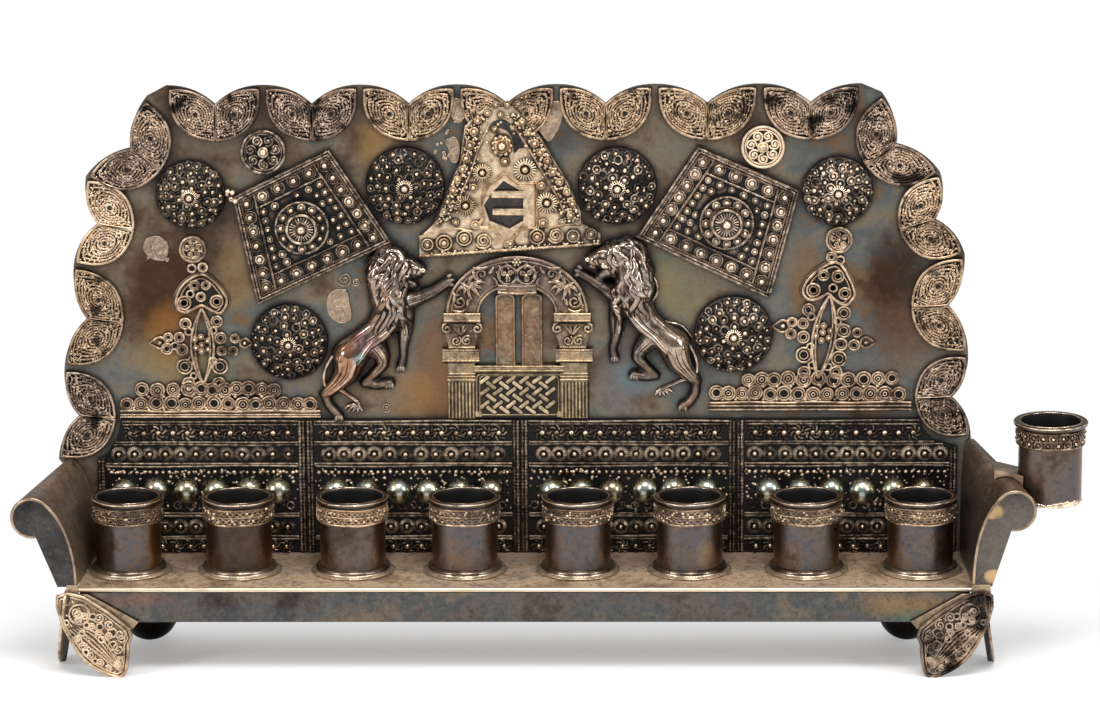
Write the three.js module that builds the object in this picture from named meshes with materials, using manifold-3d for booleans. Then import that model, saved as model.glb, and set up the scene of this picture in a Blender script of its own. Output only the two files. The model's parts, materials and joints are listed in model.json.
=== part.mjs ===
// A bench-type lamp for eight lights and a servant light, soldered up from tarnished silver sheet.
// Millimetres, +Z up, +X to the right seen from the front, +Y towards the back.
// Everything is drawn with x = 0 in the middle of the bench, y = 0 at its front edge and z = 0 on the
// table. The last lines move the whole lamp so that the origin is the bottom centre of its box.
import * as THREE from "three";
import { mergeVertices } from "three/addons/utils/BufferGeometryUtils.js";
import Module from "manifold-3d";

const wasm = await Module();
wasm.setup();

// Clearance left between two pieces that touch
const GAP = 0.3;

// Bench
const BENCH_HALF = 101;
const BENCH_TOP = 20.5;
const BENCH_BOTTOM = 12.3;
const BENCH_SHEET = 1;
const BENCH_DEPTH = 29.7;
const APRON_WALL = 1;
const APRON_SETBACK = 0.9;
const APRON_END_SETBACK = 0.5;

// Backplate, and the plane that all its ornament is laid on
const BACKPLATE_FRONT = 30;
const BACKPLATE_THICK = 1;
const ORNAMENT_BACK = BACKPLATE_FRONT - GAP;

// Peaks of the scalloped edge, and how far its notches and leaf tips lie inside the peaks
const TOP_PEAK_X = [-81, -59, -37, -15, 7.5, 29.7, 53.5, 76.4];
const TOP_PEAK_Z = 130.2;
const LEFT_PEAKS = [[-85.5, 127.8], [-99.8, 109.4], [-103.2, 88.9], [-106.1, 64.7], [-108.1, 42.8]];
const RIGHT_PEAKS = [[81, 128.2], [94.4, 109.8], [100.2, 90.8], [101.3, 67.6], [102.2, 47.8]];
const NOTCH_DEPTH = 4.3;
const LEAF_REACH = 12.8;
const OUTER_BULGE = 1.2;
const INNER_BULGE = 3.8;
const LEAF_THICK = 1.3;

// Cups
const CUP_X = [-90.7, -65.4, -39.4, -13.8, 12, 37.5, 64.1, 90];
const CUP_Y = 15;
const CUP = { bore: 6.8, tube: 7.5, collar: 7.95, lip: 8.2, flange: 9.2, height: 17.4, floor: 1.2 };
const SERVANT = { bore: 6.6, tube: 7.2, collar: 7.9, lip: 8.4, flange: 7.2, height: 18.6, floor: 1.2 };
const SERVANT_X = 118.9;
const SERVANT_Y = 12;
const SERVANT_BOTTOM = 37.9;

// Heights of the collar's two edges and of the lip, measured down from the rim, and of the flange
const COLLAR_DOWN_TO = 5.3;
const COLLAR_DOWN_FROM = 1.5;
const LIP_DOWN_TO = 1;
const COLLAR_SLOPE = 0.3;
const FLANGE_EDGE = 1.2;
const FLANGE_TOP = 2.1;

// Front outline of the strip between the right arm and the servant cup, and its depth
const SADDLE_OUTLINE = [
  [106, 42], [108, 42], [111, 39.4], [114.9, 39.4],
  [114.9, 44.4], [112.5, 44.4], [107.6, 45.6], [106, 45.7],
];
const SADDLE_DEPTH = 8;

// Sides of the polygons that stand for round pieces
const CUP_SIDES = 24;
const ROSETTE_SIDES = 20;
const BALL_SIDES = 10;
const ROD_SIDES = 6;

// Arms: where the sheet rises, its scroll in front and its small roll at the back, as distances outwards
const ARM_SHEET = 1;
const ARM_FRONT_Y = 1.3;
const ARM_PLATE_FOOT = 4.4;
const ARMS = {
  left: {
    front: { root: 101, x: 110.8, z: 36.9, r: 4.7 },
    back: { root: 99.6, x: 105.3, z: 41.6, r: 1.5 },
  },
  right: {
    front: { root: 101, x: 110.4, z: 38.4, r: 4.7 },
    back: { root: 99.9, x: 102.2, z: 46, r: 1.5 },
  },
};

// Feet
const FOOT_FOLD_X = 105.4;
const FOOT_FOLD_TOP = 19.2;
const FOOT_SPLAY = 0.16;
const TOE_THICK = 1.5;
const TOE_REACH = 13.3;
const TOE_WIDTH = 16.3;
const GUSSET_OUTLINE = [
  [-100.9, 19.1], [-98.6, 19.1], [-87.2, 12.6], [-88.6, 10.9], [-91, 10.9], [-100.9, 17.2],
];
const GUSSET_THICK = 0.7;
const BALL_RADIUS = 6.7;
const BALL_X = 88;
const BALL_Y = 29.5;
const BALL_FLAT = 0.35;

// Panels under the ornament
const PANEL_EDGES = [-99.1, -50.8, -1.4, 48.3, 99.1];
const PANEL_TOP = 52.4;
const PANEL_THICK = 0.9;
// The outer top corners of the outer panels are cut away round the lowest leaves
const PANEL_CUT_LEFT = [[-93.2, 52.4], [-94.6, 47.4], [-97, 44.2], [-99.1, 42.6]];
const PANEL_CUT_RIGHT = [[99.1, 45.8], [93.4, 47.2], [90.6, 50.6], [89.8, 52.4]];
const BALLS_PER_PANEL = 6;
const PANEL_BALL = { radius: 2.95, pitch: 7.1, z: 35.8, lift: 1.2 };

// Round ornament: centre and radius
const ROSETTES = [
  { x: -75.9, z: 105.2, r: 8 },
  { x: -54.1, z: 70.8, r: 8.9 },
  { x: -27, z: 107.2, r: 9 },
  { x: 21.2, z: 107, r: 9 },
  { x: 47.6, z: 72.4, r: 9 },
  { x: 71.2, z: 105.7, r: 8 },
];
const ROSETTE_RISE = 4.8;
const ROSETTE_RIM = 0.8;
const SMALL_ROSETTES = { left: { x: -59.2, z: 115, r: 5.2 }, right: { x: 54.2, z: 115.9, r: 5 } };
const SMALL_ROSETTE_RISE = 1.8;
const SMALL_ROSETTE_RIM = 0.9;

// Plaques: corners in turn, and the boss
const PLAQUES = {
  left: { corners: [[-66.4, 104.8], [-44.2, 115.8], [-30.2, 94.1], [-61.2, 79.5]], boss: [-50.6, 97.8] },
  right: { corners: [[25.5, 95.2], [39.5, 116.2], [62.6, 106], [55.9, 80.7]], boss: [46, 98.7] },
};
const PLAQUE_THICK = 1.9;
const BOSS_STEPS = [[6.2, 1.2], [3.5, 3.2], [1.2, 4.6]];

// Filigree trees and bands
const TREES = { left: { x: -74.4, z: 60.9, lean: 0 }, right: { x: 69, z: 63.5, lean: -0.04 } };
const TREE_THICK = 1;
const BANDS = {
  left: { from: -93.4, to: -47.3, top: 60.4, upperFrom: -91.3, upperTo: -56.5 },
  right: { from: 42, to: 88.4, top: 62.8, upperFrom: 49.6, upperTo: 86.2 },
};
const BAND_THICK = 1;
const BAND_STEP = 2;
const BAND_CREST = 0.6;
const BAND_CREST_HALF = 3;

const GABLE_THICK = 2.4;

// Ark front: heights of its parts, and how far each stands off the backplate's ornament plane
const ARK_X = -1.8;
const ARK_SPRING = 77.5;
const ARCH_OUTER = [16.3, 13.4];
const ARCH_INNER = [8.7, 6.4];
const ARCH_THICK = 1.3;
const COLUMN = {
  shaft: { near: 9.8, far: 16, top: 66.4, thick: 1.6 },
  slab: { near: 8.8, far: 17.2, bottom: 66.2, top: 69.3, thick: 2 },
  bell: { nearBottom: 9.8, farBottom: 15.6, nearTop: 8.5, farTop: 16.8, bottom: 69.2, top: 75.7, thick: 1.8 },
  abacus: { near: 8.4, far: 16.8, bottom: 75.5, top: 77.7, thick: 2.1 },
};
const GATE = { left: -11.8, right: 8.8, top: 64.2, thick: 1.2 };
const GATE_RAIL = { bottom: 63.6, top: 65.3, thick: 1.8 };
const TABLETS = { edges: [[-6.9, -2.2], [-0.9, 4]], bottom: 65.2, top: 82.3, thick: 1.3 };
const CROWN_OUTLINE = [[-5.2, 82], [2, 82], [3, 86.4], [2.2, 88.6], [-1.8, 90.4], [-5.8, 88.6], [-6.6, 86.4]];
const CROWN_THICK = 1.8;

// Lions: how flat their rods are pressed, and how far the axes lie in front of the backplate
const LION_FLATTEN = 0.85;
const LION_FORWARD = 0.5;

// Materials

function metal(color, roughness, metalness = 0.9) {
  return new THREE.MeshStandardMaterial({ color, roughness, metalness });
}

const FINISH = {
  sheet: metal(0x5a5148, 0.42),
  bench: metal(0x8b7763, 0.38),
  cup: metal(0x7d766e, 0.3),
  leaf: metal(0x9a8062, 0.5),
  oxidised: metal(0x3a342f, 0.5),
  relief: metal(0x6f5f50, 0.35),
  gilt: metal(0xb59a6f, 0.4),
  ball: metal(0x2a2725, 0.45),
};

// Small helpers

const lamp = new THREE.Group();

function addPiece(name, geometry, material, y = 0) {
  const mesh = new THREE.Mesh(geometry, material);
  mesh.name = name;
  mesh.position.y = y;
  lamp.add(mesh);
  return mesh;
}

function points(pairs) {
  return pairs.map(([x, y]) => new THREE.Vector2(x, y));
}

// The outline as straight steps, without the double points where two of its curves meet.
function stepped(path, curveSegments) {
  const list = path.getPoints(curveSegments);
  return list.filter((point, i) => point.distanceTo(list[(i + 1) % list.length]) > 1e-3);
}

// A straight extrusion of a shape along +Z.
function extruded(shape, depth, curveSegments) {
  const clean = new THREE.Shape(stepped(shape, curveSegments));
  clean.holes = shape.holes.map((hole) => new THREE.Path(stepped(hole, curveSegments)));
  return new THREE.ExtrudeGeometry(clean, { depth, bevelEnabled: false });
}

// A flat plate: the outline's x and y become x and z, and its thickness grows towards the viewer.
function plate(shape, thickness, curveSegments = 4) {
  return extruded(shape, thickness, curveSegments).rotateX(Math.PI / 2);
}

function toSolid(geometry) {
  const bare = geometry.index ? geometry.toNonIndexed() : geometry.clone();
  bare.deleteAttribute("normal");
  bare.deleteAttribute("uv");
  const merged = mergeVertices(bare, 1e-4);
  return new wasm.Manifold(
    new wasm.Mesh({
      numProp: 3,
      vertProperties: merged.attributes.position.array,
      triVerts: new Uint32Array(merged.index.array),
    }),
  );
}

function toGeometry(solid) {
  const mesh = solid.getMesh();
  const geometry = new THREE.BufferGeometry();
  geometry.setAttribute("position", new THREE.BufferAttribute(mesh.vertProperties, 3));
  geometry.setIndex(new THREE.BufferAttribute(mesh.triVerts, 1));
  const flat = geometry.toNonIndexed();
  flat.computeVertexNormals();
  return flat;
}

function join(geometries) {
  return geometries.map(toSolid).reduce((whole, next) => whole.add(next));
}

function box(x0, x1, y0, y1, z0, z1) {
  const geometry = new THREE.BoxGeometry(x1 - x0, y1 - y0, z1 - z0);
  return geometry.translate((x0 + x1) / 2, (y0 + y1) / 2, (z0 + z1) / 2);
}

// A turned piece standing on +Z. The profile runs from the axis round the outside and back to the axis.
function turned(profile, segments) {
  return new THREE.LatheGeometry(points(profile), segments).rotateX(Math.PI / 2);
}

// A part of a ball that rises towards the viewer from the plane y = 0, sunk a little into that plane.
function domeTowardsViewer(radius, rise, sunk, segments, rings) {
  const sphere = (radius * radius + rise * rise) / (2 * rise);
  const centre = rise - sphere;
  const start = Math.asin(-centre / sphere);
  const profile = [[0, -sunk], [radius, -sunk]];
  for (let ring = 0; ring <= rings; ring += 1) {
    const angle = start + ((Math.PI / 2 - start) * ring) / rings;
    const out = ring === rings ? 0 : sphere * Math.cos(angle);
    profile.push([out, centre + sphere * Math.sin(angle)]);
  }
  return new THREE.LatheGeometry(points(profile), segments).rotateX(Math.PI);
}

// Leaf pairs and the scalloped edge

function leafPair(peakA, peakB) {
  const a = new THREE.Vector2(...peakA);
  const b = new THREE.Vector2(...peakB);
  const chord = b.clone().sub(a);
  const inward = new THREE.Vector2(chord.y, -chord.x).normalize();
  const middle = a.clone().add(b).multiplyScalar(0.5);
  const notch = middle.clone().addScaledVector(inward, NOTCH_DEPTH);
  const tip = middle.clone().addScaledVector(inward, LEAF_REACH);
  return { a, b, notch, tip };
}

// The control point of a quadratic curve from p to q whose middle stands off the chord by bulge.
function bulgePoint(p, q, away, bulge) {
  const middle = p.clone().add(q).multiplyScalar(0.5);
  const along = q.clone().sub(p).normalize();
  const across = new THREE.Vector2(along.y, -along.x);
  if (across.dot(middle.clone().sub(away)) < 0) across.negate();
  return middle.addScaledVector(across, 2 * bulge);
}

function curveTo(shape, from, to, away, bulge) {
  const control = bulgePoint(from, to, away, bulge);
  shape.quadraticCurveTo(control.x, control.y, to.x, to.y);
}

// The outline of a pair. Its outer tips are drawn in a little, so that neighbours don't touch.
function leafPairShape({ a, b, notch, tip }, grown = 0) {
  const draw = grown > 0 ? 0 : 0.07;
  const startA = a.clone().lerp(tip, draw).lerp(notch, draw);
  const startB = b.clone().lerp(tip, draw).lerp(notch, draw);
  const end = tip.clone().addScaledVector(tip.clone().sub(notch).normalize(), grown);
  const shape = new THREE.Shape();
  shape.moveTo(end.x, end.y);
  curveTo(shape, end, startA, notch, INNER_BULGE + grown);
  curveTo(shape, startA, notch, tip, OUTER_BULGE + grown);
  curveTo(shape, notch, startB, tip, OUTER_BULGE + grown);
  curveTo(shape, startB, end, notch, INNER_BULGE + grown);
  return shape;
}

// Pairs run from the left foot of the edge over the top to the right foot.
const topPeaks = TOP_PEAK_X.map((x) => [x, TOP_PEAK_Z]);
const leftRun = [...LEFT_PEAKS].reverse();
const edgeRuns = { left: leftRun, top: topPeaks, right: RIGHT_PEAKS };

const leafPairs = [];
for (const [side, peaks] of Object.entries(edgeRuns)) {
  for (let i = 0; i + 1 < peaks.length; i += 1) {
    const number = side === "left" ? peaks.length - 1 - i : i + 1;
    leafPairs.push({ name: `leaf_pair_${side}_${number}`, ...leafPair(peaks[i], peaks[i + 1]) });
  }
}

function backplateShape() {
  const [leftX, leftZ] = leftRun[0];
  const [rightX, rightZ] = RIGHT_PEAKS[RIGHT_PEAKS.length - 1];
  const shape = new THREE.Shape();
  shape.moveTo(-BENCH_HALF, BENCH_BOTTOM);
  shape.quadraticCurveTo(-BENCH_HALF, leftZ - 7, leftX, leftZ);
  for (const { a, b, notch, tip } of leafPairs) {
    shape.lineTo(a.x, a.y);
    curveTo(shape, a, notch, tip, OUTER_BULGE);
    curveTo(shape, notch, b, tip, OUTER_BULGE);
  }
  shape.lineTo(rightX, rightZ);
  shape.quadraticCurveTo(BENCH_HALF, rightZ - 7, BENCH_HALF, BENCH_BOTTOM);
  return shape;
}

const backplate = plate(backplateShape(), BACKPLATE_THICK, 3);
addPiece("backplate", backplate, FINISH.sheet, BACKPLATE_FRONT + BACKPLATE_THICK);

for (const pair of leafPairs) {
  addPiece(pair.name, plate(leafPairShape(pair), LEAF_THICK, 5), FINISH.leaf, ORNAMENT_BACK);
}

// Bench

function benchTop() {
  const nose = BENCH_SHEET / 2;
  const profile = new THREE.Shape();
  profile.moveTo(BENCH_DEPTH, BENCH_TOP);
  profile.lineTo(nose, BENCH_TOP);
  profile.absarc(nose, BENCH_TOP - nose, nose, Math.PI / 2, (3 * Math.PI) / 2, false);
  profile.lineTo(BENCH_DEPTH, BENCH_TOP - BENCH_SHEET);
  const geometry = extruded(profile, 2 * BENCH_HALF, 6);
  return geometry.rotateX(Math.PI / 2).rotateZ(Math.PI / 2).translate(-BENCH_HALF, 0, 0);
}

function benchApron() {
  const half = BENCH_HALF - APRON_END_SETBACK;
  const back = BENCH_DEPTH - GAP;
  const outline = new THREE.Shape(
    points([[-half, APRON_SETBACK], [half, APRON_SETBACK], [half, back], [-half, back]]),
  );
  const inner = half - APRON_WALL;
  const front = APRON_SETBACK + APRON_WALL;
  outline.holes.push(
    new THREE.Path(
      points([[-inner, front], [-inner, back - APRON_WALL], [inner, back - APRON_WALL], [inner, front]]),
    ),
  );
  const height = BENCH_TOP - BENCH_SHEET - GAP - BENCH_BOTTOM;
  return extruded(outline, height, 1).translate(0, 0, BENCH_BOTTOM);
}

addPiece("bench_top", benchTop(), FINISH.bench);
addPiece("bench_apron", benchApron(), FINISH.sheet);

// Arms. A section is drawn for the right arm, with x growing outwards, and mirrored for the left one.

const ROLL_FROM = (3 * Math.PI) / 4;
const ROLL_TO = (-100 * Math.PI) / 180;
const ROLL_POINTS = 10;
const RISE_POINTS = 5;
const ARM_STEPS = 4;

function risePoints({ root, x, z, r }, inset) {
  const start = new THREE.Vector2(root + inset, BENCH_TOP + GAP);
  const radius = r - inset;
  const end = new THREE.Vector2(x + radius * Math.cos(ROLL_FROM), z + radius * Math.sin(ROLL_FROM));
  const control = new THREE.Vector2(start.x, Math.max(end.y - (end.x - start.x), start.y + 2));
  return new THREE.QuadraticBezierCurve(start, control, end).getPoints(RISE_POINTS).slice(0, -1);
}

function rollPoints({ x, z, r }, inset) {
  const list = [];
  for (let i = 0; i <= ROLL_POINTS; i += 1) {
    const angle = ROLL_FROM + ((ROLL_TO - ROLL_FROM) * i) / ROLL_POINTS;
    list.push(new THREE.Vector2(x + (r - inset) * Math.cos(angle), z + (r - inset) * Math.sin(angle)));
  }
  return list;
}

function sheetSection(arm) {
  const outer = [...risePoints(arm, 0), ...rollPoints(arm, 0)];
  const inner = [...risePoints(arm, ARM_SHEET), ...rollPoints(arm, ARM_SHEET)];
  return [...outer, ...inner.reverse()];
}

// An extrusion whose section changes from the front outline to the back outline, point by point.
function morphedExtrusion(front, back, length, steps) {
  const shape = new THREE.Shape(front);
  const geometry = new THREE.ExtrudeGeometry(shape, { depth: length, steps, bevelEnabled: false });
  const position = geometry.attributes.position;
  for (let i = 0; i < position.count; i += 1) {
    const here = new THREE.Vector2(position.getX(i), position.getY(i));
    const index = front.findIndex((point) => point.distanceTo(here) < 1e-3);
    const share = position.getZ(i) / length;
    const moved = front[index].clone().lerp(back[index], share);
    position.setXY(i, moved.x, moved.y);
  }
  return geometry;
}

// Turns a section's x and y into x and z, with its length running forwards from y = backY.
function layAlongDepth(geometry, backY, side) {
  geometry.rotateX(Math.PI / 2).translate(0, backY, 0);
  return side === "left" ? toGeometry(toSolid(geometry).mirror([1, 0, 0])) : geometry;
}

function armSheet(side) {
  const { front, back } = ARMS[side];
  const length = ORNAMENT_BACK - ARM_FRONT_Y;
  const geometry = morphedExtrusion(sheetSection(back), sheetSection(front), length, ARM_STEPS);
  return layAlongDepth(geometry, ORNAMENT_BACK, side);
}

function armPlate(side) {
  const arm = ARMS[side].front;
  const inset = ARM_SHEET / 2;
  const outline = [...risePoints(arm, inset), ...rollPoints(arm, inset)];
  outline.push(new THREE.Vector2(arm.root + ARM_PLATE_FOOT, BENCH_TOP + GAP));
  const geometry = extruded(new THREE.Shape(outline), ARM_FRONT_Y - GAP, 1);
  return layAlongDepth(geometry, ARM_FRONT_Y - GAP, side);
}

for (const side of Object.keys(ARMS)) {
  addPiece(`arm_${side}`, armSheet(side), FINISH.sheet);
  addPiece(`arm_plate_${side}`, armPlate(side), FINISH.sheet);
}

// Cups

function cupGeometry(cup, segments) {
  const { bore, tube, collar, lip, flange, height, floor } = cup;
  const profile = [
    [0, 0],
    [flange, 0],
    ...(flange > tube ? [[flange, FLANGE_EDGE], [tube, FLANGE_TOP]] : []),
    [tube, height - COLLAR_DOWN_TO - COLLAR_SLOPE],
    [collar, height - COLLAR_DOWN_TO],
    [collar, height - COLLAR_DOWN_FROM],
    [lip, height - LIP_DOWN_TO],
    [lip, height],
    [bore, height],
    [bore, floor],
    [0, floor],
  ];
  return turned(profile, segments);
}

CUP_X.forEach((x, i) => {
  const geometry = cupGeometry(CUP, CUP_SIDES).translate(x, CUP_Y, BENCH_TOP + GAP);
  addPiece(`oil_cup_${i + 1}`, geometry, FINISH.cup);
});

const servant = cupGeometry(SERVANT, CUP_SIDES).translate(SERVANT_X, SERVANT_Y, SERVANT_BOTTOM);
addPiece("servant_cup", servant, FINISH.cup);

// The largest single body of a solid that its cuts may have split.
function mainBody(solid) {
  const bodies = solid.decompose().sort((p, q) => q.volume() - p.volume());
  return toGeometry(bodies[0]);
}

// The saddle strip fills the space between the right arm's roll and the servant cup's wall.
function servantSaddle() {
  const clear = SERVANT.tube + GAP;
  const block = plate(new THREE.Shape(points(SADDLE_OUTLINE)), SADDLE_DEPTH);
  block.translate(0, SERVANT_Y + SADDLE_DEPTH / 2, 0);
  const cupSpace = new THREE.CylinderGeometry(clear, clear, 2 * SERVANT.height, 32).rotateX(Math.PI / 2);
  cupSpace.translate(SERVANT_X, SERVANT_Y, SERVANT_BOTTOM + SERVANT.height / 2);
  const { front, back } = ARMS.right;
  const solidRoll = (arm) => rollPoints({ ...arm, r: arm.r + GAP }, 0);
  const length = ORNAMENT_BACK - ARM_FRONT_Y;
  const roll = morphedExtrusion(solidRoll(back), solidRoll(front), length, ARM_STEPS);
  const rollSpace = toSolid(layAlongDepth(roll, ORNAMENT_BACK, "right"));
  return mainBody(toSolid(block).subtract(toSolid(cupSpace)).subtract(rollSpace));
}

addPiece("servant_saddle", servantSaddle(), FINISH.gilt);

// Feet

// One leaf of a folded pair. Its x runs from the fold towards the toe, its y is the height.
function footLeafShape() {
  const shape = new THREE.Shape();
  shape.moveTo(0, FOOT_FOLD_TOP);
  shape.lineTo(5.9, FOOT_FOLD_TOP - 0.1);
  shape.lineTo(TOE_WIDTH, 11.5);
  shape.lineTo(TOE_WIDTH - 0.4, 5.2);
  shape.quadraticCurveTo(TOE_WIDTH - 0.8, 2, TOE_REACH + 0.8, 0);
  shape.lineTo(TOE_REACH - 0.8, 0);
  shape.quadraticCurveTo(6, 2.2, 2.2, 9.8);
  shape.lineTo(0.6, 14);
  return shape;
}

function frontFoot(side) {
  const frontY = APRON_SETBACK - GAP - GUSSET_THICK - GAP;
  const facing = plate(footLeafShape(), TOE_THICK, 5).translate(-FOOT_FOLD_X, frontY, 0);
  const turnedBack = plate(footLeafShape(), TOE_THICK, 5);
  turnedBack.rotateZ(Math.PI / 2).translate(-FOOT_FOLD_X, frontY - TOE_THICK, 0);
  const splay = new THREE.Matrix4().makeShear(0, 0, 0, 0, FOOT_SPLAY, 0);
  turnedBack.applyMatrix4(splay).translate(TOE_THICK - FOOT_SPLAY * FOOT_FOLD_TOP, 0, 0);
  const foot = join([facing, turnedBack]);
  return toGeometry(side === "left" ? foot : foot.mirror([1, 0, 0]));
}

function footGusset(side) {
  const strip = plate(new THREE.Shape(points(GUSSET_OUTLINE)), GUSSET_THICK);
  const solid = toSolid(strip.translate(0, APRON_SETBACK - GAP, 0));
  return toGeometry(side === "left" ? solid : solid.mirror([1, 0, 0]));
}

function ballFoot(side) {
  const x = side === "left" ? -BALL_X : BALL_X;
  const reach = BALL_RADIUS + 1;
  const ball = new THREE.SphereGeometry(BALL_RADIUS, 16, 10).rotateX(Math.PI / 2);
  ball.translate(x, BALL_Y, BALL_RADIUS - BALL_FLAT);
  const keep = box(x - reach, x + reach, BALL_Y - reach, BALL_Y + reach, 0, BENCH_BOTTOM - GAP);
  return toGeometry(toSolid(ball).intersect(toSolid(keep)));
}

for (const side of ["left", "right"]) {
  addPiece(`front_foot_${side}`, frontFoot(side), FINISH.leaf);
  addPiece(`foot_gusset_${side}`, footGusset(side), FINISH.gilt);
  addPiece(`rear_foot_${side}`, ballFoot(side), FINISH.ball);
}

// Panels with their rows of balls

const PANEL_BOTTOM = BENCH_TOP + GAP;

function panelOutline(index) {
  const first = index === 0;
  const last = index + 2 === PANEL_EDGES.length;
  const left = PANEL_EDGES[index] + (first ? 0 : GAP / 2);
  const right = PANEL_EDGES[index + 1] - (last ? 0 : GAP / 2);
  const rightCorner = last ? PANEL_CUT_RIGHT : [[right, PANEL_TOP]];
  const leftCorner = first ? PANEL_CUT_LEFT : [[left, PANEL_TOP]];
  const outline = [[left, PANEL_BOTTOM], [right, PANEL_BOTTOM], ...rightCorner, ...leftCorner];
  return new THREE.Shape(points(outline));
}

function panel(index) {
  const sheet = plate(panelOutline(index), PANEL_THICK);
  const middle = (PANEL_EDGES[index] + PANEL_EDGES[index + 1]) / 2;
  const { radius, pitch, z, lift } = PANEL_BALL;
  const balls = [];
  for (let i = 0; i < BALLS_PER_PANEL; i += 1) {
    const x = middle + (i - (BALLS_PER_PANEL - 1) / 2) * pitch;
    const cap = domeTowardsViewer(radius, radius, lift + 0.3, BALL_SIDES, 3);
    balls.push(cap.translate(x, -PANEL_THICK - lift, z));
  }
  return toGeometry(join([sheet, ...balls]));
}

for (let index = 0; index + 1 < PANEL_EDGES.length; index += 1) {
  addPiece(`panel_${index + 1}`, panel(index), FINISH.oxidised, ORNAMENT_BACK);
}

// Rosettes

ROSETTES.forEach(({ x, z, r }, i) => {
  const dome = domeTowardsViewer(r, ROSETTE_RISE - ROSETTE_RIM, ROSETTE_RIM / 2, ROSETTE_SIDES, 4);
  dome.translate(x, -ROSETTE_RIM, z);
  const rim = new THREE.CylinderGeometry(r, r, ROSETTE_RIM, ROSETTE_SIDES);
  rim.translate(x, -ROSETTE_RIM / 2, z);
  addPiece(`rosette_${i + 1}`, toGeometry(join([dome, rim])), FINISH.oxidised, ORNAMENT_BACK);
});

for (const [side, { x, z, r }] of Object.entries(SMALL_ROSETTES)) {
  const rim = new THREE.CylinderGeometry(r, r, SMALL_ROSETTE_RIM, ROSETTE_SIDES);
  rim.translate(x, -SMALL_ROSETTE_RIM / 2, z);
  const rise = SMALL_ROSETTE_RISE - SMALL_ROSETTE_RIM;
  const dome = domeTowardsViewer(r - 0.6, rise, SMALL_ROSETTE_RIM / 3, ROSETTE_SIDES, 2);
  dome.translate(x, -SMALL_ROSETTE_RIM, z);
  addPiece(`small_rosette_${side}`, toGeometry(join([rim, dome])), FINISH.leaf, ORNAMENT_BACK);
}

// Plaques

function plaque({ corners, boss }) {
  const base = plate(new THREE.Shape(points(corners).reverse()), PLAQUE_THICK);
  const steps = BOSS_STEPS.map(([radius, height]) => {
    const rise = PLAQUE_THICK + height;
    const step = new THREE.CylinderGeometry(radius, radius, rise, ROSETTE_SIDES);
    return step.translate(boss[0], -rise / 2, boss[1]);
  });
  return join([base, ...steps]);
}

const plaqueSolids = {};
for (const [side, data] of Object.entries(PLAQUES)) {
  plaqueSolids[side] = plaque(data);
  addPiece(`plaque_${side}`, toGeometry(plaqueSolids[side]), FINISH.oxidised, ORNAMENT_BACK);
}

// Filigree trees: half an outline, from the foot up, mirrored about the stem

const TREE_HALF = [
  [0.9, 0], [2.2, 1.6], [4.8, 2], [6.2, 4], [5.6, 6.2], [4.6, 7.4], [8.2, 8.2], [10.6, 10],
  [8.2, 11.8], [4.6, 12.8], [5.3, 14.4], [3, 16.4], [5.2, 17.1], [5.7, 19.6], [3.8, 22.8],
  [1.4, 25.4], [1, 26.8], [1.6, 28.2], [3.1, 30.2], [2.9, 32.2], [1.6, 33.6],
];

function treeShape({ x, z, lean }) {
  const right = TREE_HALF.map(([dx, dz]) => [x + dx - lean * dz, z + dz]);
  const left = TREE_HALF.map(([dx, dz]) => [x - dx - lean * dz, z + dz]).reverse();
  return new THREE.Shape(points([...right, ...left]));
}

for (const [side, data] of Object.entries(TREES)) {
  addPiece(`tree_${side}`, plate(treeShape(data), TREE_THICK), FINISH.gilt, ORNAMENT_BACK);
}

// The upper row is shorter than the lower one and rises a little on both sides of the tree's stem.
function bandShape(side) {
  const { from, to, top, upperFrom, upperTo } = BANDS[side];
  const bottom = PANEL_TOP + GAP;
  const middle = (bottom + top + BAND_STEP) / 2;
  const shoulder = top - BAND_CREST;
  const stem = TREES[side].x;
  const narrow = 2 * BAND_CREST;
  return new THREE.Shape(
    points([
      [from, bottom], [to, bottom], [to, middle], [upperTo, shoulder],
      [stem + BAND_CREST_HALF, top], [stem + narrow, shoulder],
      [stem - narrow, shoulder], [stem - BAND_CREST_HALF, top],
      [upperFrom, shoulder], [from, middle],
    ]),
  );
}

for (const side of Object.keys(BANDS)) {
  addPiece(`band_${side}`, plate(bandShape(side), BAND_THICK), FINISH.gilt, ORNAMENT_BACK);
}

// Gable with its shield-shaped window

const GABLE_OUTLINE = [
  [-24, 90.8], [17.3, 93.6], [17.3, 96.2], [13, 98.4], [10.4, 99], [9.9, 108], [6.8, 113.3],
  [3.8, 118.4], [0.5, 122.3], [-2.5, 125.6], [-8.9, 125.2], [-13.3, 121], [-13.8, 117.8],
  [-14.5, 112.2], [-16.4, 108.8], [-16.8, 103.9], [-17.9, 97.4], [-22.7, 95.8], [-24, 93.2],
];
const WINDOW_OUTLINE = [
  [-4.6, 108.4], [-7.5, 105.4], [-9.1, 102.8], [-7.9, 99.2],
  [-3.4, 97.3], [-0.2, 99.2], [-0.2, 105.7],
];

// The gable stands over the middle leaf pair, so its back has a pocket for that pair.
function gable() {
  const shape = new THREE.Shape(points(GABLE_OUTLINE));
  shape.holes.push(new THREE.Path(points(WINDOW_OUTLINE)));
  const covered = leafPairs.find((pair) => pair.name === "leaf_pair_top_4");
  const pocket = plate(leafPairShape(covered, 2 * GAP), LEAF_THICK + GAP + 1, 5).translate(0, 1, 0);
  return toGeometry(toSolid(plate(shape, GABLE_THICK)).subtract(toSolid(pocket)));
}

addPiece("gable", gable(), FINISH.gilt, ORNAMENT_BACK);

// Ark front: one stamped piece, so its arch, columns, tablets, crown and gate are joined

const ARK_BOTTOM = PANEL_TOP + GAP;

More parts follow.
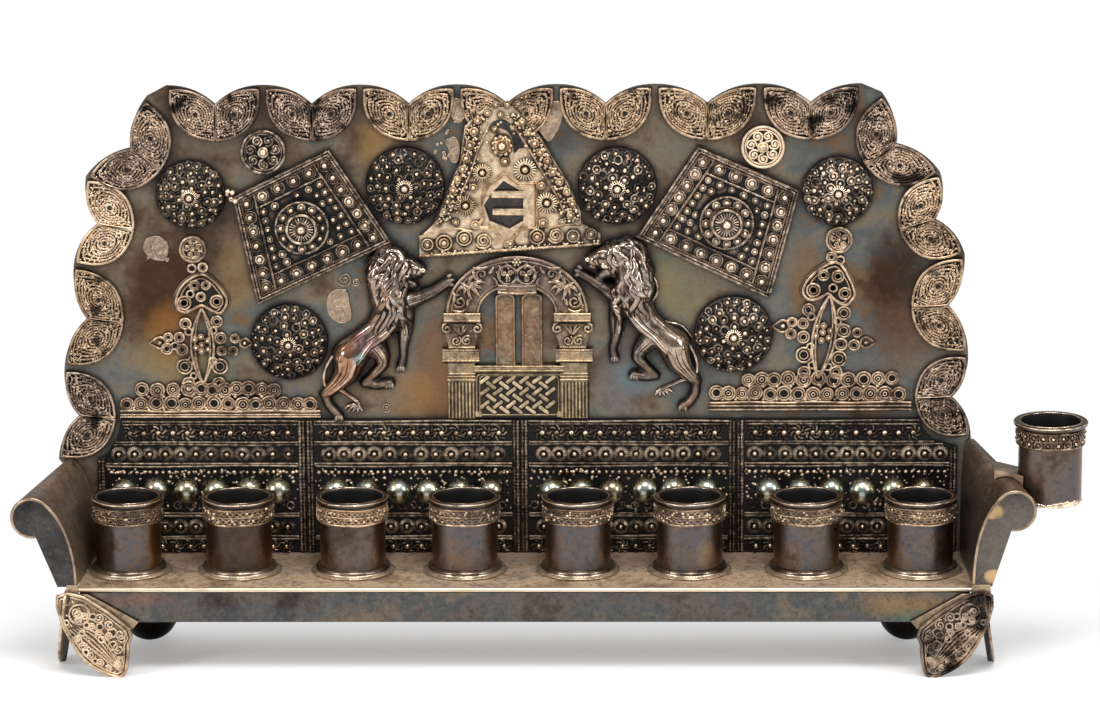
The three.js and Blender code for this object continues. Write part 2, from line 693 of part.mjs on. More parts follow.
function halfRing([outerX, outerZ], [innerX, innerZ]) {
  const shape = new THREE.Shape();
  shape.moveTo(ARK_X + outerX, ARK_SPRING);
  shape.absellipse(ARK_X, ARK_SPRING, outerX, outerZ, 0, Math.PI, false, 0);
  shape.lineTo(ARK_X - innerX, ARK_SPRING);
  shape.absellipse(ARK_X, ARK_SPRING, innerX, innerZ, Math.PI, 0, true, 0);
  return shape;
}

function arkColumn(side) {
  const at = (offset) => ARK_X + side * offset;
  const span = ({ near, far, thick }, bottom, top) =>
    box(Math.min(at(near), at(far)), Math.max(at(near), at(far)), -thick, 0, bottom, top);
  const { shaft, slab, bell, abacus } = COLUMN;
  const bellShape = new THREE.Shape(
    points([
      [at(bell.nearBottom), bell.bottom], [at(bell.farBottom), bell.bottom],
      [at(bell.farTop), bell.top], [at(bell.nearTop), bell.top],
    ]),
  );
  return [
    span(shaft, ARK_BOTTOM, shaft.top),
    span(slab, slab.bottom, slab.top),
    plate(bellShape, bell.thick),
    span(abacus, abacus.bottom, abacus.top),
  ];
}

function tablet([x0, x1]) {
  const shape = new THREE.Shape();
  const radius = (x1 - x0) / 2;
  const spring = TABLETS.top - radius;
  shape.moveTo(x0, TABLETS.bottom);
  shape.lineTo(x1, TABLETS.bottom);
  shape.lineTo(x1, spring);
  shape.absarc((x0 + x1) / 2, spring, radius, 0, Math.PI, false);
  return plate(shape, TABLETS.thick);
}

function arkFront() {
  return join([
    plate(halfRing(ARCH_OUTER, ARCH_INNER), ARCH_THICK, 12),
    ...arkColumn(-1),
    ...arkColumn(1),
    box(GATE.left, GATE.right, -GATE.thick, 0, ARK_BOTTOM, GATE.top),
    box(GATE.left, GATE.right, -GATE_RAIL.thick, 0, GATE_RAIL.bottom, GATE_RAIL.top),
    ...TABLETS.edges.map(tablet),
    plate(new THREE.Shape(points(CROWN_OUTLINE)), CROWN_THICK),
  ]);
}

addPiece("ark_front", toGeometry(arkFront()), FINISH.relief, ORNAMENT_BACK);

// Lions: each limb is a tapered rod with round ends, given as x, z and radius at its two ends

const LEFT_LION = [
  [[-29, 89.6, 2.5], [-24.4, 87.6, 1.3]],
  [[-31.6, 89, 3.4], [-31.6, 82.5, 4.6]],
  [[-31.6, 82.5, 4.6], [-30, 75.8, 3.9]],
  [[-28.1, 80, 2.5], [-21.4, 83.2, 1.4]],
  [[-21.4, 83.2, 1.4], [-17.4, 84.8, 1]],
  [[-27.6, 76, 2.2], [-27.9, 71.5, 1.4]],
  [[-27.9, 71.5, 1.4], [-28.3, 64.4, 1.1]],
  [[-31.5, 76, 3.8], [-35, 71.4, 3.4]],
  [[-35, 71.4, 3.4], [-41, 67.2, 3.8]],
  [[-40.6, 66, 3.6], [-40.3, 62.6, 2.7]],
  [[-40.3, 62.6, 2.7], [-45.7, 58.6, 1.4]],
  [[-45.7, 58.6, 1.4], [-44.6, 54.6, 1.3]],
  [[-35, 70, 2.7], [-32.7, 65.5, 1.5]],
  [[-32.7, 65.5, 1.5], [-36.6, 61, 1.2]],
  [[-36.6, 61, 1.2], [-31.7, 60.4, 1.2]],
  [[-43, 58.8, 1], [-38.5, 55.6, 0.9]],
];
const RIGHT_LION = [
  [[19.3, 91, 2.8], [15.8, 90, 1.5]],
  [[19.2, 88.6, 2.2], [17.4, 87.2, 1.1]],
  [[23.6, 91, 3.4], [25, 85.6, 4.6]],
  [[25, 85.6, 4.6], [25.2, 80.2, 4]],
  [[20.4, 81.4, 2.2], [16.4, 84, 1.4]],
  [[16.4, 84, 1.4], [14.2, 85.3, 1]],
  [[21.4, 77.6, 2.2], [20.7, 71.8, 1.4]],
  [[20.7, 71.8, 1.4], [20.1, 67, 1.1]],
  [[26, 80, 4], [30, 73, 3.7]],
  [[30, 73, 3.7], [34.2, 69.4, 3.6]],
  [[33.5, 68.4, 3.6], [36.2, 63.9, 2.3]],
  [[36.2, 63.9, 2.3], [39, 61, 1.6]],
  [[39, 61, 1.6], [38.3, 56.4, 1.3]],
  [[38.3, 56.4, 1.3], [36.2, 55.6, 1.3]],
  [[27.7, 70, 2.7], [25.6, 66.8, 1.4]],
  [[25.6, 66.8, 1.4], [29.4, 62.8, 1.2]],
  [[29.4, 62.8, 1.2], [25.4, 62.5, 1.2]],
  [[36, 60.6, 1], [31, 59.2, 1]],
];

// A rod's axis lies in the plane y = 0. The profile rounds both its ends.
function rod([[x0, z0, r0], [x1, z1, r1]]) {
  const length = Math.hypot(x1 - x0, z1 - z0);
  const profile = [];
  for (let i = 0; i <= 2; i += 1) {
    const angle = -Math.PI / 2 + (Math.PI / 4) * i;
    profile.push([i === 0 ? 0 : r0 * Math.cos(angle), r0 * Math.sin(angle)]);
  }
  for (let i = 0; i <= 2; i += 1) {
    const angle = (Math.PI / 4) * i;
    profile.push([i === 2 ? 0 : r1 * Math.cos(angle), length + r1 * Math.sin(angle)]);
  }
  const geometry = new THREE.LatheGeometry(points(profile), ROD_SIDES);
  geometry.rotateY(Math.PI / ROD_SIDES);
  geometry.rotateX(Math.PI / 2);
  geometry.rotateY(Math.atan2(x1 - x0, z1 - z0));
  return geometry.translate(x0, 0, z0);
}

function lion(rods, cutters) {
  const flattened = join(rods.map(rod)).scale([1, LION_FLATTEN, 1]).translate([0, -LION_FORWARD, 0]);
  const front = toSolid(box(-BENCH_HALF, BENCH_HALF, -10, 0, PANEL_TOP, TOP_PEAK_Z));
  return mainBody(cutters.reduce((solid, cutter) => solid.subtract(cutter), flattened.intersect(front)));
}

// A plate's outline grown by the gap, as a block that keeps a lion off its neighbour.
function keepOff(outline) {
  const centre = new THREE.Box2().setFromPoints(points(outline)).getCenter(new THREE.Vector2());
  const grown = points(outline).map((p) => {
    const away = p.clone().sub(centre);
    return p.clone().addScaledVector(away.normalize(), 2 * GAP);
  });
  const shape = new THREE.Shape(THREE.ShapeUtils.area(grown) < 0 ? grown.reverse() : grown);
  return toSolid(plate(shape, 12).translate(0, 1, 0));
}

const lionCutters = [keepOff(PLAQUES.left.corners), keepOff(PLAQUES.right.corners), keepOff(GABLE_OUTLINE)];
addPiece("lion_left", lion(LEFT_LION, lionCutters), FINISH.relief, ORNAMENT_BACK);
addPiece("lion_right", lion(RIGHT_LION, lionCutters), FINISH.relief, ORNAMENT_BACK);

// The origin goes to the bottom centre of the whole lamp's box.
const whole = new THREE.Box3().setFromObject(lamp);
const centre = whole.getCenter(new THREE.Vector3());
lamp.position.set(-centre.x, -centre.y, -whole.min.z);

const part = new THREE.Group();
part.add(lamp);

export default part;
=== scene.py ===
"""The looks of a bench-type hanukkah lamp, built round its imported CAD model.

Sizes are millimetres in the drawn frame of the lamp: x to the right, y towards the back, z up from the
table. Work that is laid on a plate is drawn as x, z and a height w out of that plate. A piece becomes
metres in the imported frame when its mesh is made.
"""

import json
import logging
import math
from collections.abc import Sequence
from dataclasses import dataclass, field
from enum import Enum

import bmesh
import bpy
import numpy as np
from mathutils import Matrix, Vector
from mathutils.bvhtree import BVHTree
from mathutils.kdtree import KDTree

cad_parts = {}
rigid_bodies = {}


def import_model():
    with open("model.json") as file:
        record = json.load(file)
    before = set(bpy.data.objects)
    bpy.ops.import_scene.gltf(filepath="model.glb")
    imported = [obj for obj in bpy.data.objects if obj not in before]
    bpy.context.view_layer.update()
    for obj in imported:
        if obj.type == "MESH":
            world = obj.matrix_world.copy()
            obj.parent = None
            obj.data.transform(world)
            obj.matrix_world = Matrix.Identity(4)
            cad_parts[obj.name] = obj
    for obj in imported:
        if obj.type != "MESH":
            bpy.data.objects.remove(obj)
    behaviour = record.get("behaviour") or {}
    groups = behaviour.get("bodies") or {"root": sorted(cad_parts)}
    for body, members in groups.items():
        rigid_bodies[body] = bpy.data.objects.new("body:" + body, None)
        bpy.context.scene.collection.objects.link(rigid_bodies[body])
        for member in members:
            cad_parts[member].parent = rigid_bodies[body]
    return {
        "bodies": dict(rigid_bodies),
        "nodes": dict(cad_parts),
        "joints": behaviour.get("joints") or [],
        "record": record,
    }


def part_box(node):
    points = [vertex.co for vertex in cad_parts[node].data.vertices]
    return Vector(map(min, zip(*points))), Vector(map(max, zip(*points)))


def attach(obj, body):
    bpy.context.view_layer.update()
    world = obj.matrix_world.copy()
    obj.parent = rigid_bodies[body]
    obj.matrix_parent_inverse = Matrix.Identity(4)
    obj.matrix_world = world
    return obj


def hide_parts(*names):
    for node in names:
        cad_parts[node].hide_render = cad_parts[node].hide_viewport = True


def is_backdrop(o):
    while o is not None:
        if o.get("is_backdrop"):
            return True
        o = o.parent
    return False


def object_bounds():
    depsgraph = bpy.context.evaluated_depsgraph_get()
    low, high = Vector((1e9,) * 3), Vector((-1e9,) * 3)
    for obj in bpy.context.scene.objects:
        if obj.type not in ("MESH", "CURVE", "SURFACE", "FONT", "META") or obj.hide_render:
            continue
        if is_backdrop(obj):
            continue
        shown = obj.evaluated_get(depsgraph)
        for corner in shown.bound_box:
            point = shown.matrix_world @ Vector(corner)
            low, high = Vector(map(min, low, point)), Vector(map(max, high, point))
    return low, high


LOG = logging.getLogger("lamp")
MM = 0.001
TAU = 2 * math.pi

# Planes of the drawn frame
ORNAMENT_Y = 29.7
BENCH_TOP = 20.5
BENCH_HALF = 101.0
BENCH_BOTTOM = 12.3
PANEL_TOP = 52.4

# The clearance between neighbouring pieces, and the angle in degrees that keeps the edges of sheets sharp
GAP = 0.3
SHEET_CREASE = 50.0

# Marks of wires painted as shade and as highlights until they are swept, and the height and tone that the painted
# highlights then get
PAINTED_SHADE_MARK = -1.0
PAINTED_HIGHLIGHT_MARK = 2.0
PAINTED_HIGHLIGHT_HEIGHT = 9.0
PAINTED_HIGHLIGHT_TONE = 0.62

# Sizes in millimetres of the noises that all finishes share
FINE_SIZE = 0.7
FLECK_SIZE = 1.5
DENT_SIZE = 14.0
STIR_SIZES = (12.0, 10.0)

Colour = tuple[float, float, float, float]
Screen = tuple[int, int, int]
Pair = tuple[float, float]
Round = tuple[float, float, float]


def shade(red: int, green: int, blue: int) -> Colour:
    """Turns a screen colour into the linear colour that a shader takes.

    Args:
        red: 0 to 255.
        green: 0 to 255.
        blue: 0 to 255.

    Returns:
        Linear red, green and blue, and an alpha of 1.
    """
    parts = [channel / 255 for channel in (red, green, blue)]
    linear = [p / 12.92 if p <= 0.04045 else ((p + 0.055) / 1.055) ** 2.4 for p in parts]
    return (*linear, 1.0)


# Shader maths


class Value:
    """A shader socket that Python arithmetic turns into Math nodes."""

    def __init__(self, socket: bpy.types.NodeSocket) -> None:
        """Wraps one output socket."""
        self.socket = socket

    def maths(self, operation: str, *terms: "Value | float") -> "Value":
        """Adds one Math node.

        Args:
            operation: The Math node's operation.
            terms: Its inputs in order.

        Returns:
            The node's result.
        """
        node = self.socket.id_data.nodes.new("ShaderNodeMath")
        node.operation = operation
        for slot, term in zip(node.inputs, terms):
            if isinstance(term, Value):
                self.socket.id_data.links.new(term.socket, slot)
            else:
                slot.default_value = term
        return Value(node.outputs[0])

    def __add__(self, other: "Value | float") -> "Value":
        """self + other."""
        return self.maths("ADD", self, other)

    __radd__ = __add__

    def __mul__(self, other: "Value | float") -> "Value":
        """self * other."""
        return self.maths("MULTIPLY", self, other)

    __rmul__ = __mul__

    def __sub__(self, other: "Value | float") -> "Value":
        """self - other."""
        return self.maths("SUBTRACT", self, other)

    def __rsub__(self, other: "Value | float") -> "Value":
        """other - self."""
        return self.maths("SUBTRACT", other, self)

    def __truediv__(self, other: "Value | float") -> "Value":
        """self / other."""
        return self.maths("DIVIDE", self, other)

    def __pow__(self, other: "Value | float") -> "Value":
        """self ** other."""
        return self.maths("POWER", self, other)

    def over(self, low: float, high: float) -> "Value":
        """Rises smoothly from 0 at low to 1 at high.

        Args:
            low: Where the result is 0.
            high: Where the result is 1; it may be below low.

        Returns:
            The smooth step.
        """
        node = self.socket.id_data.nodes.new("ShaderNodeMapRange")
        node.interpolation_type = "SMOOTHSTEP"
        self.socket.id_data.links.new(self.socket, node.inputs["Value"])
        node.inputs["From Min"].default_value = low
        node.inputs["From Max"].default_value = high
        return Value(node.outputs["Result"])


class Surface:
    """One material under construction."""

    def __init__(self, name: str) -> None:
        """Starts a material with only its shader and its output.

        Args:
            name: The material's name.
        """
        self.material = bpy.data.materials.new(name)
        self.material.use_nodes = True
        self.tree = self.material.node_tree
        self.shader = self.tree.nodes["Principled BSDF"]
        self.millimetres = self.node(
            "ShaderNodeVectorMath",
            {"operation": "SCALE"},
            {"Vector": self.node("ShaderNodeTexCoord").outputs["Object"], "Scale": 1 / MM},
        ).outputs["Vector"]

    def node(
        self,
        kind: str,
        settings: dict[str, object] | None = None,
        sockets: dict[str | int, object] | None = None,
    ) -> bpy.types.Node:
        """Adds any node.

        Args:
            kind: The node's type.
            settings: Its properties, which are set first.
            sockets: The values or links of its inputs, by name or number.

        Returns:
            The new node.
        """
        node = self.tree.nodes.new(kind)
        for key, value in (settings or {}).items():
            setattr(node, key, value)
        for key, value in (sockets or {}).items():
            self.feed(node.inputs[key], value)
        return node

    def feed(self, slot: bpy.types.NodeSocket, value: object) -> None:
        """Links a socket or a Value to an input, or sets the input's own number or colour.

        Args:
            slot: The input.
            value: A socket, a Value, a number or a colour.
        """
        if isinstance(value, Value):
            value = value.socket
        if isinstance(value, bpy.types.NodeSocket):
            self.tree.links.new(value, slot)
        else:
            slot.default_value = value

    def noise(self, size: float, detail: float = 4, rough: float = 0.55, seed: float = 0, warp: float = 0) -> Value:
        """Cloudy noise over the piece.

        Args:
            size: The size of its larger patches in millimetres.
            detail: The number of finer layers.
            rough: How strong the finer layers are.
            seed: Moves the pattern, so that two finishes differ.
            warp: How far the pattern is stirred.

        Returns:
            A value round 0.5.
        """
        moved = self.node(
            "ShaderNodeVectorMath",
            {"operation": "ADD"},
            {0: self.millimetres, 1: (seed * 37.1, seed * 11.7, seed * 23.3)},
        )
        sockets = {"Vector": moved.outputs[0], "Scale": 1 / size, "Detail": detail}
        sockets |= {"Roughness": rough, "Distortion": warp}
        return Value(self.node("ShaderNodeTexNoise", None, sockets).outputs[0])

    def ramp(self, value: Value, stops: Sequence[tuple[float, Screen]]) -> bpy.types.NodeSocket:
        """Colours along a value.

        Args:
            value: Where to read the ramp.
            stops: Positions and screen colours in order.

        Returns:
            The colour socket.
        """
        node = self.node("ShaderNodeValToRGB", None, {"Fac": value})
        elements = node.color_ramp.elements
        while len(elements) < len(stops):
            elements.new(0.5)
        for element, (position, colour) in zip(elements, stops):
            element.position = position
            element.color = shade(*colour)
        return node.outputs["Color"]

    def mix(self, factor: Value | float, low: object, high: object) -> bpy.types.NodeSocket:
        """Mixes two colours.

        Args:
            factor: 0 for low, 1 for high.
            low: A colour or its socket.
            high: A colour or its socket.

        Returns:
            The mixed colour's socket.
        """
        node = self.node("ShaderNodeMix", {"data_type": "RGBA", "clamp_factor": True})
        self.feed(node.inputs[0], factor)
        self.feed(node.inputs[6], low)
        self.feed(node.inputs[7], high)
        return node.outputs[2]

    def attribute(self, name: str) -> Value:
        """A value stored on the piece's points."""
        return Value(self.node("ShaderNodeAttribute", {"attribute_name": name}).outputs["Fac"])

    def axis(self, index: int) -> Value:
        """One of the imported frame's coordinates in millimetres: 0 for x, 1 for y, 2 for z."""
        split = self.node("ShaderNodeSeparateXYZ", None, {0: self.millimetres})
        return Value(split.outputs[index])

    def bump(self, height: Value, depth: float, strength: float = 1.0) -> None:
        """Feeds a bump of this depth in millimetres to the shader's normal.

        Args:
            height: The relief, in parts of depth.
            depth: Its depth in millimetres.
            strength: How far it turns the normal.
        """
        sockets = {"Height": height, "Distance": depth * MM, "Strength": strength}
        node = self.node("ShaderNodeBump", None, sockets)
        self.feed(self.shader.inputs["Normal"], node.outputs["Normal"])


# Finishes


@dataclass(frozen=True)
class Stain:
    """A placed patch of another colour, round a point of the drawn frame.

    Attributes:
        x: The point's x.
        z: The point's z.
        half_width: How far it reaches to each side.
        half_height: How far it reaches up and down.
        colour: Its colour.
        strength: How much it covers.
        edge: How soft its edge is, from 0 to 1.
        roughness: How much rougher it is than what it covers.
    """

    x: float
    z: float
    half_width: float
    half_height: float
    colour: Screen
    strength: float = 1.0
    edge: float = 0.5
    roughness: float = 0.0


@dataclass(frozen=True)
class SilverFinish:
    """Tarnished silver: clouds of colour, hollows darkened by tarnish and painted shade, rubbed high places and placed
    stains.

    Attributes:
        name: The material's name.
        slot: The record's material slot; not used.
        clouds: Colours of the tarnish, from one end of its noise to the other.
        hollow_shade_and_tarnish: The colour between wires and in corners, tarnish with painted shade; dark specks and
            patches use it too.
        rubbed: The colour of the high places.
        cloud_size: Size of the tarnish patches in millimetres.
        roughness: Lowest and highest roughness.
        metallic: How metallic the clean places are.
        heights: Heights above the ground between which the tarnish and painted shade of the hollows end; none on plain
            sheet.
        rub: How much of the rubbed colour the high places get.
        blotch: How strongly dark patches lie over raised work.
        grain: Depth of the fine bump in millimetres.
        dents: Depth of the slow waves of the sheet in millimetres.
        fleck: How strong the fine dark and pale specks are.
        stains: Placed patches.
        seed: Moves every pattern.
    """

    name: str
    slot: str
    clouds: tuple[tuple[float, Screen], ...]
    hollow_shade_and_tarnish: Screen = (18, 15, 13)
    rubbed: Screen = (196, 172, 140)
    cloud_size: float = 22.0
    roughness: tuple[float, float] = (0.3, 0.5)
    metallic: float = 0.95
    heights: Pair | None = None
    rub: float = 0.6
    blotch: float = 0.0
    grain: float = 0.02
    dents: float = 0.0
    fleck: float = 0.0
    stains: tuple[Stain, ...] = ()
    seed: float = 0.0

    def build(self, shift: Vector) -> bpy.types.Material:
        """Makes the material.

        Args:
            shift: The drawn frame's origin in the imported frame, in millimetres.

        Returns:
            The finished material.
        """
        surface = Surface(self.name)
        hollow_shade_and_tarnish, rubbed = shade(*self.hollow_shade_and_tarnish), shade(*self.rubbed)
        clouds = surface.noise(self.cloud_size, 5, 0.55, self.seed, 0.6)
        mottle = surface.noise(self.cloud_size / 7, 5, 0.6, self.seed + 1)
        fine = surface.noise(FINE_SIZE, 4, 0.6, self.seed + 2)
        colour = surface.ramp((clouds * 0.75 + mottle * 0.25).over(0.3, 0.7), self.clouds)
        smoothest, spread = self.roughness[0], self.roughness[1] - self.roughness[0]
        roughness = mottle * spread * 1.6 + (smoothest - 0.3 * spread)
        metallic: Value | float = self.metallic
        colour, roughness = self._stained(surface, colour, roughness, shift)
        if self.fleck:
            speck = surface.noise(FLECK_SIZE, 6, 0.8, self.seed + 7, 0.8)
            colour = surface.mix(speck.over(0.5, 0.62) * self.fleck, colour, hollow_shade_and_tarnish)
            colour = surface.mix(speck.over(0.48, 0.36) * (self.fleck * 0.5), colour, rubbed)
            roughness = roughness + (speck - 0.5) * (self.fleck * 0.3)
        if self.heights:
            height = surface.attribute("height")
            tone = surface.attribute("tone")
            # Painted shade and tarnish: points low above their ground take the colour of the hollows.
            raised = height.over(*self.heights)
            worn = (tone * 1.2 - 0.35 + (mottle - 0.5) * 1.4).over(0.1, 0.9) * self.rub
            colour = surface.mix(worn, colour, rubbed)
            if self.blotch:
                dark = surface.noise(self.cloud_size / 3, 4, 0.6, self.seed + 3).over(0.52, 0.66)
                colour = surface.mix(dark * self.blotch, colour, hollow_shade_and_tarnish)
            colour = surface.mix(raised, hollow_shade_and_tarnish, colour)
            metallic = raised * 0.45 + (self.metallic - 0.45)
            roughness = roughness + (1 - raised) * 0.25
        surface.feed(surface.shader.inputs["Base Color"], colour)
        surface.feed(surface.shader.inputs["Metallic"], metallic)
        surface.feed(surface.shader.inputs["Roughness"], roughness)
        relief = fine * self.grain
        if self.dents:
            relief = relief + surface.noise(DENT_SIZE, 2, 0.5, self.seed + 4) * self.dents
        surface.bump(relief, 1.0)
        return surface.material

    def _stained(
        self, surface: Surface, colour: bpy.types.NodeSocket, roughness: Value, shift: Vector
    ) -> tuple[bpy.types.NodeSocket, Value]:
        """Lays the placed stains over the clouds.

        Args:
            surface: The material under construction.
            colour: The colour so far.
            roughness: The roughness so far.
            shift: The drawn frame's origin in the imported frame.

        Returns:
            The new colour and roughness.
        """
        if not self.stains:
            return colour, roughness
        stir = surface.noise(STIR_SIZES[0], 5, 0.62, self.seed + 5)
        stir_up = surface.noise(STIR_SIZES[1], 5, 0.62, self.seed + 6)
        across = surface.axis(0) - shift.x
        up = surface.axis(2) - shift.z
        for stain in self.stains:
            dx = (across - stain.x) / stain.half_width + (stir - 0.5) * 1.3
            dz = (up - stain.z) / stain.half_height + (stir_up - 0.5) * 1.3
            inside = (dx * dx + dz * dz).over(1.0 + stain.edge, 1.0 - stain.edge) * stain.strength
            colour = surface.mix(inside, colour, shade(*stain.colour))
            if stain.roughness:
                roughness = roughness + inside * stain.roughness
        return colour, roughness


BACKPLATE_STAINS = (
    Stain(-83, 82, 9, 14, (62, 40, 24), 0.95, 0.8),
    Stain(-80, 72, 7, 7, (128, 88, 46), 0.8, 0.9),
    Stain(-71, 66, 5, 9, (96, 108, 96), 0.5, 0.9),
    Stain(-58, 84, 4, 8, (112, 120, 106), 0.6, 0.9),
    Stain(33, 70, 8, 8, (84, 100, 104), 0.6, 0.9),
    Stain(36, 82, 6, 8, (124, 112, 82), 0.6, 0.9),
    Stain(-20, 66, 5, 12, (108, 76, 50), 0.7, 0.9),
    Stain(-80, 66, 10, 6, (136, 116, 76), 0.6, 0.95),
    Stain(86, 84, 8, 14, (50, 34, 25), 0.92, 0.95),
    Stain(87, 72, 8, 8, (98, 72, 52), 0.6, 0.95),
    Stain(64, 84, 4, 9, (120, 90, 54), 0.6, 0.95),
    Stain(-66, 86, 4, 9, (124, 98, 62), 0.6, 0.95),
    Stain(-33, 117, 5, 6, (154, 120, 78), 0.6, 0.95),
    Stain(-70, 118, 9, 4, (122, 110, 98), 0.5, 0.95),
    Stain(-33, 73, 6, 12, (152, 122, 88), 0.5, 0.95),
    Stain(-21, 62, 5, 10, (120, 90, 66), 0.6, 0.95),
    Stain(21, 62, 5, 10, (104, 106, 106), 0.6, 0.95),
    Stain(45, 88, 8, 5, (104, 92, 80), 0.5, 0.95),
    Stain(5, 120, 12, 5, (62, 52, 46), 0.5, 0.95),
    Stain(26, 62, 5, 4, (92, 116, 124), 0.6, 0.9),
    Stain(31, 84, 5, 6, (128, 118, 88), 0.5, 0.9),
    Stain(-26, 58, 5, 5, (144, 104, 62), 0.5, 0.9),
)


class Finish(Enum):
    """The lamp's finishes."""

    BACKPLATE = SilverFinish(
        "tarnished_sheet", "sheet",
        (
            (0.0, (54, 41, 32)), (0.22, (92, 76, 62)), (0.42, (116, 104, 88)), (0.6, (104, 102, 94)),
            (0.76, (88, 92, 92)), (0.9, (112, 86, 60)), (1.0, (66, 52, 42)),
        ),
        hollow_shade_and_tarnish=(42, 34, 29), rubbed=(150, 130, 108), cloud_size=30, roughness=(0.3, 0.42), metallic=0.9,
        heights=(-0.1, 0.85), rub=0.2, grain=0.012, dents=0.35, fleck=0.16, stains=BACKPLATE_STAINS, seed=1,
    )
    SOLDER = SilverFinish(
        "solder", "sheet",
        ((0.0, (96, 82, 72)), (0.5, (146, 126, 110)), (1.0, (176, 150, 124))),
        rubbed=(206, 184, 160), cloud_size=6, heights=(-1.2, -0.2), rub=0.5, grain=0.05, seed=23,
    )
    BENCH = SilverFinish(
        "bench_sheet", "bench",
        ((0.0, (120, 96, 76)), (0.4, (190, 162, 134)), (0.75, (178, 156, 134)), (1.0, (126, 104, 86))),
        hollow_shade_and_tarnish=(74, 56, 42), rubbed=(214, 190, 160), cloud_size=14, roughness=(0.4, 0.55), metallic=0.4,
        grain=0.05, dents=0.35, fleck=0.75, seed=2,
    )
    NOSE = SilverFinish(
        "polished_edge", "bench",
        ((0.0, (176, 152, 124)), (0.5, (232, 214, 190)), (1.0, (206, 182, 150))),
        cloud_size=30, roughness=(0.25, 0.4), grain=0.01, seed=20,
    )
    APRON = SilverFinish(
        "apron_sheet", "sheet",
        ((0.0, (52, 46, 42)), (0.35, (94, 86, 80)), (0.6, (78, 82, 82)), (1.0, (122, 104, 86))),
        hollow_shade_and_tarnish=(34, 28, 25), rubbed=(150, 134, 118), cloud_size=20, roughness=(0.26, 0.38), grain=0.012,
        dents=0.3, fleck=0.34,
        stains=(
            Stain(84, 16, 9, 2.5, (132, 106, 70), 0.6, 0.95), Stain(88, 13.5, 5, 1.5, (84, 108, 92), 0.5, 0.95),
            Stain(-88, 17.5, 9, 1.5, (120, 86, 78), 0.5, 0.95), Stain(-60, 14, 14, 2, (78, 84, 88), 0.5, 0.95),
        ),
        seed=3,
    )
    ARM = SilverFinish(
        "arm_sheet", "sheet",
        ((0.0, (82, 64, 50)), (0.4, (130, 110, 92)), (0.7, (118, 104, 94)), (1.0, (150, 124, 98))),
        hollow_shade_and_tarnish=(44, 34, 28), cloud_size=14, roughness=(0.3, 0.45), metallic=0.7, grain=0.012, dents=0.25, fleck=0.45,
        stains=(Stain(104, 32, 12, 14, (58, 46, 38), 0.8, 0.9), Stain(112, 41, 4, 3, (150, 118, 82), 0.6, 0.9)),
        seed=4,
    )
    DARK_SHEET = SilverFinish(
        "dark_sheet", "sheet",
        ((0.0, (50, 46, 46)), (0.5, (70, 68, 68)), (1.0, (84, 77, 72))),
        hollow_shade_and_tarnish=(34, 30, 28), rubbed=(150, 140, 130), cloud_size=12, roughness=(0.3, 0.45), grain=0.012,
        dents=0.1, fleck=0.3,
        stains=(
            Stain(109, 31, 9, 14, (104, 96, 89), 0.9, 0.6), Stain(104.8, 38.5, 2.6, 1.8, (206, 170, 120), 0.8, 0.5),
            Stain(105.8, 23, 2.2, 1.6, (206, 170, 120), 0.8, 0.5),
        ),
        seed=5,
    )
    RIM = SilverFinish(
        "arm_rim", "gilt",
        ((0.0, (116, 96, 80)), (0.5, (164, 140, 116)), (1.0, (200, 174, 146))),
        cloud_size=9, roughness=(0.25, 0.4), grain=0.015, fleck=0.3, seed=21,
    )
    CUP = SilverFinish(
        "cup_silver", "cup",
        ((0.0, (66, 53, 44)), (0.35, (100, 88, 80)), (0.65, (88, 86, 88)), (1.0, (110, 88, 70))),
        hollow_shade_and_tarnish=(14, 12, 11), rubbed=(112, 78, 46), cloud_size=11, roughness=(0.24, 0.38),
        heights=(0.2, 0.8), rub=0.75, grain=0.008, dents=0.03, fleck=0.3,
        stains=(
            Stain(-65, 28, 7, 10, (62, 50, 42), 0.8, 0.6), Stain(-41, 31, 3, 3.4, (58, 50, 42), 0.7, 0.7),
            Stain(-84, 30, 1.6, 8, (128, 102, 58), 0.6, 0.9), Stain(41, 26, 2, 3, (132, 108, 84), 0.6, 0.8),
        ),
        seed=6,
    )
    FLANGE = SilverFinish(
        "cup_foot", "gilt",
        ((0.0, (70, 58, 50)), (0.4, (112, 96, 84)), (0.75, (140, 122, 106)), (1.0, (92, 80, 72))),
        rubbed=(244, 222, 192), cloud_size=11, roughness=(0.18, 0.3), metallic=0.9, heights=(-1.2, -0.6), rub=0.95,
        grain=0.03, fleck=0.25, seed=22,
    )
    COLLAR = SilverFinish(
        "cup_collar", "cup",
        ((0.0, (72, 58, 48)), (0.5, (134, 110, 88)), (1.0, (198, 166, 132))),
        hollow_shade_and_tarnish=(26, 19, 16), rubbed=(246, 222, 192), cloud_size=8, roughness=(0.22, 0.38),
        heights=(0.1, 0.5), rub=0.95, fleck=0.4,
        stains=(
            Stain(-39.4, 34, 11, 6, (206, 170, 134), 0.7, 0.9), Stain(119, 52, 10, 6, (84, 68, 54), 0.8, 0.9),
        ),
        seed=7,
    )
    LEAF = SilverFinish(
        "leaf_filigree", "leaf",
        ((0.0, (82, 65, 54)), (0.4, (146, 120, 97)), (0.75, (184, 155, 124)), (1.0, (104, 86, 74))),
        hollow_shade_and_tarnish=(28, 22, 18), rubbed=(238, 212, 180), cloud_size=12, roughness=(0.3, 0.46),
        heights=(0.2, 0.95), rub=0.7, blotch=0.85, fleck=0.5,
        stains=(
            Stain(86, 108.6, 8, 8, (224, 196, 164), 0.9, 0.9), Stain(94, 85, 6, 7, (206, 178, 148), 0.55, 0.9),
        ),
        seed=9,
    )
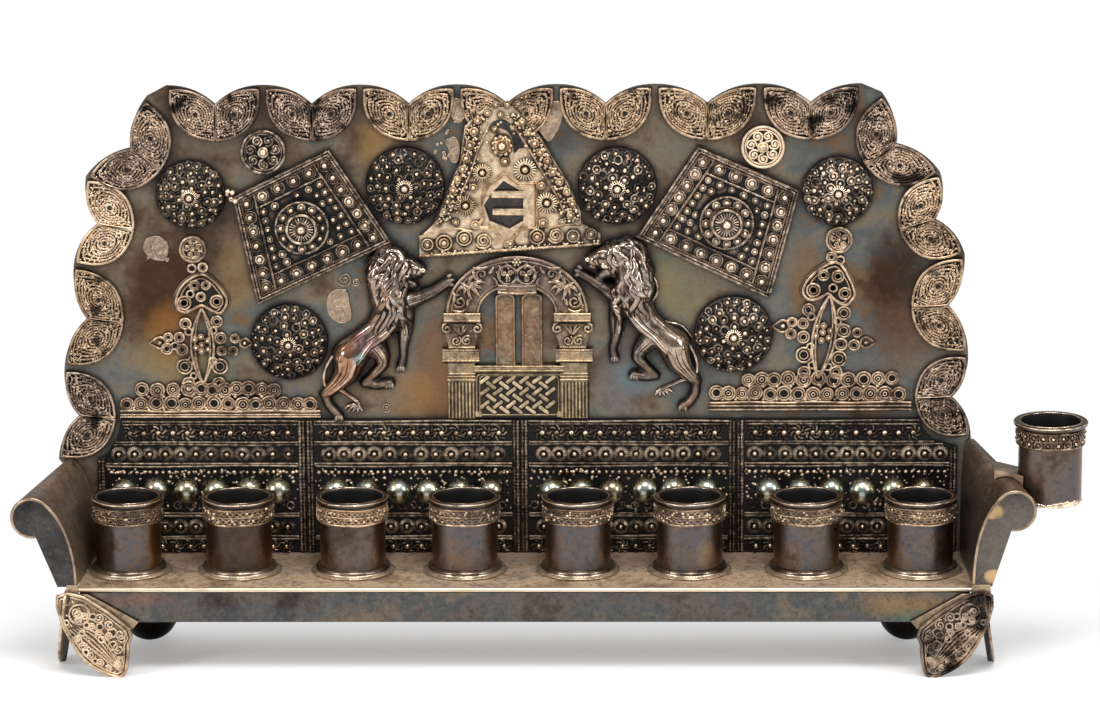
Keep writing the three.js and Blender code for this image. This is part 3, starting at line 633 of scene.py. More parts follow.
    PALE_LEAF = SilverFinish(
        "pale_leaf_filigree", "leaf",
        ((0.0, (130, 105, 84)), (0.4, (188, 160, 130)), (0.75, (210, 182, 150)), (1.0, (158, 132, 110))),
        hollow_shade_and_tarnish=(58, 45, 36), rubbed=(250, 230, 204), cloud_size=12, roughness=(0.3, 0.46),
        heights=(0.2, 0.9), rub=0.75, blotch=0.4, fleck=0.3,
        stains=(Stain(54.2, 115.9, 6.5, 6.5, (242, 216, 186), 0.95, 0.9),),
        seed=24,
    )
    DARK_LEAF = SilverFinish(
        "dark_leaf_filigree", "leaf",
        ((0.0, (80, 65, 56)), (0.4, (126, 106, 92)), (0.75, (174, 146, 122)), (1.0, (104, 87, 77))),
        hollow_shade_and_tarnish=(18, 15, 13), rubbed=(226, 202, 178), cloud_size=18, roughness=(0.26, 0.42),
        heights=(0.25, 0.95), rub=0.7, blotch=0.95, fleck=0.5,
        stains=(Stain(95.7, 52.5, 7, 9, (88, 72, 62), 0.85, 0.9),),
        seed=10,
    )
    FILIGREE = SilverFinish(
        "black_filigree", "filigree",
        ((0.0, (46, 38, 34)), (0.4, (74, 62, 54)), (0.7, (106, 88, 75)), (1.0, (70, 66, 64))),
        hollow_shade_and_tarnish=(10, 9, 8), rubbed=(244, 220, 194), cloud_size=9, roughness=(0.2, 0.38),
        heights=(0.5, 1.05), rub=0.95, seed=11,
    )
    DARK_FILIGREE = SilverFinish(
        "dark_filigree", "filigree",
        ((0.0, (38, 31, 28)), (0.4, (62, 52, 45)), (0.7, (90, 75, 63)), (1.0, (60, 55, 53))),
        hollow_shade_and_tarnish=(9, 8, 7), rubbed=(236, 210, 182), cloud_size=8, roughness=(0.18, 0.36),
        heights=(0.55, 1.15), rub=0.78, fleck=0.3,
        stains=(Stain(78, 36, 27, 24, (34, 29, 26), 0.8, 0.9),),
        seed=25,
    )
    WORN_FILIGREE = SilverFinish(
        "worn_filigree", "filigree",
        ((0.0, (66, 55, 48)), (0.4, (104, 88, 76)), (0.7, (140, 119, 102)), (1.0, (92, 84, 80))),
        hollow_shade_and_tarnish=(18, 15, 13), rubbed=(248, 226, 202), cloud_size=9, roughness=(0.2, 0.38),
        heights=(0.4, 1.0), rub=0.95, fleck=0.3, seed=26,
    )
    GILT = SilverFinish(
        "pale_gilt", "gilt",
        ((0.0, (112, 84, 60)), (0.4, (174, 143, 110)), (0.75, (202, 173, 137)), (1.0, (134, 107, 82))),
        hollow_shade_and_tarnish=(48, 32, 22), rubbed=(246, 226, 196), cloud_size=9, roughness=(0.26, 0.42),
        heights=(0.1, 1.3), rub=0.66, blotch=0.3, grain=0.05, fleck=0.5,
        stains=(
            Stain(14, 97.5, 5, 3.5, (76, 64, 54), 0.85, 0.7), Stain(-4, 126.5, 5, 2.5, (100, 84, 70), 0.7, 0.8),
            Stain(-18, 102.5, 2.6, 5, (84, 70, 60), 0.8, 0.8), Stain(-22.5, 92, 2.5, 2.5, (110, 88, 70), 0.6, 0.8),
        ),
        seed=12,
    )
    TREE = SilverFinish(
        "tree_filigree", "gilt",
        ((0.0, (98, 80, 66)), (0.4, (150, 124, 102)), (0.75, (190, 162, 134)), (1.0, (120, 100, 86))),
        hollow_shade_and_tarnish=(26, 21, 18), rubbed=(244, 218, 188), cloud_size=9, roughness=(0.26, 0.42),
        heights=(0.15, 0.66), rub=0.85, blotch=0.45, fleck=0.4, seed=13,
    )
    RELIEF = SilverFinish(
        "stamped_relief", "relief",
        ((0.0, (88, 68, 56)), (0.35, (130, 108, 90)), (0.6, (150, 130, 106)), (1.0, (172, 142, 104))),
        hollow_shade_and_tarnish=(20, 15, 13), rubbed=(240, 216, 180), cloud_size=8, roughness=(0.2, 0.36),
        heights=(0.3, 1.6), rub=0.75, blotch=0.25, fleck=0.35,
        stains=(
            Stain(-1.8, 88, 20, 7, (138, 119, 110), 0.7, 0.7), Stain(-1.5, 73, 6, 9, (150, 112, 84), 0.8, 0.6),
            Stain(-1.8, 58, 18, 7, (150, 134, 98), 0.5, 0.7),
        ),
        seed=14,
    )
    LION = SilverFinish(
        "lion_relief", "relief",
        (
            (0.0, (62, 50, 45)), (0.3, (108, 90, 80)), (0.55, (134, 122, 114)),
            (0.75, (142, 112, 88)), (1.0, (98, 84, 84)),
        ),
        hollow_shade_and_tarnish=(20, 16, 14), rubbed=(244, 228, 208), cloud_size=9, roughness=(0.14, 0.28),
        heights=(0.5, 2.9), rub=0.65, grain=0.01, fleck=0.25,
        stains=(
            Stain(-40, 66, 5, 6, (150, 96, 62), 0.75, 0.9), Stain(-36.5, 70.5, 3, 3, (124, 92, 104), 0.6, 0.9),
            Stain(-44, 58, 4, 4, (176, 122, 84), 0.7, 0.9), Stain(-33, 64, 3, 4, (176, 132, 98), 0.6, 0.9),
            Stain(-38, 67.5, 1.6, 1.4, (86, 128, 132), 0.7, 0.9), Stain(34, 67, 6, 8, (176, 152, 130), 0.6, 0.9),
            # The pale patch on the left lion's hanging foreleg, the second here, is a painted highlight.
            Stain(-25.4, 88, 3, 2.6, (176, 154, 140), 0.7, 0.9), Stain(-27.8, 70, 1.6, 5, (186, 168, 150), 0.6, 0.9),
            Stain(20.6, 73, 2, 6, (160, 140, 122), 0.6, 0.9), Stain(37.2, 56.4, 3, 3, (190, 144, 114), 0.7, 0.9),
            Stain(-44.6, 54.6, 3, 3, (196, 164, 140), 0.7, 0.9),
        ),
        seed=15,
    )
    BALL = SilverFinish(
        "bright_balls", "ball",
        ((0.0, (84, 76, 64)), (0.35, (168, 158, 130)), (0.65, (150, 164, 158)), (1.0, (222, 212, 176))),
        cloud_size=5, roughness=(0.2, 0.34), metallic=1.0, grain=0.006, seed=16,
    )
    BLACK_BALL = SilverFinish(
        "black_balls", "ball",
        ((0.0, (20, 18, 17)), (0.6, (38, 34, 31)), (1.0, (60, 52, 46))),
        cloud_size=8, roughness=(0.3, 0.45), metallic=0.8, grain=0.02, seed=17,
    )


class Wardrobe:
    """Makes each finish once and dresses pieces with it."""

    def __init__(self, shift: Vector) -> None:
        """Keeps the drawn frame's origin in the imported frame."""
        self.shift = shift
        self.made: dict[Finish, bpy.types.Material] = {}

    def dress(self, obj: bpy.types.Object, finish: Finish) -> bpy.types.Object:
        """Gives an object one finish.

        Args:
            obj: The object.
            finish: Its finish.

        Returns:
            The same object.
        """
        if finish not in self.made:
            self.made[finish] = finish.value.build(self.shift)
        obj.data.materials.clear()
        obj.data.materials.append(self.made[finish])
        return obj


# Meshes as patches that can be repeated, wrapped and joined


@dataclass
class Patch:
    """A mesh's points and faces, with two values on each point.

    Attributes:
        points: Coordinates, one row a point.
        corners: Point numbers of all faces in turn.
        starts: Where each face begins in corners.
        tone: How rubbed each point is, from 0 to 1; on cup bodies it also carries the painted shade of the sides.
        height: How high each point stands above its ground, in millimetres; lowered on plates for painted shade and
            dirt, and set on wires of painted shade and of painted highlights.
        smooth: Whether each face is shaded smooth.
    """

    points: np.ndarray
    corners: np.ndarray
    starts: np.ndarray
    tone: np.ndarray
    height: np.ndarray
    smooth: np.ndarray

    @classmethod
    def of_mesh(cls, mesh: bpy.types.Mesh, tone: float = 0.5, smooth: bool = True) -> "Patch":
        """Reads a mesh; a point's height is its third coordinate.

        Args:
            mesh: The mesh.
            tone: The tone of all its points.
            smooth: Whether its faces are shaded smooth.

        Returns:
            The patch.
        """
        points = np.empty(len(mesh.vertices) * 3)
        mesh.vertices.foreach_get("co", points)
        points = points.reshape(-1, 3)
        corners = np.empty(len(mesh.loops), int)
        mesh.loops.foreach_get("vertex_index", corners)
        starts = np.empty(len(mesh.polygons), int)
        mesh.polygons.foreach_get("loop_start", starts)
        soft = np.full(len(starts), smooth)
        return cls(points, corners, starts, np.full(len(points), tone), points[:, 2].copy(), soft)

    def repeated(self, places: Sequence[Matrix], tones: Sequence[float]) -> "Patch":
        """Copies the patch to many places.

        Args:
            places: One matrix a copy.
            tones: One tone a copy.

        Returns:
            All the copies as one patch.
        """
        grid = np.array([[list(row) for row in place] for place in places])
        points = np.einsum("kij,nj->kni", grid[:, :3, :3], self.points) + grid[:, None, :3, 3]
        steps = np.arange(len(places))[:, None]
        return Patch(
            points.reshape(-1, 3),
            (self.corners[None] + steps * len(self.points)).ravel(),
            (self.starts[None] + steps * len(self.corners)).ravel(),
            np.repeat(np.array(tones, float), len(self.points)),
            points[:, :, 2].ravel().copy(),
            np.tile(self.smooth, len(places)),
        )

    @classmethod
    def joined(cls, patches: Sequence["Patch"]) -> "Patch":
        """Puts patches together as one.

        Args:
            patches: The patches in order.

        Returns:
            One patch.
        """
        corner_shift = np.cumsum([0] + [len(p.points) for p in patches])
        start_shift = np.cumsum([0] + [len(p.corners) for p in patches])
        return cls(
            np.concatenate([p.points for p in patches]),
            np.concatenate([p.corners + s for p, s in zip(patches, corner_shift)]),
            np.concatenate([p.starts + s for p, s in zip(patches, start_shift)]),
            np.concatenate([p.tone for p in patches]),
            np.concatenate([p.height for p in patches]),
            np.concatenate([p.smooth for p in patches]),
        )

    def moved(self, matrix: Matrix) -> "Patch":
        """Moves the points and leaves tones and heights.

        Args:
            matrix: Where to.

        Returns:
            The same patch.
        """
        grid = np.array([list(row) for row in matrix])
        self.points = self.points @ grid[:3, :3].T + grid[:3, 3]
        return self

    def wrapped(self, x: float, y: float, radius: float) -> "Patch":
        """Wraps work drawn as length, z and height round an upright axis; length 0 comes to the front.

        Args:
            x: The axis's x.
            y: The axis's y.
            radius: How far from the axis height 0 comes.

        Returns:
            The same patch.
        """
        angle = self.points[:, 0] / radius
        reach = radius + self.points[:, 2]
        self.points = np.column_stack(
            [x + reach * np.sin(angle), y - reach * np.cos(angle), self.points[:, 1]]
        )
        return self

    def to_object(self, name: str, shift: Vector, crease: float = 0.0) -> bpy.types.Object:
        """Makes an object at the origin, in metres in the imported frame.

        Args:
            name: The object's name.
            shift: The drawn frame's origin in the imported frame, in millimetres.
            crease: The angle in degrees above which an edge stays sharp; 0 leaves none sharp.

        Returns:
            The object, linked to the scene.
        """
        mesh = bpy.data.meshes.new(name)
        mesh.vertices.add(len(self.points))
        mesh.vertices.foreach_set("co", ((self.points + np.array(shift)) * MM).ravel())
        mesh.loops.add(len(self.corners))
        mesh.polygons.add(len(self.starts))
        mesh.polygons.foreach_set("loop_start", self.starts)
        mesh.polygons.foreach_set("vertices", self.corners)
        mesh.polygons.foreach_set("use_smooth", self.smooth)
        mesh.update(calc_edges=True)
        mesh.validate()
        for key, values in (("tone", self.tone), ("height", self.height)):
            stored = mesh.attributes.new(key, "FLOAT", "POINT")
            stored.data.foreach_set("value", values.astype(np.float32))
        if crease:
            mesh.set_sharp_from_angle(angle=math.radians(crease))
        obj = bpy.data.objects.new(name, mesh)
        bpy.context.scene.collection.objects.link(obj)
        return obj


class GrimeAndShade:
    """A map of what stands on a plane; its blur says how much painted shade and dirt the ground beside it gets."""

    cell: float = 0.25

    def __init__(self, low: Pair, high: Pair) -> None:
        """Starts an empty map.

        Args:
            low: Its lowest x and z.
            high: Its highest x and z.
        """
        self.low = np.array(low)
        self.size = np.ceil((np.array(high) - self.low) / self.cell).astype(int) + 1
        self.cover = np.zeros(self.size)

    def add(self, across: np.ndarray, up: np.ndarray, height: np.ndarray) -> None:
        """Marks points; one that stands 1 mm high or more counts in full.

        Args:
            across: Their x.
            up: Their z.
            height: How high they stand in millimetres.
        """
        cells = ((np.column_stack([across, up]) - self.low) / self.cell).round().astype(int)
        cells = np.clip(cells, 0, self.size - 1)
        np.maximum.at(self.cover, (cells[:, 0], cells[:, 1]), np.clip(height, 0, 1))

    def at(self, across: np.ndarray, up: np.ndarray, reach: float, strength: float) -> np.ndarray:
        """How much painted shade and dirt the ground gets at points.

        Args:
            across: Their x.
            up: Their z.
            reach: How far the darkness spreads in millimetres.
            strength: How dark it is beside a straight edge, doubled.

        Returns:
            Values from 0 to 1.
        """
        fx, fz = (np.fft.fftfreq(int(n), self.cell) for n in self.size)
        spread = np.exp(-2 * (math.pi * reach) ** 2 * (fx[:, None] ** 2 + fz[None, :] ** 2))
        blurred = np.fft.ifft2(np.fft.fft2(self.cover) * spread).real
        cells = np.clip(((np.column_stack([across, up]) - self.low) / self.cell).round().astype(int), 0, self.size - 1)
        return np.clip(blurred[cells[:, 0], cells[:, 1]] * strength, 0, 1)


def dice(bm: bmesh.types.BMesh, pitch: float) -> None:
    """Cuts a flat mesh along a square grid, so that its faces can carry values that vary.

    Args:
        bm: The mesh.
        pitch: The size of the squares.
    """
    for axis in (0, 1):
        places = [vert.co[axis] for vert in bm.verts]
        for mark in np.arange(min(places) + pitch / 2, max(places), pitch):
            point, normal = Vector(), Vector()
            point[axis], normal[axis] = mark, 1
            bmesh.ops.bisect_plane(
                bm, geom=[*bm.verts, *bm.edges, *bm.faces], plane_co=point, plane_no=normal, dist=1e-5
            )


def mesh_of(bm: bmesh.types.BMesh) -> bpy.types.Mesh:
    """Turns a bmesh into a mesh and frees it.

    Args:
        bm: The mesh.

    Returns:
        The new mesh.
    """
    mesh = bpy.data.meshes.new("shape")
    bm.to_mesh(mesh)
    bm.free()
    return mesh


def baked(holder: bpy.types.Object) -> bpy.types.Mesh:
    """Links an object and gives the mesh that its curve or its modifiers make.

    Args:
        holder: The object, not linked yet.

    Returns:
        The evaluated mesh.
    """
    bpy.context.scene.collection.objects.link(holder)
    bpy.context.view_layer.update()
    return bpy.data.meshes.new_from_object(holder.evaluated_get(bpy.context.evaluated_depsgraph_get()))


def cut_level(bm: bmesh.types.BMesh, height: float, upwards: int) -> None:
    """Cuts a closed mesh at a level and closes it there.

    Args:
        bm: The mesh.
        height: The level.
        upwards: 1 keeps what lies above the level, -1 what lies below it.
    """
    cut = bmesh.ops.bisect_plane(
        bm, geom=[*bm.verts, *bm.edges, *bm.faces], plane_co=(0, 0, height), plane_no=(0, 0, upwards), clear_inner=True
    )
    rim = [item for item in cut["geom_cut"] if isinstance(item, bmesh.types.BMEdge)]
    bmesh.ops.holes_fill(bm, edges=rim)


def turned(profile: Sequence[Pair], steps: int = 56) -> bpy.types.Mesh:
    """Spins a profile of radius and height round the upright axis.

    Args:
        profile: Its points, from the axis round to the axis.
        steps: The number of faces round.

    Returns:
        The closed mesh.
    """
    bm = bmesh.new()
    verts = [bm.verts.new((radius, 0, z)) for radius, z in profile]
    edges = [bm.edges.new(pair) for pair in zip(verts, verts[1:])]
    bmesh.ops.spin(
        bm, geom=verts + edges, cent=(0, 0, 0), axis=(0, 0, 1), angle=TAU, steps=steps, use_merge=True
    )
    bmesh.ops.remove_doubles(bm, verts=bm.verts, dist=1e-4)
    bmesh.ops.recalc_face_normals(bm, faces=bm.faces)
    return mesh_of(bm)


# Paths on a plate

# The share of a scroll's radius that is gone at its inner end
SCROLL_IN = 0.86


def circle(x: float, z: float, radius: float, count: int = 24) -> list[Pair]:
    """Points round a circle.

    Args:
        x: The centre's x.
        z: The centre's z.
        radius: Its radius.
        count: The number of points.

    Returns:
        The points, without a repeat of the first one.
    """
    return [
        (x + radius * math.cos(TAU * i / count), z + radius * math.sin(TAU * i / count)) for i in range(count)
    ]


def arc(x: float, z: float, rx: float, rz: float, start: float, end: float, count: int = 16) -> list[Pair]:
    """Points along an arc of an ellipse, with its angles in degrees."""
    angles = [math.radians(start + (end - start) * i / count) for i in range(count + 1)]
    return [(x + rx * math.cos(a), z + rz * math.sin(a)) for a in angles]


def scroll(x: float, z: float, radius: float, start: float, turns: float, count: int = 22) -> list[Pair]:
    """Points of a spiral that winds inwards from its rim; negative turns wind clockwise.

    Args:
        x: The centre's x.
        z: The centre's z.
        radius: The radius at the rim.
        start: The angle at the rim in degrees.
        turns: How often it goes round.
        count: The number of steps.

    Returns:
        The points from the rim inwards.
    """
    path = []
    for i in range(count + 1):
        share = i / count
        angle = math.radians(start) + TAU * turns * share
        reach = radius * (1 - SCROLL_IN * share)
        path.append((x + reach * math.cos(angle), z + reach * math.sin(angle)))
    return path


def quadratic(start: Pair, control: Pair, end: Pair, count: int) -> list[Pair]:
    """Points of a quadratic curve, both ends counted."""
    weights = [((1 - t) ** 2, 2 * t * (1 - t), t * t) for t in np.linspace(0, 1, count + 1)]
    return [tuple(float(a * start[k] + b * control[k] + c * end[k]) for k in (0, 1)) for a, b, c in weights]


def bent(start: Pair, end: Pair, bulge: float, count: int = 10) -> list[Pair]:
    """Points of a curve whose middle stands off its chord to the left by bulge.

    Args:
        start: Where it starts.
        end: Where it ends.
        bulge: How far its middle stands off; below 0 it lies to the right.
        count: The number of steps.

    Returns:
        The points.
    """
    dx, dz = end[0] - start[0], end[1] - start[1]
    length = math.hypot(dx, dz) or 1.0
    nx, nz = -dz / length * 2 * bulge, dx / length * 2 * bulge
    return quadratic(start, ((start[0] + end[0]) / 2 + nx, (start[1] + end[1]) / 2 + nz), end, count)


def rounded(corners: Sequence[Pair], closed: bool = True, steps: int = 5) -> list[Pair]:
    """A smooth line through all the given points.

    Args:
        corners: The points.
        closed: Whether the line returns to its start.
        steps: The number of steps between two points.

    Returns:
        The line's points.
    """
    points = [np.array(c, float) for c in corners]
    count = len(points)
    path = []
    for i in range(count if closed else count - 1):
        if closed:
            p0, p1, p2, p3 = (points[(i + k) % count] for k in (-1, 0, 1, 2))
        else:
            p0, p1, p2, p3 = (points[min(max(i + k, 0), count - 1)] for k in (-1, 0, 1, 2))
        for s in range(steps):
            t = s / steps
            q = 0.5 * (2 * p1 + (p2 - p0) * t + (2 * p0 - 5 * p1 + 4 * p2 - p3) * t**2)
            q = q + 0.5 * (3 * p1 - 3 * p2 + p3 - p0) * t**3
            path.append((float(q[0]), float(q[1])))
    if not closed:
        path.append(tuple(map(float, points[-1])))
    return path


def evenly(path: Sequence[Sequence[float]], step: float, closed: bool) -> np.ndarray:
    """Points at an even distance along a path.

    Args:
        path: The path's own points.
        step: The distance wanted.
        closed: Whether the path returns to its start.

    Returns:
        The new points, without a repeat of the first one.
    """
    points = np.array(path, float)
    if closed:
        points = np.vstack([points, points[:1]])
    run = np.concatenate([[0], np.cumsum(np.linalg.norm(np.diff(points, axis=0), axis=1))])
    marks = np.linspace(0, run[-1], max(4, round(run[-1] / step) + 1))
    if closed:
        marks = marks[:-1]
    return np.stack([np.interp(marks, run, points[:, k]) for k in range(points.shape[1])], axis=1)


def side_steps(start: Pair, end: Pair, count: int) -> list[Pair]:
    """Evenly spaced points from start to end, both counted.

    Args:
        start: The first point.
        end: The last point.
        count: How many there are.

    Returns:
        The points.
    """
    return [
        (start[0] + (end[0] - start[0]) * i / (count - 1), start[1] + (end[1] - start[1]) * i / (count - 1))
        for i in range(count)
    ]


# Wire


class Draw(Enum):
    """How a wire is drawn and worked."""

    PLAIN = "plain"
    TWISTED = "twisted"
    BEADED = "beaded"
    TAPERED = "tapered"


class Section(Enum):
    """Cross-sections of wire, at a radius of 1."""

    ROUND = tuple((math.cos(TAU * i / 6), math.sin(TAU * i / 6)) for i in range(6))
    ROPE = ((1, 0), (0.3, 0.5), (-0.3, 0.5), (-1, 0), (-0.3, -0.5), (0.3, -0.5))


# Lengths of one turn and of one bead on wire whose radius is GAUGE, the steps of a turn and the radii along a bead
GAUGE = 0.33
ROPE_TURN = 1.15
BEAD_PITCH = 0.62
ROPE_STEPS = 6
BEAD = (1.0, 0.85, 0.55)

# The radius at the ends of a tapered wire, as a share of its greatest one
TAPER_END = 0.22


@dataclass
class Wire:
    """One wire along a path of x, z and height, with its radius, working and tone."""

    path: list[tuple[float, float, float]]
    radius: float
    draw: Draw
    closed: bool
    tone: float
    hand: int = 1

    @property
    def section(self) -> Section:
        """The wire's cross-section."""
        return Section.ROPE if self.draw is Draw.TWISTED else Section.ROUND

    def samples(self) -> tuple[np.ndarray, np.ndarray, np.ndarray]:
        """Points, radii and turns along the wire.

        Returns:
            The points, the radius at each and the turn of the section at each.
        """
        if self.draw is Draw.TWISTED:
            turn = ROPE_TURN * self.radius / GAUGE
            points = evenly(self.path, turn / ROPE_STEPS, self.closed)
            turns = max(1, round(len(points) / ROPE_STEPS))
            twist = self.hand * TAU * turns * np.arange(len(points)) / len(points)
            return points, np.full(len(points), self.radius), twist
        if self.draw is Draw.BEADED:
            points = evenly(self.path, BEAD_PITCH * self.radius / GAUGE / len(BEAD), self.closed)
            radii = self.radius * np.array(BEAD)[np.arange(len(points)) % len(BEAD)]
            return points, radii, np.zeros(len(points))
        points = np.array(self.path, float)
        radii = np.full(len(points), self.radius)
        if self.draw is Draw.TAPERED:
            share = np.linspace(0, 1, len(points))
            radii = self.radius * (TAPER_END + (1 - TAPER_END) * np.sin(np.pi * share**0.75) ** 0.8)
        return points, radii, np.zeros(len(points))


def add_outline(curve: bpy.types.Curve, outline: Sequence[Pair]) -> None:
    """Adds one closed flat line to a curve.

    Args:
        curve: The curve.
        outline: The line's points.
    """
    spline = curve.splines.new("POLY")
    spline.points.add(len(outline) - 1)
    for point, (x, y) in zip(spline.points, outline):
        point.co = (x, y, 0, 1)
    spline.use_cyclic_u = True


def section_curve(section: Section) -> bpy.types.Object:
    """A flat closed curve that the wires of one section are swept with.

    Args:
        section: The section.

    Returns:
        The curve's object, not linked.
    """
    curve = bpy.data.curves.new("section", "CURVE")
    add_outline(curve, section.value)
    return bpy.data.objects.new("section", curve)


def end_tones(wires: Sequence[Wire], points: np.ndarray) -> list[float]:
    """The tones of the points of the caps, each that of the nearest end of an open wire.

    Args:
        wires: All wires of one sweep.
        points: The points of their caps.

    Returns:
        One tone a point.
    """
    loose = [wire for wire in wires if not wire.closed]
    tree = KDTree(2 * len(loose))
    for i, wire in enumerate(loose):
        tree.insert(wire.path[0], i)
        tree.insert(wire.path[-1], i)
    tree.balance()
    return [loose[tree.find(point)[1]].tone for point in points]


def swept(wires: Sequence[Wire], section: Section) -> Patch:
    """Sweeps all wires of one section in one curve, whose mesh lists the caps of the open wires first.

    Args:
        wires: The wires, drawn as x, z and height.
        section: The section that they share.

    Returns:
        Their meshes as one patch.
    """
    profile = section_curve(section)
    curve = bpy.data.curves.new("wires", "CURVE")
    curve.dimensions = "3D"
    curve.twist_mode = "Z_UP"
    curve.bevel_mode = "OBJECT"
    curve.bevel_object = profile
    curve.use_fill_caps = True
    sides = len(section.value)
    tones = []
    for wire in wires:
        points, radii, twist = wire.samples()
        spline = curve.splines.new("POLY")
        spline.points.add(len(points) - 1)
        rows = np.column_stack([points, np.ones(len(points))])
        spline.points.foreach_set("co", rows.ravel())
        spline.points.foreach_set("radius", radii)
        spline.points.foreach_set("tilt", twist)
        spline.use_cyclic_u = wire.closed
        tones.append(np.full(len(points) * sides, wire.tone))
    holder = bpy.data.objects.new("wires", curve)
    mesh = baked(holder)
    patch = Patch.of_mesh(mesh)
    along = np.concatenate(tones)
    flat = np.concatenate([end_tones(wires, patch.points[: len(patch.points) - len(along)]), along])
    patch.tone = np.clip(flat, 0, 1)
    # Wires of painted shade drop to the height of the ground, and painted highlights get full height and a middle tone.
    patch.height[flat < 0] = 0
    patch.height[flat > 1] = PAINTED_HIGHLIGHT_HEIGHT
    patch.tone[flat > 1] = PAINTED_HIGHLIGHT_TONE
    for used in (holder, profile):
        data = used.data
        bpy.data.objects.remove(used)
        bpy.data.curves.remove(data)
    bpy.data.meshes.remove(mesh)
    return patch


# Small shapes that are repeated

# Granules of a smaller radius are made of fewer faces
FINE_GRAIN = 0.42


class Stamp(Enum):
    """Small shapes of unit size that filigree repeats."""

    GRANULE = "granule"
    GRAIN = "grain"
    BALL = "ball"
    RING = "ring"
    ROPE_RING = "rope ring"
    SPRING_RING = "spring ring"
    PINWHEEL = "pinwheel"
    TICKS = "ring of ticks"
    BAR = "bar"


class Stock:
    """Makes each repeated shape once, at a radius of 1."""

    def __init__(self) -> None:
        """Makes all the shapes."""
        self.shapes = {
            Stamp.GRANULE: self._ball(8, 5),
            Stamp.GRAIN: self._ball(6, 4),
            Stamp.BALL: self._ball(20, 12),
            Stamp.RING: self._ring(12, 0.3, Draw.PLAIN),
            Stamp.ROPE_RING: self._ring(14, 0.3, Draw.TWISTED),
            Stamp.SPRING_RING: self._ring(22, 0.3, Draw.BEADED),
            Stamp.PINWHEEL: self._pinwheel(),
            Stamp.TICKS: self._ticks(),
            Stamp.BAR: self._bar(),
        }

    @staticmethod
    def _ball(around: int, along: int) -> Patch:
        """A ball of few faces.

        Args:
            around: The number of faces round.
            along: The number of rings of faces.

        Returns:
            The ball.
        """
        bm = bmesh.new()
        bmesh.ops.create_uvsphere(bm, u_segments=around, v_segments=along, radius=1)
        return Patch.of_mesh(mesh_of(bm))

    @staticmethod
    def _ring(count: int, radius: float, draw: Draw) -> Patch:
        """A ring of wire, plain, twisted or like a closed spring.

        Args:
            count: The number of points round.
            radius: The wire's radius.
            draw: How it is worked.

        Returns:
            The ring.
        """
        path = [(math.cos(TAU * i / count), math.sin(TAU * i / count), 0.0) for i in range(count)]
        wire = Wire(path, radius, Draw.PLAIN, True, 0.5)
        patch = swept([wire], Section.ROUND)
        if draw is Draw.PLAIN:
            return patch
        angle = np.arctan2(patch.points[:, 1], patch.points[:, 0])
        step = np.round(angle / TAU * count)
        tall = np.where(step % 2 == 0, 1.0, 0.62 if draw is Draw.BEADED else 0.75)
        reach = np.hypot(patch.points[:, 0], patch.points[:, 1])
        away = 1 + (reach - 1) * tall
        patch.points[:, 0] *= away / reach
        patch.points[:, 1] *= away / reach
        patch.points[:, 2] *= tall
        return patch

    @staticmethod
    def _pinwheel() -> Patch:
        """Seven short curved strokes round an empty middle.

        Returns:
            The strokes.
        """
        wires = []
        for i in range(7):
            turn = TAU * i / 7
            path = []
            for k in range(4):
                reach = 0.5 + 0.17 * k
                angle = turn + 0.24 * k
                path.append((reach * math.cos(angle), reach * math.sin(angle), 0.0))
            wires.append(Wire(path, 0.15, Draw.PLAIN, False, 0.5))
        return swept(wires, Section.ROUND)

    @staticmethod
    def _ticks() -> Patch:
        """A milled collar: short straight strokes pointing outwards.

        Returns:
            The strokes.
        """
        wires = []
        for i in range(22):
            c, s = math.cos(TAU * i / 22), math.sin(TAU * i / 22)
            wires.append(Wire([(0.6 * c, 0.6 * s, 0.1), (c, s, -0.06)], 0.075, Draw.PLAIN, False, 0.5))
        return swept(wires, Section.ROUND)

    @staticmethod
    def _bar() -> Patch:
        """A raised bar with soft edges, two units long and a third as wide.

        Returns:
            The bar.
        """
        bm = bmesh.new()
        bmesh.ops.create_cube(bm, size=1, matrix=Matrix.Diagonal((2, 0.68, 0.6, 1)))
        bmesh.ops.bevel(
            bm, geom=list(bm.edges), offset=0.2, segments=2, profile=0.5, affect="EDGES", material=-1
        )
        return Patch.of_mesh(mesh_of(bm))


# Filigree


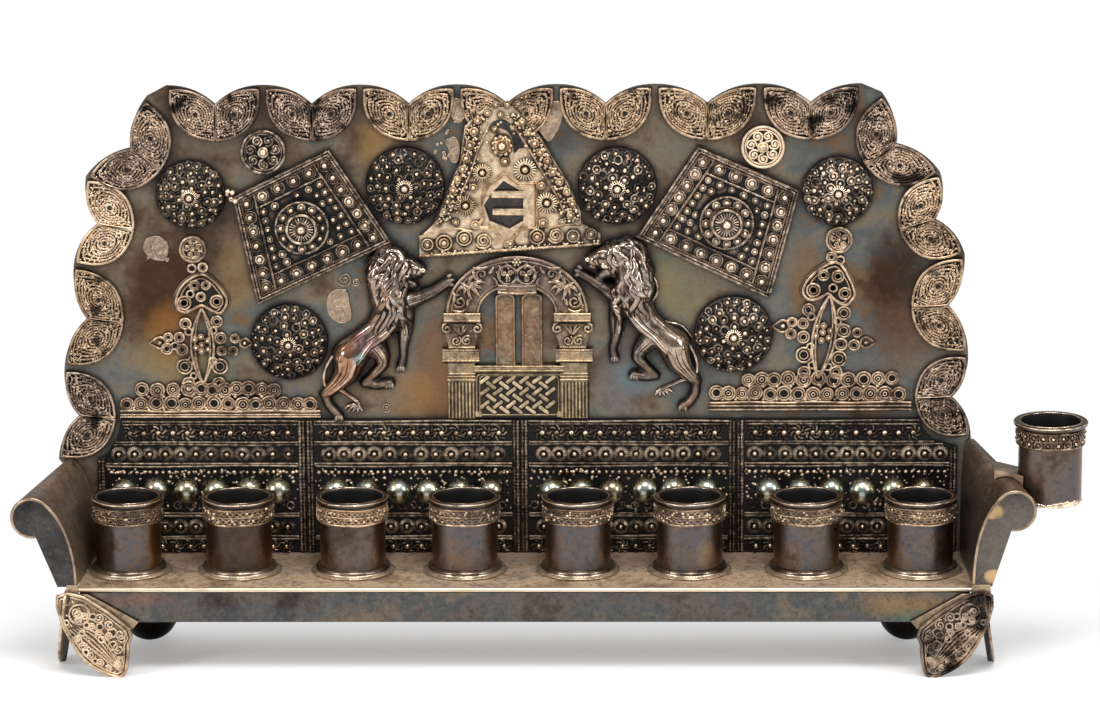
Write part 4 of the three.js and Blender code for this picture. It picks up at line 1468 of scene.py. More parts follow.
class Filigree:
    """Wires, granules, rings and plates laid on one ground and gathered into one patch.

    Attributes:
        soil_and_shade_reach: How far plates get painted shade and dirt beside what stands on them, in millimetres.
        soil_and_shade: How dark that painted shade and dirt is.
        middle_tone: The asked tone of a wire that gets the middle tone.
        tone_share: How much of a wire's difference from it stays.
        tone_spread: How far the tones of equal wires differ.
        pit_depth: How deep a pit's disc reaches.
        pit_sides: The number of its corners.
        soil_and_shade_margin: How far the map of what stands on a plate passes that plate.
        soil_and_shade_weight: How quickly height counts in that map.
    """

    soil_and_shade_reach: float = 0.5
    soil_and_shade: float = 1.9
    middle_tone: float = 0.68
    tone_share: float = 0.6
    tone_spread: float = 0.12
    pit_depth: float = 0.4
    pit_sides: int = 14
    soil_and_shade_margin: float = 3.0
    soil_and_shade_weight: float = 3.0

    def __init__(self, stock: Stock, seed: int) -> None:
        """Starts empty work with its own row of random numbers.

        Args:
            stock: The shapes that it may repeat.
            seed: The seed of its random numbers.
        """
        self.stock = stock
        self.chance = np.random.default_rng(seed)
        self.wires: list[Wire] = []
        self.stamps: dict[Stamp, list[tuple[Matrix, float]]] = {}
        self.plates: list[Patch] = []

    def tone(self, middle: float, spread: float = 0.22) -> float:
        """A tone near the middle one."""
        return float(np.clip(middle + self.chance.uniform(-spread, spread), 0, 1))

    def wire(
        self,
        path: Sequence[Sequence[float]],
        radius: float,
        lift: float,
        draw: Draw = Draw.PLAIN,
        closed: bool = False,
        tone: float = 0.5,
        hand: int = 1,
        dark: bool = False,
        lit: bool = False,
    ) -> None:
        """Lays one wire.

        Args:
            path: Points as x and z, or as x, z and height.
            radius: The wire's radius.
            lift: The height of its axis, added to any height in the path.
            draw: How it is worked.
            closed: Whether it returns to its start.
            tone: How rubbed it is.
            hand: Which way it is twisted.
            dark: Whether it is painted as dark as the hollows, as painted shade in a crease or under a ledge.
            lit: Whether it is painted as bright as the highest places, as a painted highlight.
        """
        full = [(p[0], p[1], (p[2] if len(p) > 2 else 0.0) + lift) for p in path]
        rubbed = self.tone(0.5 + (tone - self.middle_tone) * self.tone_share, self.tone_spread)
        # Wires of painted shade and painted highlights are marked here and settled when they are swept.
        mark = PAINTED_SHADE_MARK if dark else PAINTED_HIGHLIGHT_MARK if lit else rubbed
        self.wires.append(Wire(full, radius, draw, closed, mark, hand))

    def stamp(
        self, kind: Stamp, x: float, z: float, radius: float, lift: float, tone: float = 0.5, flat: float = 1.0
    ) -> None:
        """Sets one small shape at a random turn.

        Args:
            kind: Which shape.
            x: Its place across.
            z: Its place up.
            radius: Its radius.
            lift: The height of its middle.
            tone: How rubbed it is.
            flat: Its thickness as a share of its natural one.
        """
        if kind is Stamp.GRANULE and radius < FINE_GRAIN:
            kind = Stamp.GRAIN
        self.shaped(kind, (x, z, lift), (radius, radius, radius * flat), self.chance.uniform(0, 360), tone)

    def shaped(
        self, kind: Stamp, place: Sequence[float], size: Sequence[float], angle: float = 0.0, tone: float = 0.5
    ) -> None:
        """Sets one small shape, stretched and turned.

        Args:
            kind: Which shape.
            place: Its x, z and height.
            size: Its half sizes along, across and up.
            angle: Its turn on the plate in degrees.
            tone: How rubbed it is.
        """
        turn = Matrix.Rotation(math.radians(angle), 4, "Z")
        matrix = Matrix.Translation(place) @ turn @ Matrix.Diagonal((*size, 1))
        self.stamps.setdefault(kind, []).append((matrix, self.tone(tone)))

    def pit(self, x: float, z: float, radius: float, lift: float) -> None:
        """A flat disc of ground in the colour of the hollows: tarnish with painted shade."""
        self.plate(circle(x, z, radius, self.pit_sides), lift - self.pit_depth, lift)
        self.plates[-1].height[:] = 0

    def daisy(self, x: float, z: float, radius: float, ground: float, tone: float = 0.7) -> None:
        """A granule in a ring with a milled collar round it.

        Args:
            x: Its place across.
            z: Its place up.
            radius: Its radius.
            ground: The height of the ground under it.
            tone: How rubbed its collar and ring are.
        """
        self.pit(x, z, radius * 0.97, ground + 0.04)
        self.stamp(Stamp.TICKS, x, z, radius, ground + radius * 0.2, tone)
        self.wire(circle(x, z, radius * 0.56, 14), radius * 0.1, ground + radius * 0.24, closed=True, tone=tone)
        self.stamp(Stamp.GRANULE, x, z, radius * 0.32, ground + radius * 0.4, 1.0)

    def eye(self, x: float, z: float, radius: float, ground: float, ring: Stamp = Stamp.RING) -> None:
        """A ring with a granule in it, the commonest ornament of the lamp.

        Args:
            x: Its place across.
            z: Its place up.
            radius: Its radius.
            ground: The height of the ground under it.
            ring: The shape of its ring.
        """
        thick = 0.3 * radius
        self.pit(x, z, radius * 0.9, ground + 0.04)
        self.stamp(ring, x, z, radius - thick, ground + thick * 0.8, 0.45)
        self.stamp(Stamp.GRANULE, x, z, radius * 0.5, ground + radius * 0.5, 0.95)

    def plate(
        self,
        outline: Sequence[Pair],
        low: float,
        high: float,
        soften: float = 0.0,
        tone: float = 0.4,
        pitch: float = 0.0,
    ) -> None:
        """Lays a flat plate.

        Args:
            outline: Its corners, in either direction.
            low: Height of its back.
            high: Height of its front.
            soften: Width of the bevel round its front edge.
            tone: How rubbed it is.
            pitch: The size of the squares that it is cut into; 0 leaves it whole.
        """
        bm = bmesh.new()
        bm.faces.new([bm.verts.new((x, z, low)) for x, z in outline])
        if pitch:
            dice(bm, pitch)
        bmesh.ops.recalc_face_normals(bm, faces=bm.faces)
        if bm.faces[:][0].normal.z < 0:
            bmesh.ops.reverse_faces(bm, faces=bm.faces)
        raised = bmesh.ops.extrude_face_region(bm, geom=list(bm.faces))["geom"]
        top = [item for item in raised if isinstance(item, bmesh.types.BMVert)]
        bmesh.ops.translate(bm, verts=top, vec=(0, 0, high - low))
        bmesh.ops.recalc_face_normals(bm, faces=bm.faces)
        if soften:
            edges = [e for e in bm.edges if all(abs(v.co.z - high) < 1e-5 for v in e.verts) and len(e.link_faces) == 2]
            rim = [e for e in edges if any(abs(f.normal.z) < 0.5 for f in e.link_faces)]
            bmesh.ops.bevel(
                bm, geom=rim, offset=soften, segments=2, profile=0.5, affect="EDGES", material=-1, clamp_overlap=True
            )
        bmesh.ops.triangulate(bm, faces=[f for f in bm.faces if len(f.verts) > 4])
        self.plates.append(Patch.of_mesh(mesh_of(bm), tone, False))

    def cutout(
        self,
        outlines: Sequence[Sequence[Pair]],
        low: float,
        high: float,
        soften: float = 0.15,
        tone: float = 0.5,
        pitch: float = 0.0,
    ) -> None:
        """Lays a flat plate with holes.

        Args:
            outlines: Its outer edge and its holes.
            low: Height of its back.
            high: Height of its front.
            soften: Width of the bevel round all its edges.
            tone: How rubbed it is.
            pitch: The size of the squares that it is cut into; 0 leaves it whole.
        """
        curve = bpy.data.curves.new("cutout", "CURVE")
        curve.dimensions = "2D"
        curve.fill_mode = "BOTH"
        curve.extrude = (high - low) / 2 - soften
        curve.bevel_depth = soften
        curve.bevel_resolution = 1
        curve.offset = -soften
        for outline in outlines:
            add_outline(curve, outline)
        holder = bpy.data.objects.new("cutout", curve)
        bm = bmesh.new()
        bm.from_mesh(baked(holder))
        bmesh.ops.remove_doubles(bm, verts=bm.verts, dist=1e-4)
        if pitch:
            dice(bm, pitch)
        bmesh.ops.recalc_face_normals(bm, faces=bm.faces)
        bmesh.ops.translate(bm, verts=bm.verts, vec=(0, 0, (high + low) / 2))
        self.plates.append(Patch.of_mesh(mesh_of(bm), tone, False))
        bpy.data.objects.remove(holder)
        bpy.data.curves.remove(curve)

    def patch(self) -> Patch:
        """Gathers everything laid so far and paints shade and dirt on the plates beside what stands on them.

        Returns:
            The plates, the wires and the stamps as one patch.
        """
        parts = []
        for section in Section:
            wires = [wire for wire in self.wires if wire.section is section]
            if wires:
                parts.append(swept(wires, section))
        for kind, places in self.stamps.items():
            parts.append(self.stock.shapes[kind].repeated([p for p, _ in places], [t for _, t in places]))
        if parts:
            raised = np.concatenate([part.points for part in parts])
            for plate in self.plates:
                self._soil_and_shade(plate, raised)
        return Patch.joined([*self.plates, *parts])

    def _soil_and_shade(self, plate: Patch, raised: np.ndarray) -> None:
        """Lowers a plate's heights beside the points that stand on it, which paints shade and dirt there.

        Args:
            plate: The plate.
            raised: The points of all wires and stamps.
        """
        top = plate.points[:, 2].max()
        on_it = raised[raised[:, 2] > top + 0.1]
        flat = plate.points[:, :2]
        grime_and_shade = GrimeAndShade(tuple(flat.min(axis=0) - self.soil_and_shade_margin), tuple(flat.max(axis=0) + self.soil_and_shade_margin))
        grime_and_shade.add(on_it[:, 0], on_it[:, 1], (on_it[:, 2] - top) * self.soil_and_shade_weight)
        plate.height = plate.height * (1 - grime_and_shade.at(flat[:, 0], flat[:, 1], self.soil_and_shade_reach, self.soil_and_shade))


# Pieces


def on_plate(y: float) -> Matrix:
    """Stands work drawn as x, z and height in front of the plane at this y."""
    return Matrix(((1, 0, 0, 0), (0, 0, -1, y), (0, 1, 0, 0), (0, 0, 0, 1)))


@dataclass
class Workshop:
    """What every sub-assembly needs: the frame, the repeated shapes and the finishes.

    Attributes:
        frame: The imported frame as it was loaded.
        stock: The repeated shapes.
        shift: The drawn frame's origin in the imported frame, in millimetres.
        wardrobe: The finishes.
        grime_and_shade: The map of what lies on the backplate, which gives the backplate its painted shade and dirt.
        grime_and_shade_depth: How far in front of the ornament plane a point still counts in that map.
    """

    frame: dict
    stock: Stock
    shift: Vector
    wardrobe: Wardrobe
    grime_and_shade: GrimeAndShade = field(default_factory=lambda: GrimeAndShade((-115, 8), (110, 135)))
    grime_and_shade_depth: float = 8.0

    def piece(
        self, patch: Patch, name: str, finish: Finish, *nodes: str, crease: float = 0.0
    ) -> bpy.types.Object:
        """Turns a patch into a dressed piece that rides on the lamp.

        Args:
            patch: The piece in the drawn frame.
            name: Its name.
            finish: Its finish.
            nodes: The CAD nodes that it replaces.
            crease: The angle in degrees above which an edge stays sharp.

        Returns:
            The piece.
        """
        # What stands near the backplate is marked for the painted shade and dirt beside it.
        near = patch.points[patch.points[:, 1] > ORNAMENT_Y - self.grime_and_shade_depth]
        self.grime_and_shade.add(near[:, 0], near[:, 2], ORNAMENT_Y - near[:, 1])
        obj = patch.to_object(name, self.shift, crease)
        self.wardrobe.dress(obj, finish)
        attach(obj, "root")
        if nodes:
            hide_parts(*nodes)
        LOG.info("%s: %d faces", name, len(obj.data.polygons))
        return obj

    def laid(
        self, work: Filigree, name: str, finish: Finish, *nodes: str, y: float = ORNAMENT_Y, crease: float = 0.0
    ) -> bpy.types.Object:
        """Makes a piece of work that lies on an upright plane, by itself the one of the backplate's ornaments."""
        return self.piece(work.patch().moved(on_plate(y)), name, finish, *nodes, crease=crease)


# Leaves round the edge, and the backplate


@dataclass
class LeafEdge:
    """The fifteen pairs of filigree leaves along the scalloped edge.

    Attributes:
        top_x: The x of the peaks along the top.
        top_z: Their z.
        left: The peaks up the left side.
        right: The peaks down the right side.
        notch_depth: How far the notches lie inside the line of the peaks.
        reach: How far the inner tips lie inside it.
        outer_bulge: How far a leaf's outer edge is bent.
        inner_bulge: How far its inner edge is bent.
        coil_pitch: The distance between its coils of wire.
        rope: Their radius.
        dark: The pairs with the dark finish.
        pale: The pair with the pale finish.
        first_coil: How far its rim wire lies inside the edge.
        heart: What the coils leave free in the middle.
        grains: The number of its granules.
        seed: The seed of its random numbers.
    """

    top_x: tuple[float, ...] = (-81, -59, -37, -15, 7.5, 29.7, 53.5, 76.4)
    top_z: float = 130.2
    left: tuple[Pair, ...] = ((-108.1, 42.8), (-106.1, 64.7), (-103.2, 88.9), (-99.8, 109.4), (-85.5, 127.8))
    right: tuple[Pair, ...] = ((81, 128.2), (94.4, 109.8), (100.2, 90.8), (101.3, 67.6), (102.2, 47.8))
    notch_depth: float = 4.3
    reach: float = 12.8
    outer_bulge: float = 1.2
    inner_bulge: float = 3.8
    coil_pitch: float = 0.6
    rope: float = 0.34
    dark: tuple[str, ...] = ("top_1", "top_2", "left_1", "left_4", "top_7", "right_1", "right_4")
    pale: tuple[str, ...] = ("left_2",)
    first_coil: float = 0.22
    heart: float = 0.55
    grains: int = 190
    seed: int = 100

    def build(self, shop: Workshop) -> None:
        """Makes all the pairs.

        Args:
            shop: What makes and dresses the pieces.
        """
        for side, peaks in self._runs():
            for i, (a, b) in enumerate(zip(peaks, peaks[1:])):
                number = len(peaks) - 1 - i if side == "left" else i + 1
                label = f"{side}_{number}"
                work = Filigree(shop.stock, self.seed + len(label) * 7 + number * 13 + len(side))
                notch, tip = self._fold(a, b)
                for peak in (a, b):
                    outer = Vector(peak).lerp(tip, 0.03).lerp(notch, 0.03)
                    self._leaf(work, tuple(tip), tuple(outer), tuple(notch))
                finish = Finish.DARK_LEAF if label in self.dark else Finish.LEAF
                if label in self.pale:
                    finish = Finish.PALE_LEAF
                shop.laid(work, f"leaves_{label}", finish, f"leaf_pair_{label}")

    def _runs(self) -> tuple[tuple[str, Sequence[Pair]], ...]:
        """The peaks of the edge: up the left side, over the top and down the right side."""
        return ("left", self.left), ("top", [(x, self.top_z) for x in self.top_x]), ("right", self.right)

    def _fold(self, a: Pair, b: Pair) -> tuple[Vector, Vector]:
        """The notch between two peaks, and the inner tip of the pair of leaves that meets there.

        Args:
            a: One peak.
            b: The next peak.

        Returns:
            The notch and the tip.
        """
        start, end = Vector(a), Vector(b)
        chord = end - start
        inward = Vector((chord.y, -chord.x)).normalized()
        middle = (start + end) / 2
        return middle + inward * self.notch_depth, middle + inward * self.reach

    def plate_outline(self) -> list[Pair]:
        """The scalloped outline of the backplate, from its lower left corner round to its lower right one.

        Returns:
            The outline's points.
        """
        (left_x, left_z), (right_x, right_z) = self.left[0], self.right[-1]
        path = quadratic((-BENCH_HALF, BENCH_BOTTOM), (-BENCH_HALF, left_z - 7), (left_x, left_z), 10)[:-1]
        for _, peaks in self._runs():
            for a, b in zip(peaks, peaks[1:]):
                notch = tuple(self._fold(a, b)[0])
                path += [*bent(a, notch, self.outer_bulge, 9)[:-1], *bent(notch, b, self.outer_bulge, 9)[:-1]]
            path.append(peaks[-1])
        return path + quadratic((right_x, right_z), (BENCH_HALF, right_z - 7), (BENCH_HALF, BENCH_BOTTOM), 10)[1:]

    def _leaf(self, work: Filigree, tip: Pair, outer: Pair, notch: Pair) -> None:
        """Lays one leaf: its ground, rim, twisted coils and the eye in the middle.

        Args:
            work: The filigree that it is laid in.
            tip: The inner tip of the pair.
            outer: The leaf's own outer tip.
            notch: The notch beside it.
        """
        side = 1 if (outer[0] - tip[0]) * (notch[1] - tip[1]) - (outer[1] - tip[1]) * (notch[0] - tip[0]) > 0 else -1
        outline = bent(tip, outer, -side * self.inner_bulge, 26)[:-1]
        outline += bent(outer, notch, -side * self.outer_bulge, 18)[:-1]
        outline += bent(notch, tip, -side * 0.15, 18)[:-1]
        work.plate(outline, -GAP, 0.35, 0.0, 0.2)
        ring = np.array(outline)
        centre = ring.mean(axis=0)
        along = np.array(outer) - np.array(tip)
        along /= np.linalg.norm(along)
        across = np.array([-along[1], along[0]])
        away = ring - centre
        half = np.abs(away @ across).max()
        angle = np.arctan2(away @ across, away @ along)
        hand = 1
        depth = self.first_coil
        while depth < half - self.heart:
            share = depth / half
            oval = np.cos(angle)[:, None] * along * 1.3 + np.sin(angle)[:, None] * across
            blend = min(1.0, share * 1.5) ** 0.9
            coil = centre + away * (1 - share) * (1 - blend) + oval * (half - depth) * blend
            path = [tuple(p) for p in coil]
            if share < 0.1:
                work.wire(path, 0.36, 0.78, closed=True, tone=0.7)
                depth += 0.1
            else:
                phase, sway = work.chance.uniform(0, TAU), 0.07 * np.sin(np.arange(len(path)) * 0.9)
                path = [(x + d * math.cos(phase), z + d * math.sin(phase)) for (x, z), d in zip(path, sway)]
                draw = Draw.BEADED if work.chance.random() < 0.65 else Draw.TWISTED
                work.wire(path, self.rope, 0.6 + work.chance.uniform(-0.05, 0.05), draw, True, work.tone(0.6), hand)
            depth += self.coil_pitch
            hand = -hand
        reach = np.linalg.norm(away, axis=1) ** 3
        for i in range(self.grains):
            towards = away[work.chance.choice(len(ring), p=reach / reach.sum() if i % 3 else None)]
            spot = centre + towards * work.chance.uniform(0.02, 0.86) ** 0.55
            work.stamp(Stamp.GRANULE, spot[0], spot[1], work.chance.uniform(0.18, 0.34), 0.66, 0.75)
        work.stamp(Stamp.ROPE_RING, centre[0], centre[1], 0.62, 0.75, 0.6)
        work.pit(centre[0], centre[1], 0.55, 1.0)


@dataclass
class Backplate:
    """The scalloped sheet that carries everything, with painted shade and dirt beside what lies on it.

    Attributes:
        front: How far its front lies behind the ornament plane.
        thick: Its thickness.
        pitch: The size of the squares that it is cut into.
        near_grime_and_shade: Reach and strength of the narrow painted shade and dirt.
        wide_grime_and_shade: Reach and strength of the wide painted shade and dirt.
        seed: The seed of its random numbers.
    """

    front: float = 0.3
    thick: float = 1.0
    pitch: float = 1.0
    near_grime_and_shade: Pair = (0.6, 1.3)
    wide_grime_and_shade: Pair = (2.6, 0.95)
    seed: int = 90

    def build(self, shop: Workshop) -> None:
        """Makes the sheet; it comes after all that lies on it.

        Args:
            shop: What makes and dresses the pieces.
        """
        work = Filigree(shop.stock, self.seed)
        work.plate(LeafEdge().plate_outline(), -self.front - self.thick, -self.front, 0.15, 0.0, self.pitch)
        patch = work.patch()
        across, up = patch.points[:, 0], patch.points[:, 1]
        # Painted shade and dirt darken the front beside the ornaments; the back keeps its full colour.
        near, wide = (shop.grime_and_shade.at(across, up, *grime_and_shade) for grime_and_shade in (self.near_grime_and_shade, self.wide_grime_and_shade))
        patch.height = np.where(patch.points[:, 2] < -self.front - 0.5, 1, 1 - np.clip(near + wide, 0, 1))
        shop.piece(patch.moved(on_plate(ORNAMENT_Y)), "backplate_sheet", Finish.BACKPLATE, "backplate", crease=40)


# Rosettes and plaques


@dataclass
class Rosettes:
    """The domed granulated rosettes and the two small flat ones."""

    large: tuple[Round, ...] = (
        (-75.9, 105.2, 8), (-54.1, 70.8, 8.9), (-27, 107.2, 9), (21.2, 107, 9), (47.6, 72.4, 9), (71.2, 105.7, 8),
    )
    small: dict[str, Round] = field(
        default_factory=lambda: {"left": (-59.2, 115, 5.2), "right": (54.2, 115.9, 5.0)}
    )
    rise: float = 3.3
    rows: tuple[tuple[float, int, float], ...] = ((0.29, 6, 1.25), (0.5, 11, 1.2), (0.7, 15, 1.2), (0.87, 20, 1.05))
    grains: int = 120
    seed: int = 200
    small_seed: int = 260

    def build(self, shop: Workshop) -> None:
        """Makes all the rosettes.

        Args:
            shop: What makes and dresses the pieces.
        """
        for number, (x, z, radius) in enumerate(self.large, 1):
            work = Filigree(shop.stock, self.seed + number)
            self._dome(work, radius)
            patch = work.patch()
            reach = np.hypot(patch.points[:, 0], patch.points[:, 1]) / radius
            patch.points[:, 2] += self.rise * np.clip(1 - reach**2, 0, 1)
            patch.moved(Matrix.Translation((x, z, 0))).moved(on_plate(ORNAMENT_Y))
            finish = Finish.DARK_FILIGREE if number < 4 else Finish.FILIGREE
            shop.piece(patch, f"rosette_work_{number}", finish, f"rosette_{number}")
        for side, (x, z, radius) in self.small.items():
            work = Filigree(shop.stock, self.small_seed + len(side))
            self._flat(work, x, z, radius)
            finish = Finish.FILIGREE if side == "left" else Finish.PALE_LEAF
            shop.laid(work, f"small_rosette_work_{side}", finish, f"small_rosette_{side}")

    def _dome(self, work: Filigree, radius: float) -> None:
        """Lays one large rosette round the origin, before it is domed.

        Args:
            work: The filigree that it is laid in.
            radius: Its radius.
        """
        bm = bmesh.new()
        bmesh.ops.create_grid(bm, x_segments=30, y_segments=30, size=radius)
        for vert in bm.verts:
            reach = max(abs(vert.co.x), abs(vert.co.y))
            if reach > 0:
                vert.co *= reach / vert.co.length
        base = bmesh.ops.extrude_face_region(bm, geom=list(bm.faces))["geom"]
        down = [item for item in base if isinstance(item, bmesh.types.BMVert)]
        bmesh.ops.translate(bm, verts=down, vec=(0, 0, 0.35))
        bmesh.ops.recalc_face_normals(bm, faces=bm.faces)
        work.plates.append(Patch.of_mesh(mesh_of(bm), 0.2))
        work.wire(circle(0, 0, radius - 0.35, 40), 0.34, 0.45, Draw.TWISTED, True, 0.6)
        for share, count, size in self.rows:
            offset = work.chance.uniform(0, TAU)
            for i in range(count):
                angle = offset + TAU * i / count + work.chance.uniform(-0.06, 0.06)
                reach = radius * share + work.chance.uniform(-0.2, 0.2)
                x, z = reach * math.cos(angle), reach * math.sin(angle)
                kind = work.chance.choice([Stamp.SPRING_RING, Stamp.TICKS, Stamp.ROPE_RING])
                work.stamp(kind, x, z, size * (1.0 if kind is Stamp.TICKS else 0.72), 0.72, 0.5)
                if work.chance.random() < 0.88:
                    work.stamp(Stamp.GRANULE, x, z, size * work.chance.uniform(0.34, 0.5), 1.05, 0.85)
        for _ in range(self.grains):
            angle, reach = work.chance.uniform(0, TAU), radius * work.chance.uniform(0.2, 0.95) ** 0.5
            x, z = reach * math.cos(angle), reach * math.sin(angle)
            work.stamp(Stamp.GRANULE, x, z, work.chance.uniform(0.22, 0.34), 0.72, 0.6)
        work.pit(0, 0, 1.9, 0.9)
        work.stamp(Stamp.TICKS, 0, 0, 1.9, 1.15, 1.0)
        work.stamp(Stamp.GRANULE, 0, 0, 0.9, 1.5, 1.0)

    def _flat(self, work: Filigree, x: float, z: float, radius: float) -> None:
        """Lays one small rosette of coils round a granule.

        Args:
            work: The filigree that it is laid in.
            x: Its place across.
            z: Its place up.
            radius: Its radius.
        """
        work.plate(circle(x, z, radius - 0.2, 36), -GAP, 0.4, 0.0, 0.2)
        work.wire(circle(x, z, radius - 0.35, 36), 0.36, 0.7, closed=True, tone=0.85)
        work.wire(circle(x, z, radius - 1.0, 36), 0.28, 0.7, Draw.TWISTED, True, 0.8)
        for i in range(7):
            angle = TAU * (i + 0.3) / 7
            cx, cz = x + (radius - 2.3) * math.cos(angle), z + (radius - 2.3) * math.sin(angle)
            work.wire(scroll(cx, cz, 1.25, math.degrees(angle) + 180, 1.7), 0.24, 0.8, tone=0.85)
            work.stamp(Stamp.GRANULE, cx, cz, 0.3, 0.8, 0.6)
        work.stamp(Stamp.RING, x, z, 1.05, 0.9, 0.6)
        work.stamp(Stamp.GRANULE, x, z, 0.92, 1.05, 1.0)


@dataclass(frozen=True)
class PlaqueShape:
    """Corners of a plaque: the long side's two ends, then the short side's two ends beside them."""

    long_start: Pair
    long_end: Pair
    short_start: Pair
    short_end: Pair
    boss: Pair


@dataclass
class Plaques:
    """The two granulated plaques with their stepped bosses.

    Attributes:
        shapes: The plaques' corners.
        ground: The height of their field.
        border: How far the border's buttons lie inside the edge.
        lane: How far the inner wires lie inside it.
        overrun: How far two of these pass their corners.
        buttons: The number of buttons on each side.
        button_radius: Their radius.
        small_eyes: How far each ring of small eyes lies inside the inner wires, and its numbers on each side.
        boss_room: How close small eyes may come to the boss's middle.
        seed: The seed of their random numbers.
    """

    shapes: dict[str, PlaqueShape] = field(
        default_factory=lambda: {
            "left": PlaqueShape((-61.2, 79.5), (-30.2, 94.1), (-66.4, 104.8), (-44.2, 115.8), (-50.6, 97.8)),
            "right": PlaqueShape((25.5, 95.2), (55.9, 80.7), (39.5, 116.2), (62.6, 106), (46, 98.7)),
        }
    )
    ground: float = 1.0
    border: float = 2.9
    lane: float = 4.9
    overrun: float = 3.2
    buttons: tuple[int, ...] = (8, 7, 6, 7)
    button_radius: float = 1.5
    small_eyes: tuple[tuple[float, tuple[int, ...]], ...] = ((1.35, (8, 7, 6, 7)), (3.4, (6, 5, 4, 5)))
    boss_room: float = 7.1
    seed: int = 300

    def build(self, shop: Workshop) -> None:
        """Makes both plaques.

        Args:
            shop: What makes and dresses the pieces.
        """
        for side, shape in self.shapes.items():
            work = Filigree(shop.stock, self.seed + len(side))
            self._field(work, shape)
            self._boss(work, shape.boss)
            if side == "left":
                for _ in range(7):
                    x = shape.short_start[0] + work.chance.uniform(-1.6, 0.8)
                    z = shape.short_start[1] + work.chance.uniform(-1.4, 1.4)
                    work.stamp(Stamp.GRANULE, x, z, work.chance.uniform(0.4, 0.8), 1.5, 1.0)
            finish = Finish.FILIGREE if side == "left" else Finish.WORN_FILIGREE
            shop.laid(work, f"plaque_work_{side}", finish, f"plaque_{side}")

    @staticmethod
    def _drawn_in(corners: Sequence[Pair], depth: float) -> list[Pair]:
        """The outline moved inwards by depth on every side.

        Args:
            corners: The outline's corners.
            depth: How far each side moves.

        Returns:
            The new corners.
        """
        count = len(corners)
        area = sum(
            corners[i][0] * corners[(i + 1) % count][1] - corners[(i + 1) % count][0] * corners[i][1]
            for i in range(count)
        )
        turn = 1 if area > 0 else -1
        result = []
        for i in range(count):
            before, here, after = (Vector(corners[(i + k) % count]) for k in (-1, 0, 1))
            n1 = Vector((-(here - before).y, (here - before).x)).normalized() * turn
            n2 = Vector((-(after - here).y, (after - here).x)).normalized() * turn
            middle = (n1 + n2).normalized()
            result.append(tuple(here + middle * (depth / max(0.2, middle.dot(n1)))))
        return result

    def _field(self, work: Filigree, shape: PlaqueShape) -> None:
        """Lays the plate, its border, the dividing wires and the rows of eyes.

        Args:
            work: The filigree that it is laid in.
            shape: The plaque's corners and boss.
        """
        outline = [shape.long_start, shape.long_end, shape.short_end, shape.short_start]
        work.plate(outline, -GAP, self.ground, 0.25, 0.1, 0.5)
        for depth, radius, draw, tone in (
            (0.35, 0.34, Draw.PLAIN, 0.6), (1.0, 0.36, Draw.TWISTED, 0.6), (1.62, 0.24, Draw.PLAIN, 0.5),
        ):
            work.wire(self._closed(self._drawn_in(outline, depth)), radius, self.ground + 0.35, draw, True, tone)
        rows = self._drawn_in(outline, self.border)
        for i, count in enumerate(self.buttons):
            for x, z in side_steps(rows[i], rows[(i + 1) % 4], count)[:-1]:
                self._button(work, x, z, self.button_radius)
        inner = self._drawn_in(outline, self.lane)
        self._lines(work, inner)
        self._scatter(work, inner, shape.boss)

    @staticmethod
    def _closed(corners: Sequence[Pair]) -> list[Pair]:
        """The outline with points along its sides, so that a swept wire turns its corners well.

        Args:
            corners: The outline's corners.

        Returns:
            The corners with points between them.
        """
        path = []
        for i, here in enumerate(corners):
            after = corners[(i + 1) % len(corners)]
            path += side_steps(here, after, 12)[:-1]
        return path

    def _lines(self, work: Filigree, inner: Sequence[Pair]) -> None:
        """The inner wires: two run through to the border, two end at them.

        Args:
            work: The filigree that it is laid in.
            inner: The corners of the inner field.
        """
        lift = self.ground + 0.3
        for leg in (self._through(inner[1], inner[2]), self._through(inner[0], inner[3])):
            work.wire(leg, 0.3, lift, tone=0.5)
            moved = [(x + 0.1, z) for x, z in leg]
            work.wire(moved, 0.3, lift + 0.2, Draw.TWISTED, tone=0.5)
        for a, b in ((inner[0], inner[1]), (inner[3], inner[2])):
            work.wire([a, b], 0.34, lift, Draw.TWISTED, tone=0.55)

    def _through(self, a: Pair, b: Pair) -> list[Pair]:
        """The line from a to b, lengthened at both ends to the border.

        Args:
            a: One corner.
            b: The other corner.

        Returns:
            The line's two ends.
        """
        start, end = Vector(a), Vector(b)
        along = (end - start).normalized()
        return [tuple(start - along * self.overrun), tuple(end + along * self.overrun)]

    def _scatter(self, work: Filigree, inner: Sequence[Pair], boss: Pair) -> None:
        """Small eyes between the boss and the inner wires.

        Args:
            work: The filigree that it is laid in.
            inner: The corners of the inner field.
            boss: The middle of the boss.
        """
        for depth, counts in self.small_eyes:
            ring = self._drawn_in(inner, depth)
            for i, count in enumerate(counts):
                for x, z in side_steps(ring[i], ring[(i + 1) % 4], count)[:-1]:
                    if math.hypot(x - boss[0], z - boss[1]) > self.boss_room:
                        work.eye(x, z, work.chance.uniform(0.85, 1.15), self.ground, Stamp.ROPE_RING)

    def _button(self, work: Filigree, x: float, z: float, radius: float) -> None:
        """Lays one button of the border: a granule in a plain ring with a finer twisted one round it.

        Args:
            work: The filigree that it is laid in.
            x: Its place across.
            z: Its place up.
            radius: Its radius.
        """
        work.stamp(Stamp.RING, x, z, radius * 0.62, self.ground + 0.25, 0.55)
        work.wire(circle(x, z, radius * 0.98, 16), 0.2, self.ground + 0.15, Draw.BEADED, True, 0.6)
        work.stamp(Stamp.GRANULE, x, z, radius * 0.46, self.ground + radius * 0.46, 1.0)

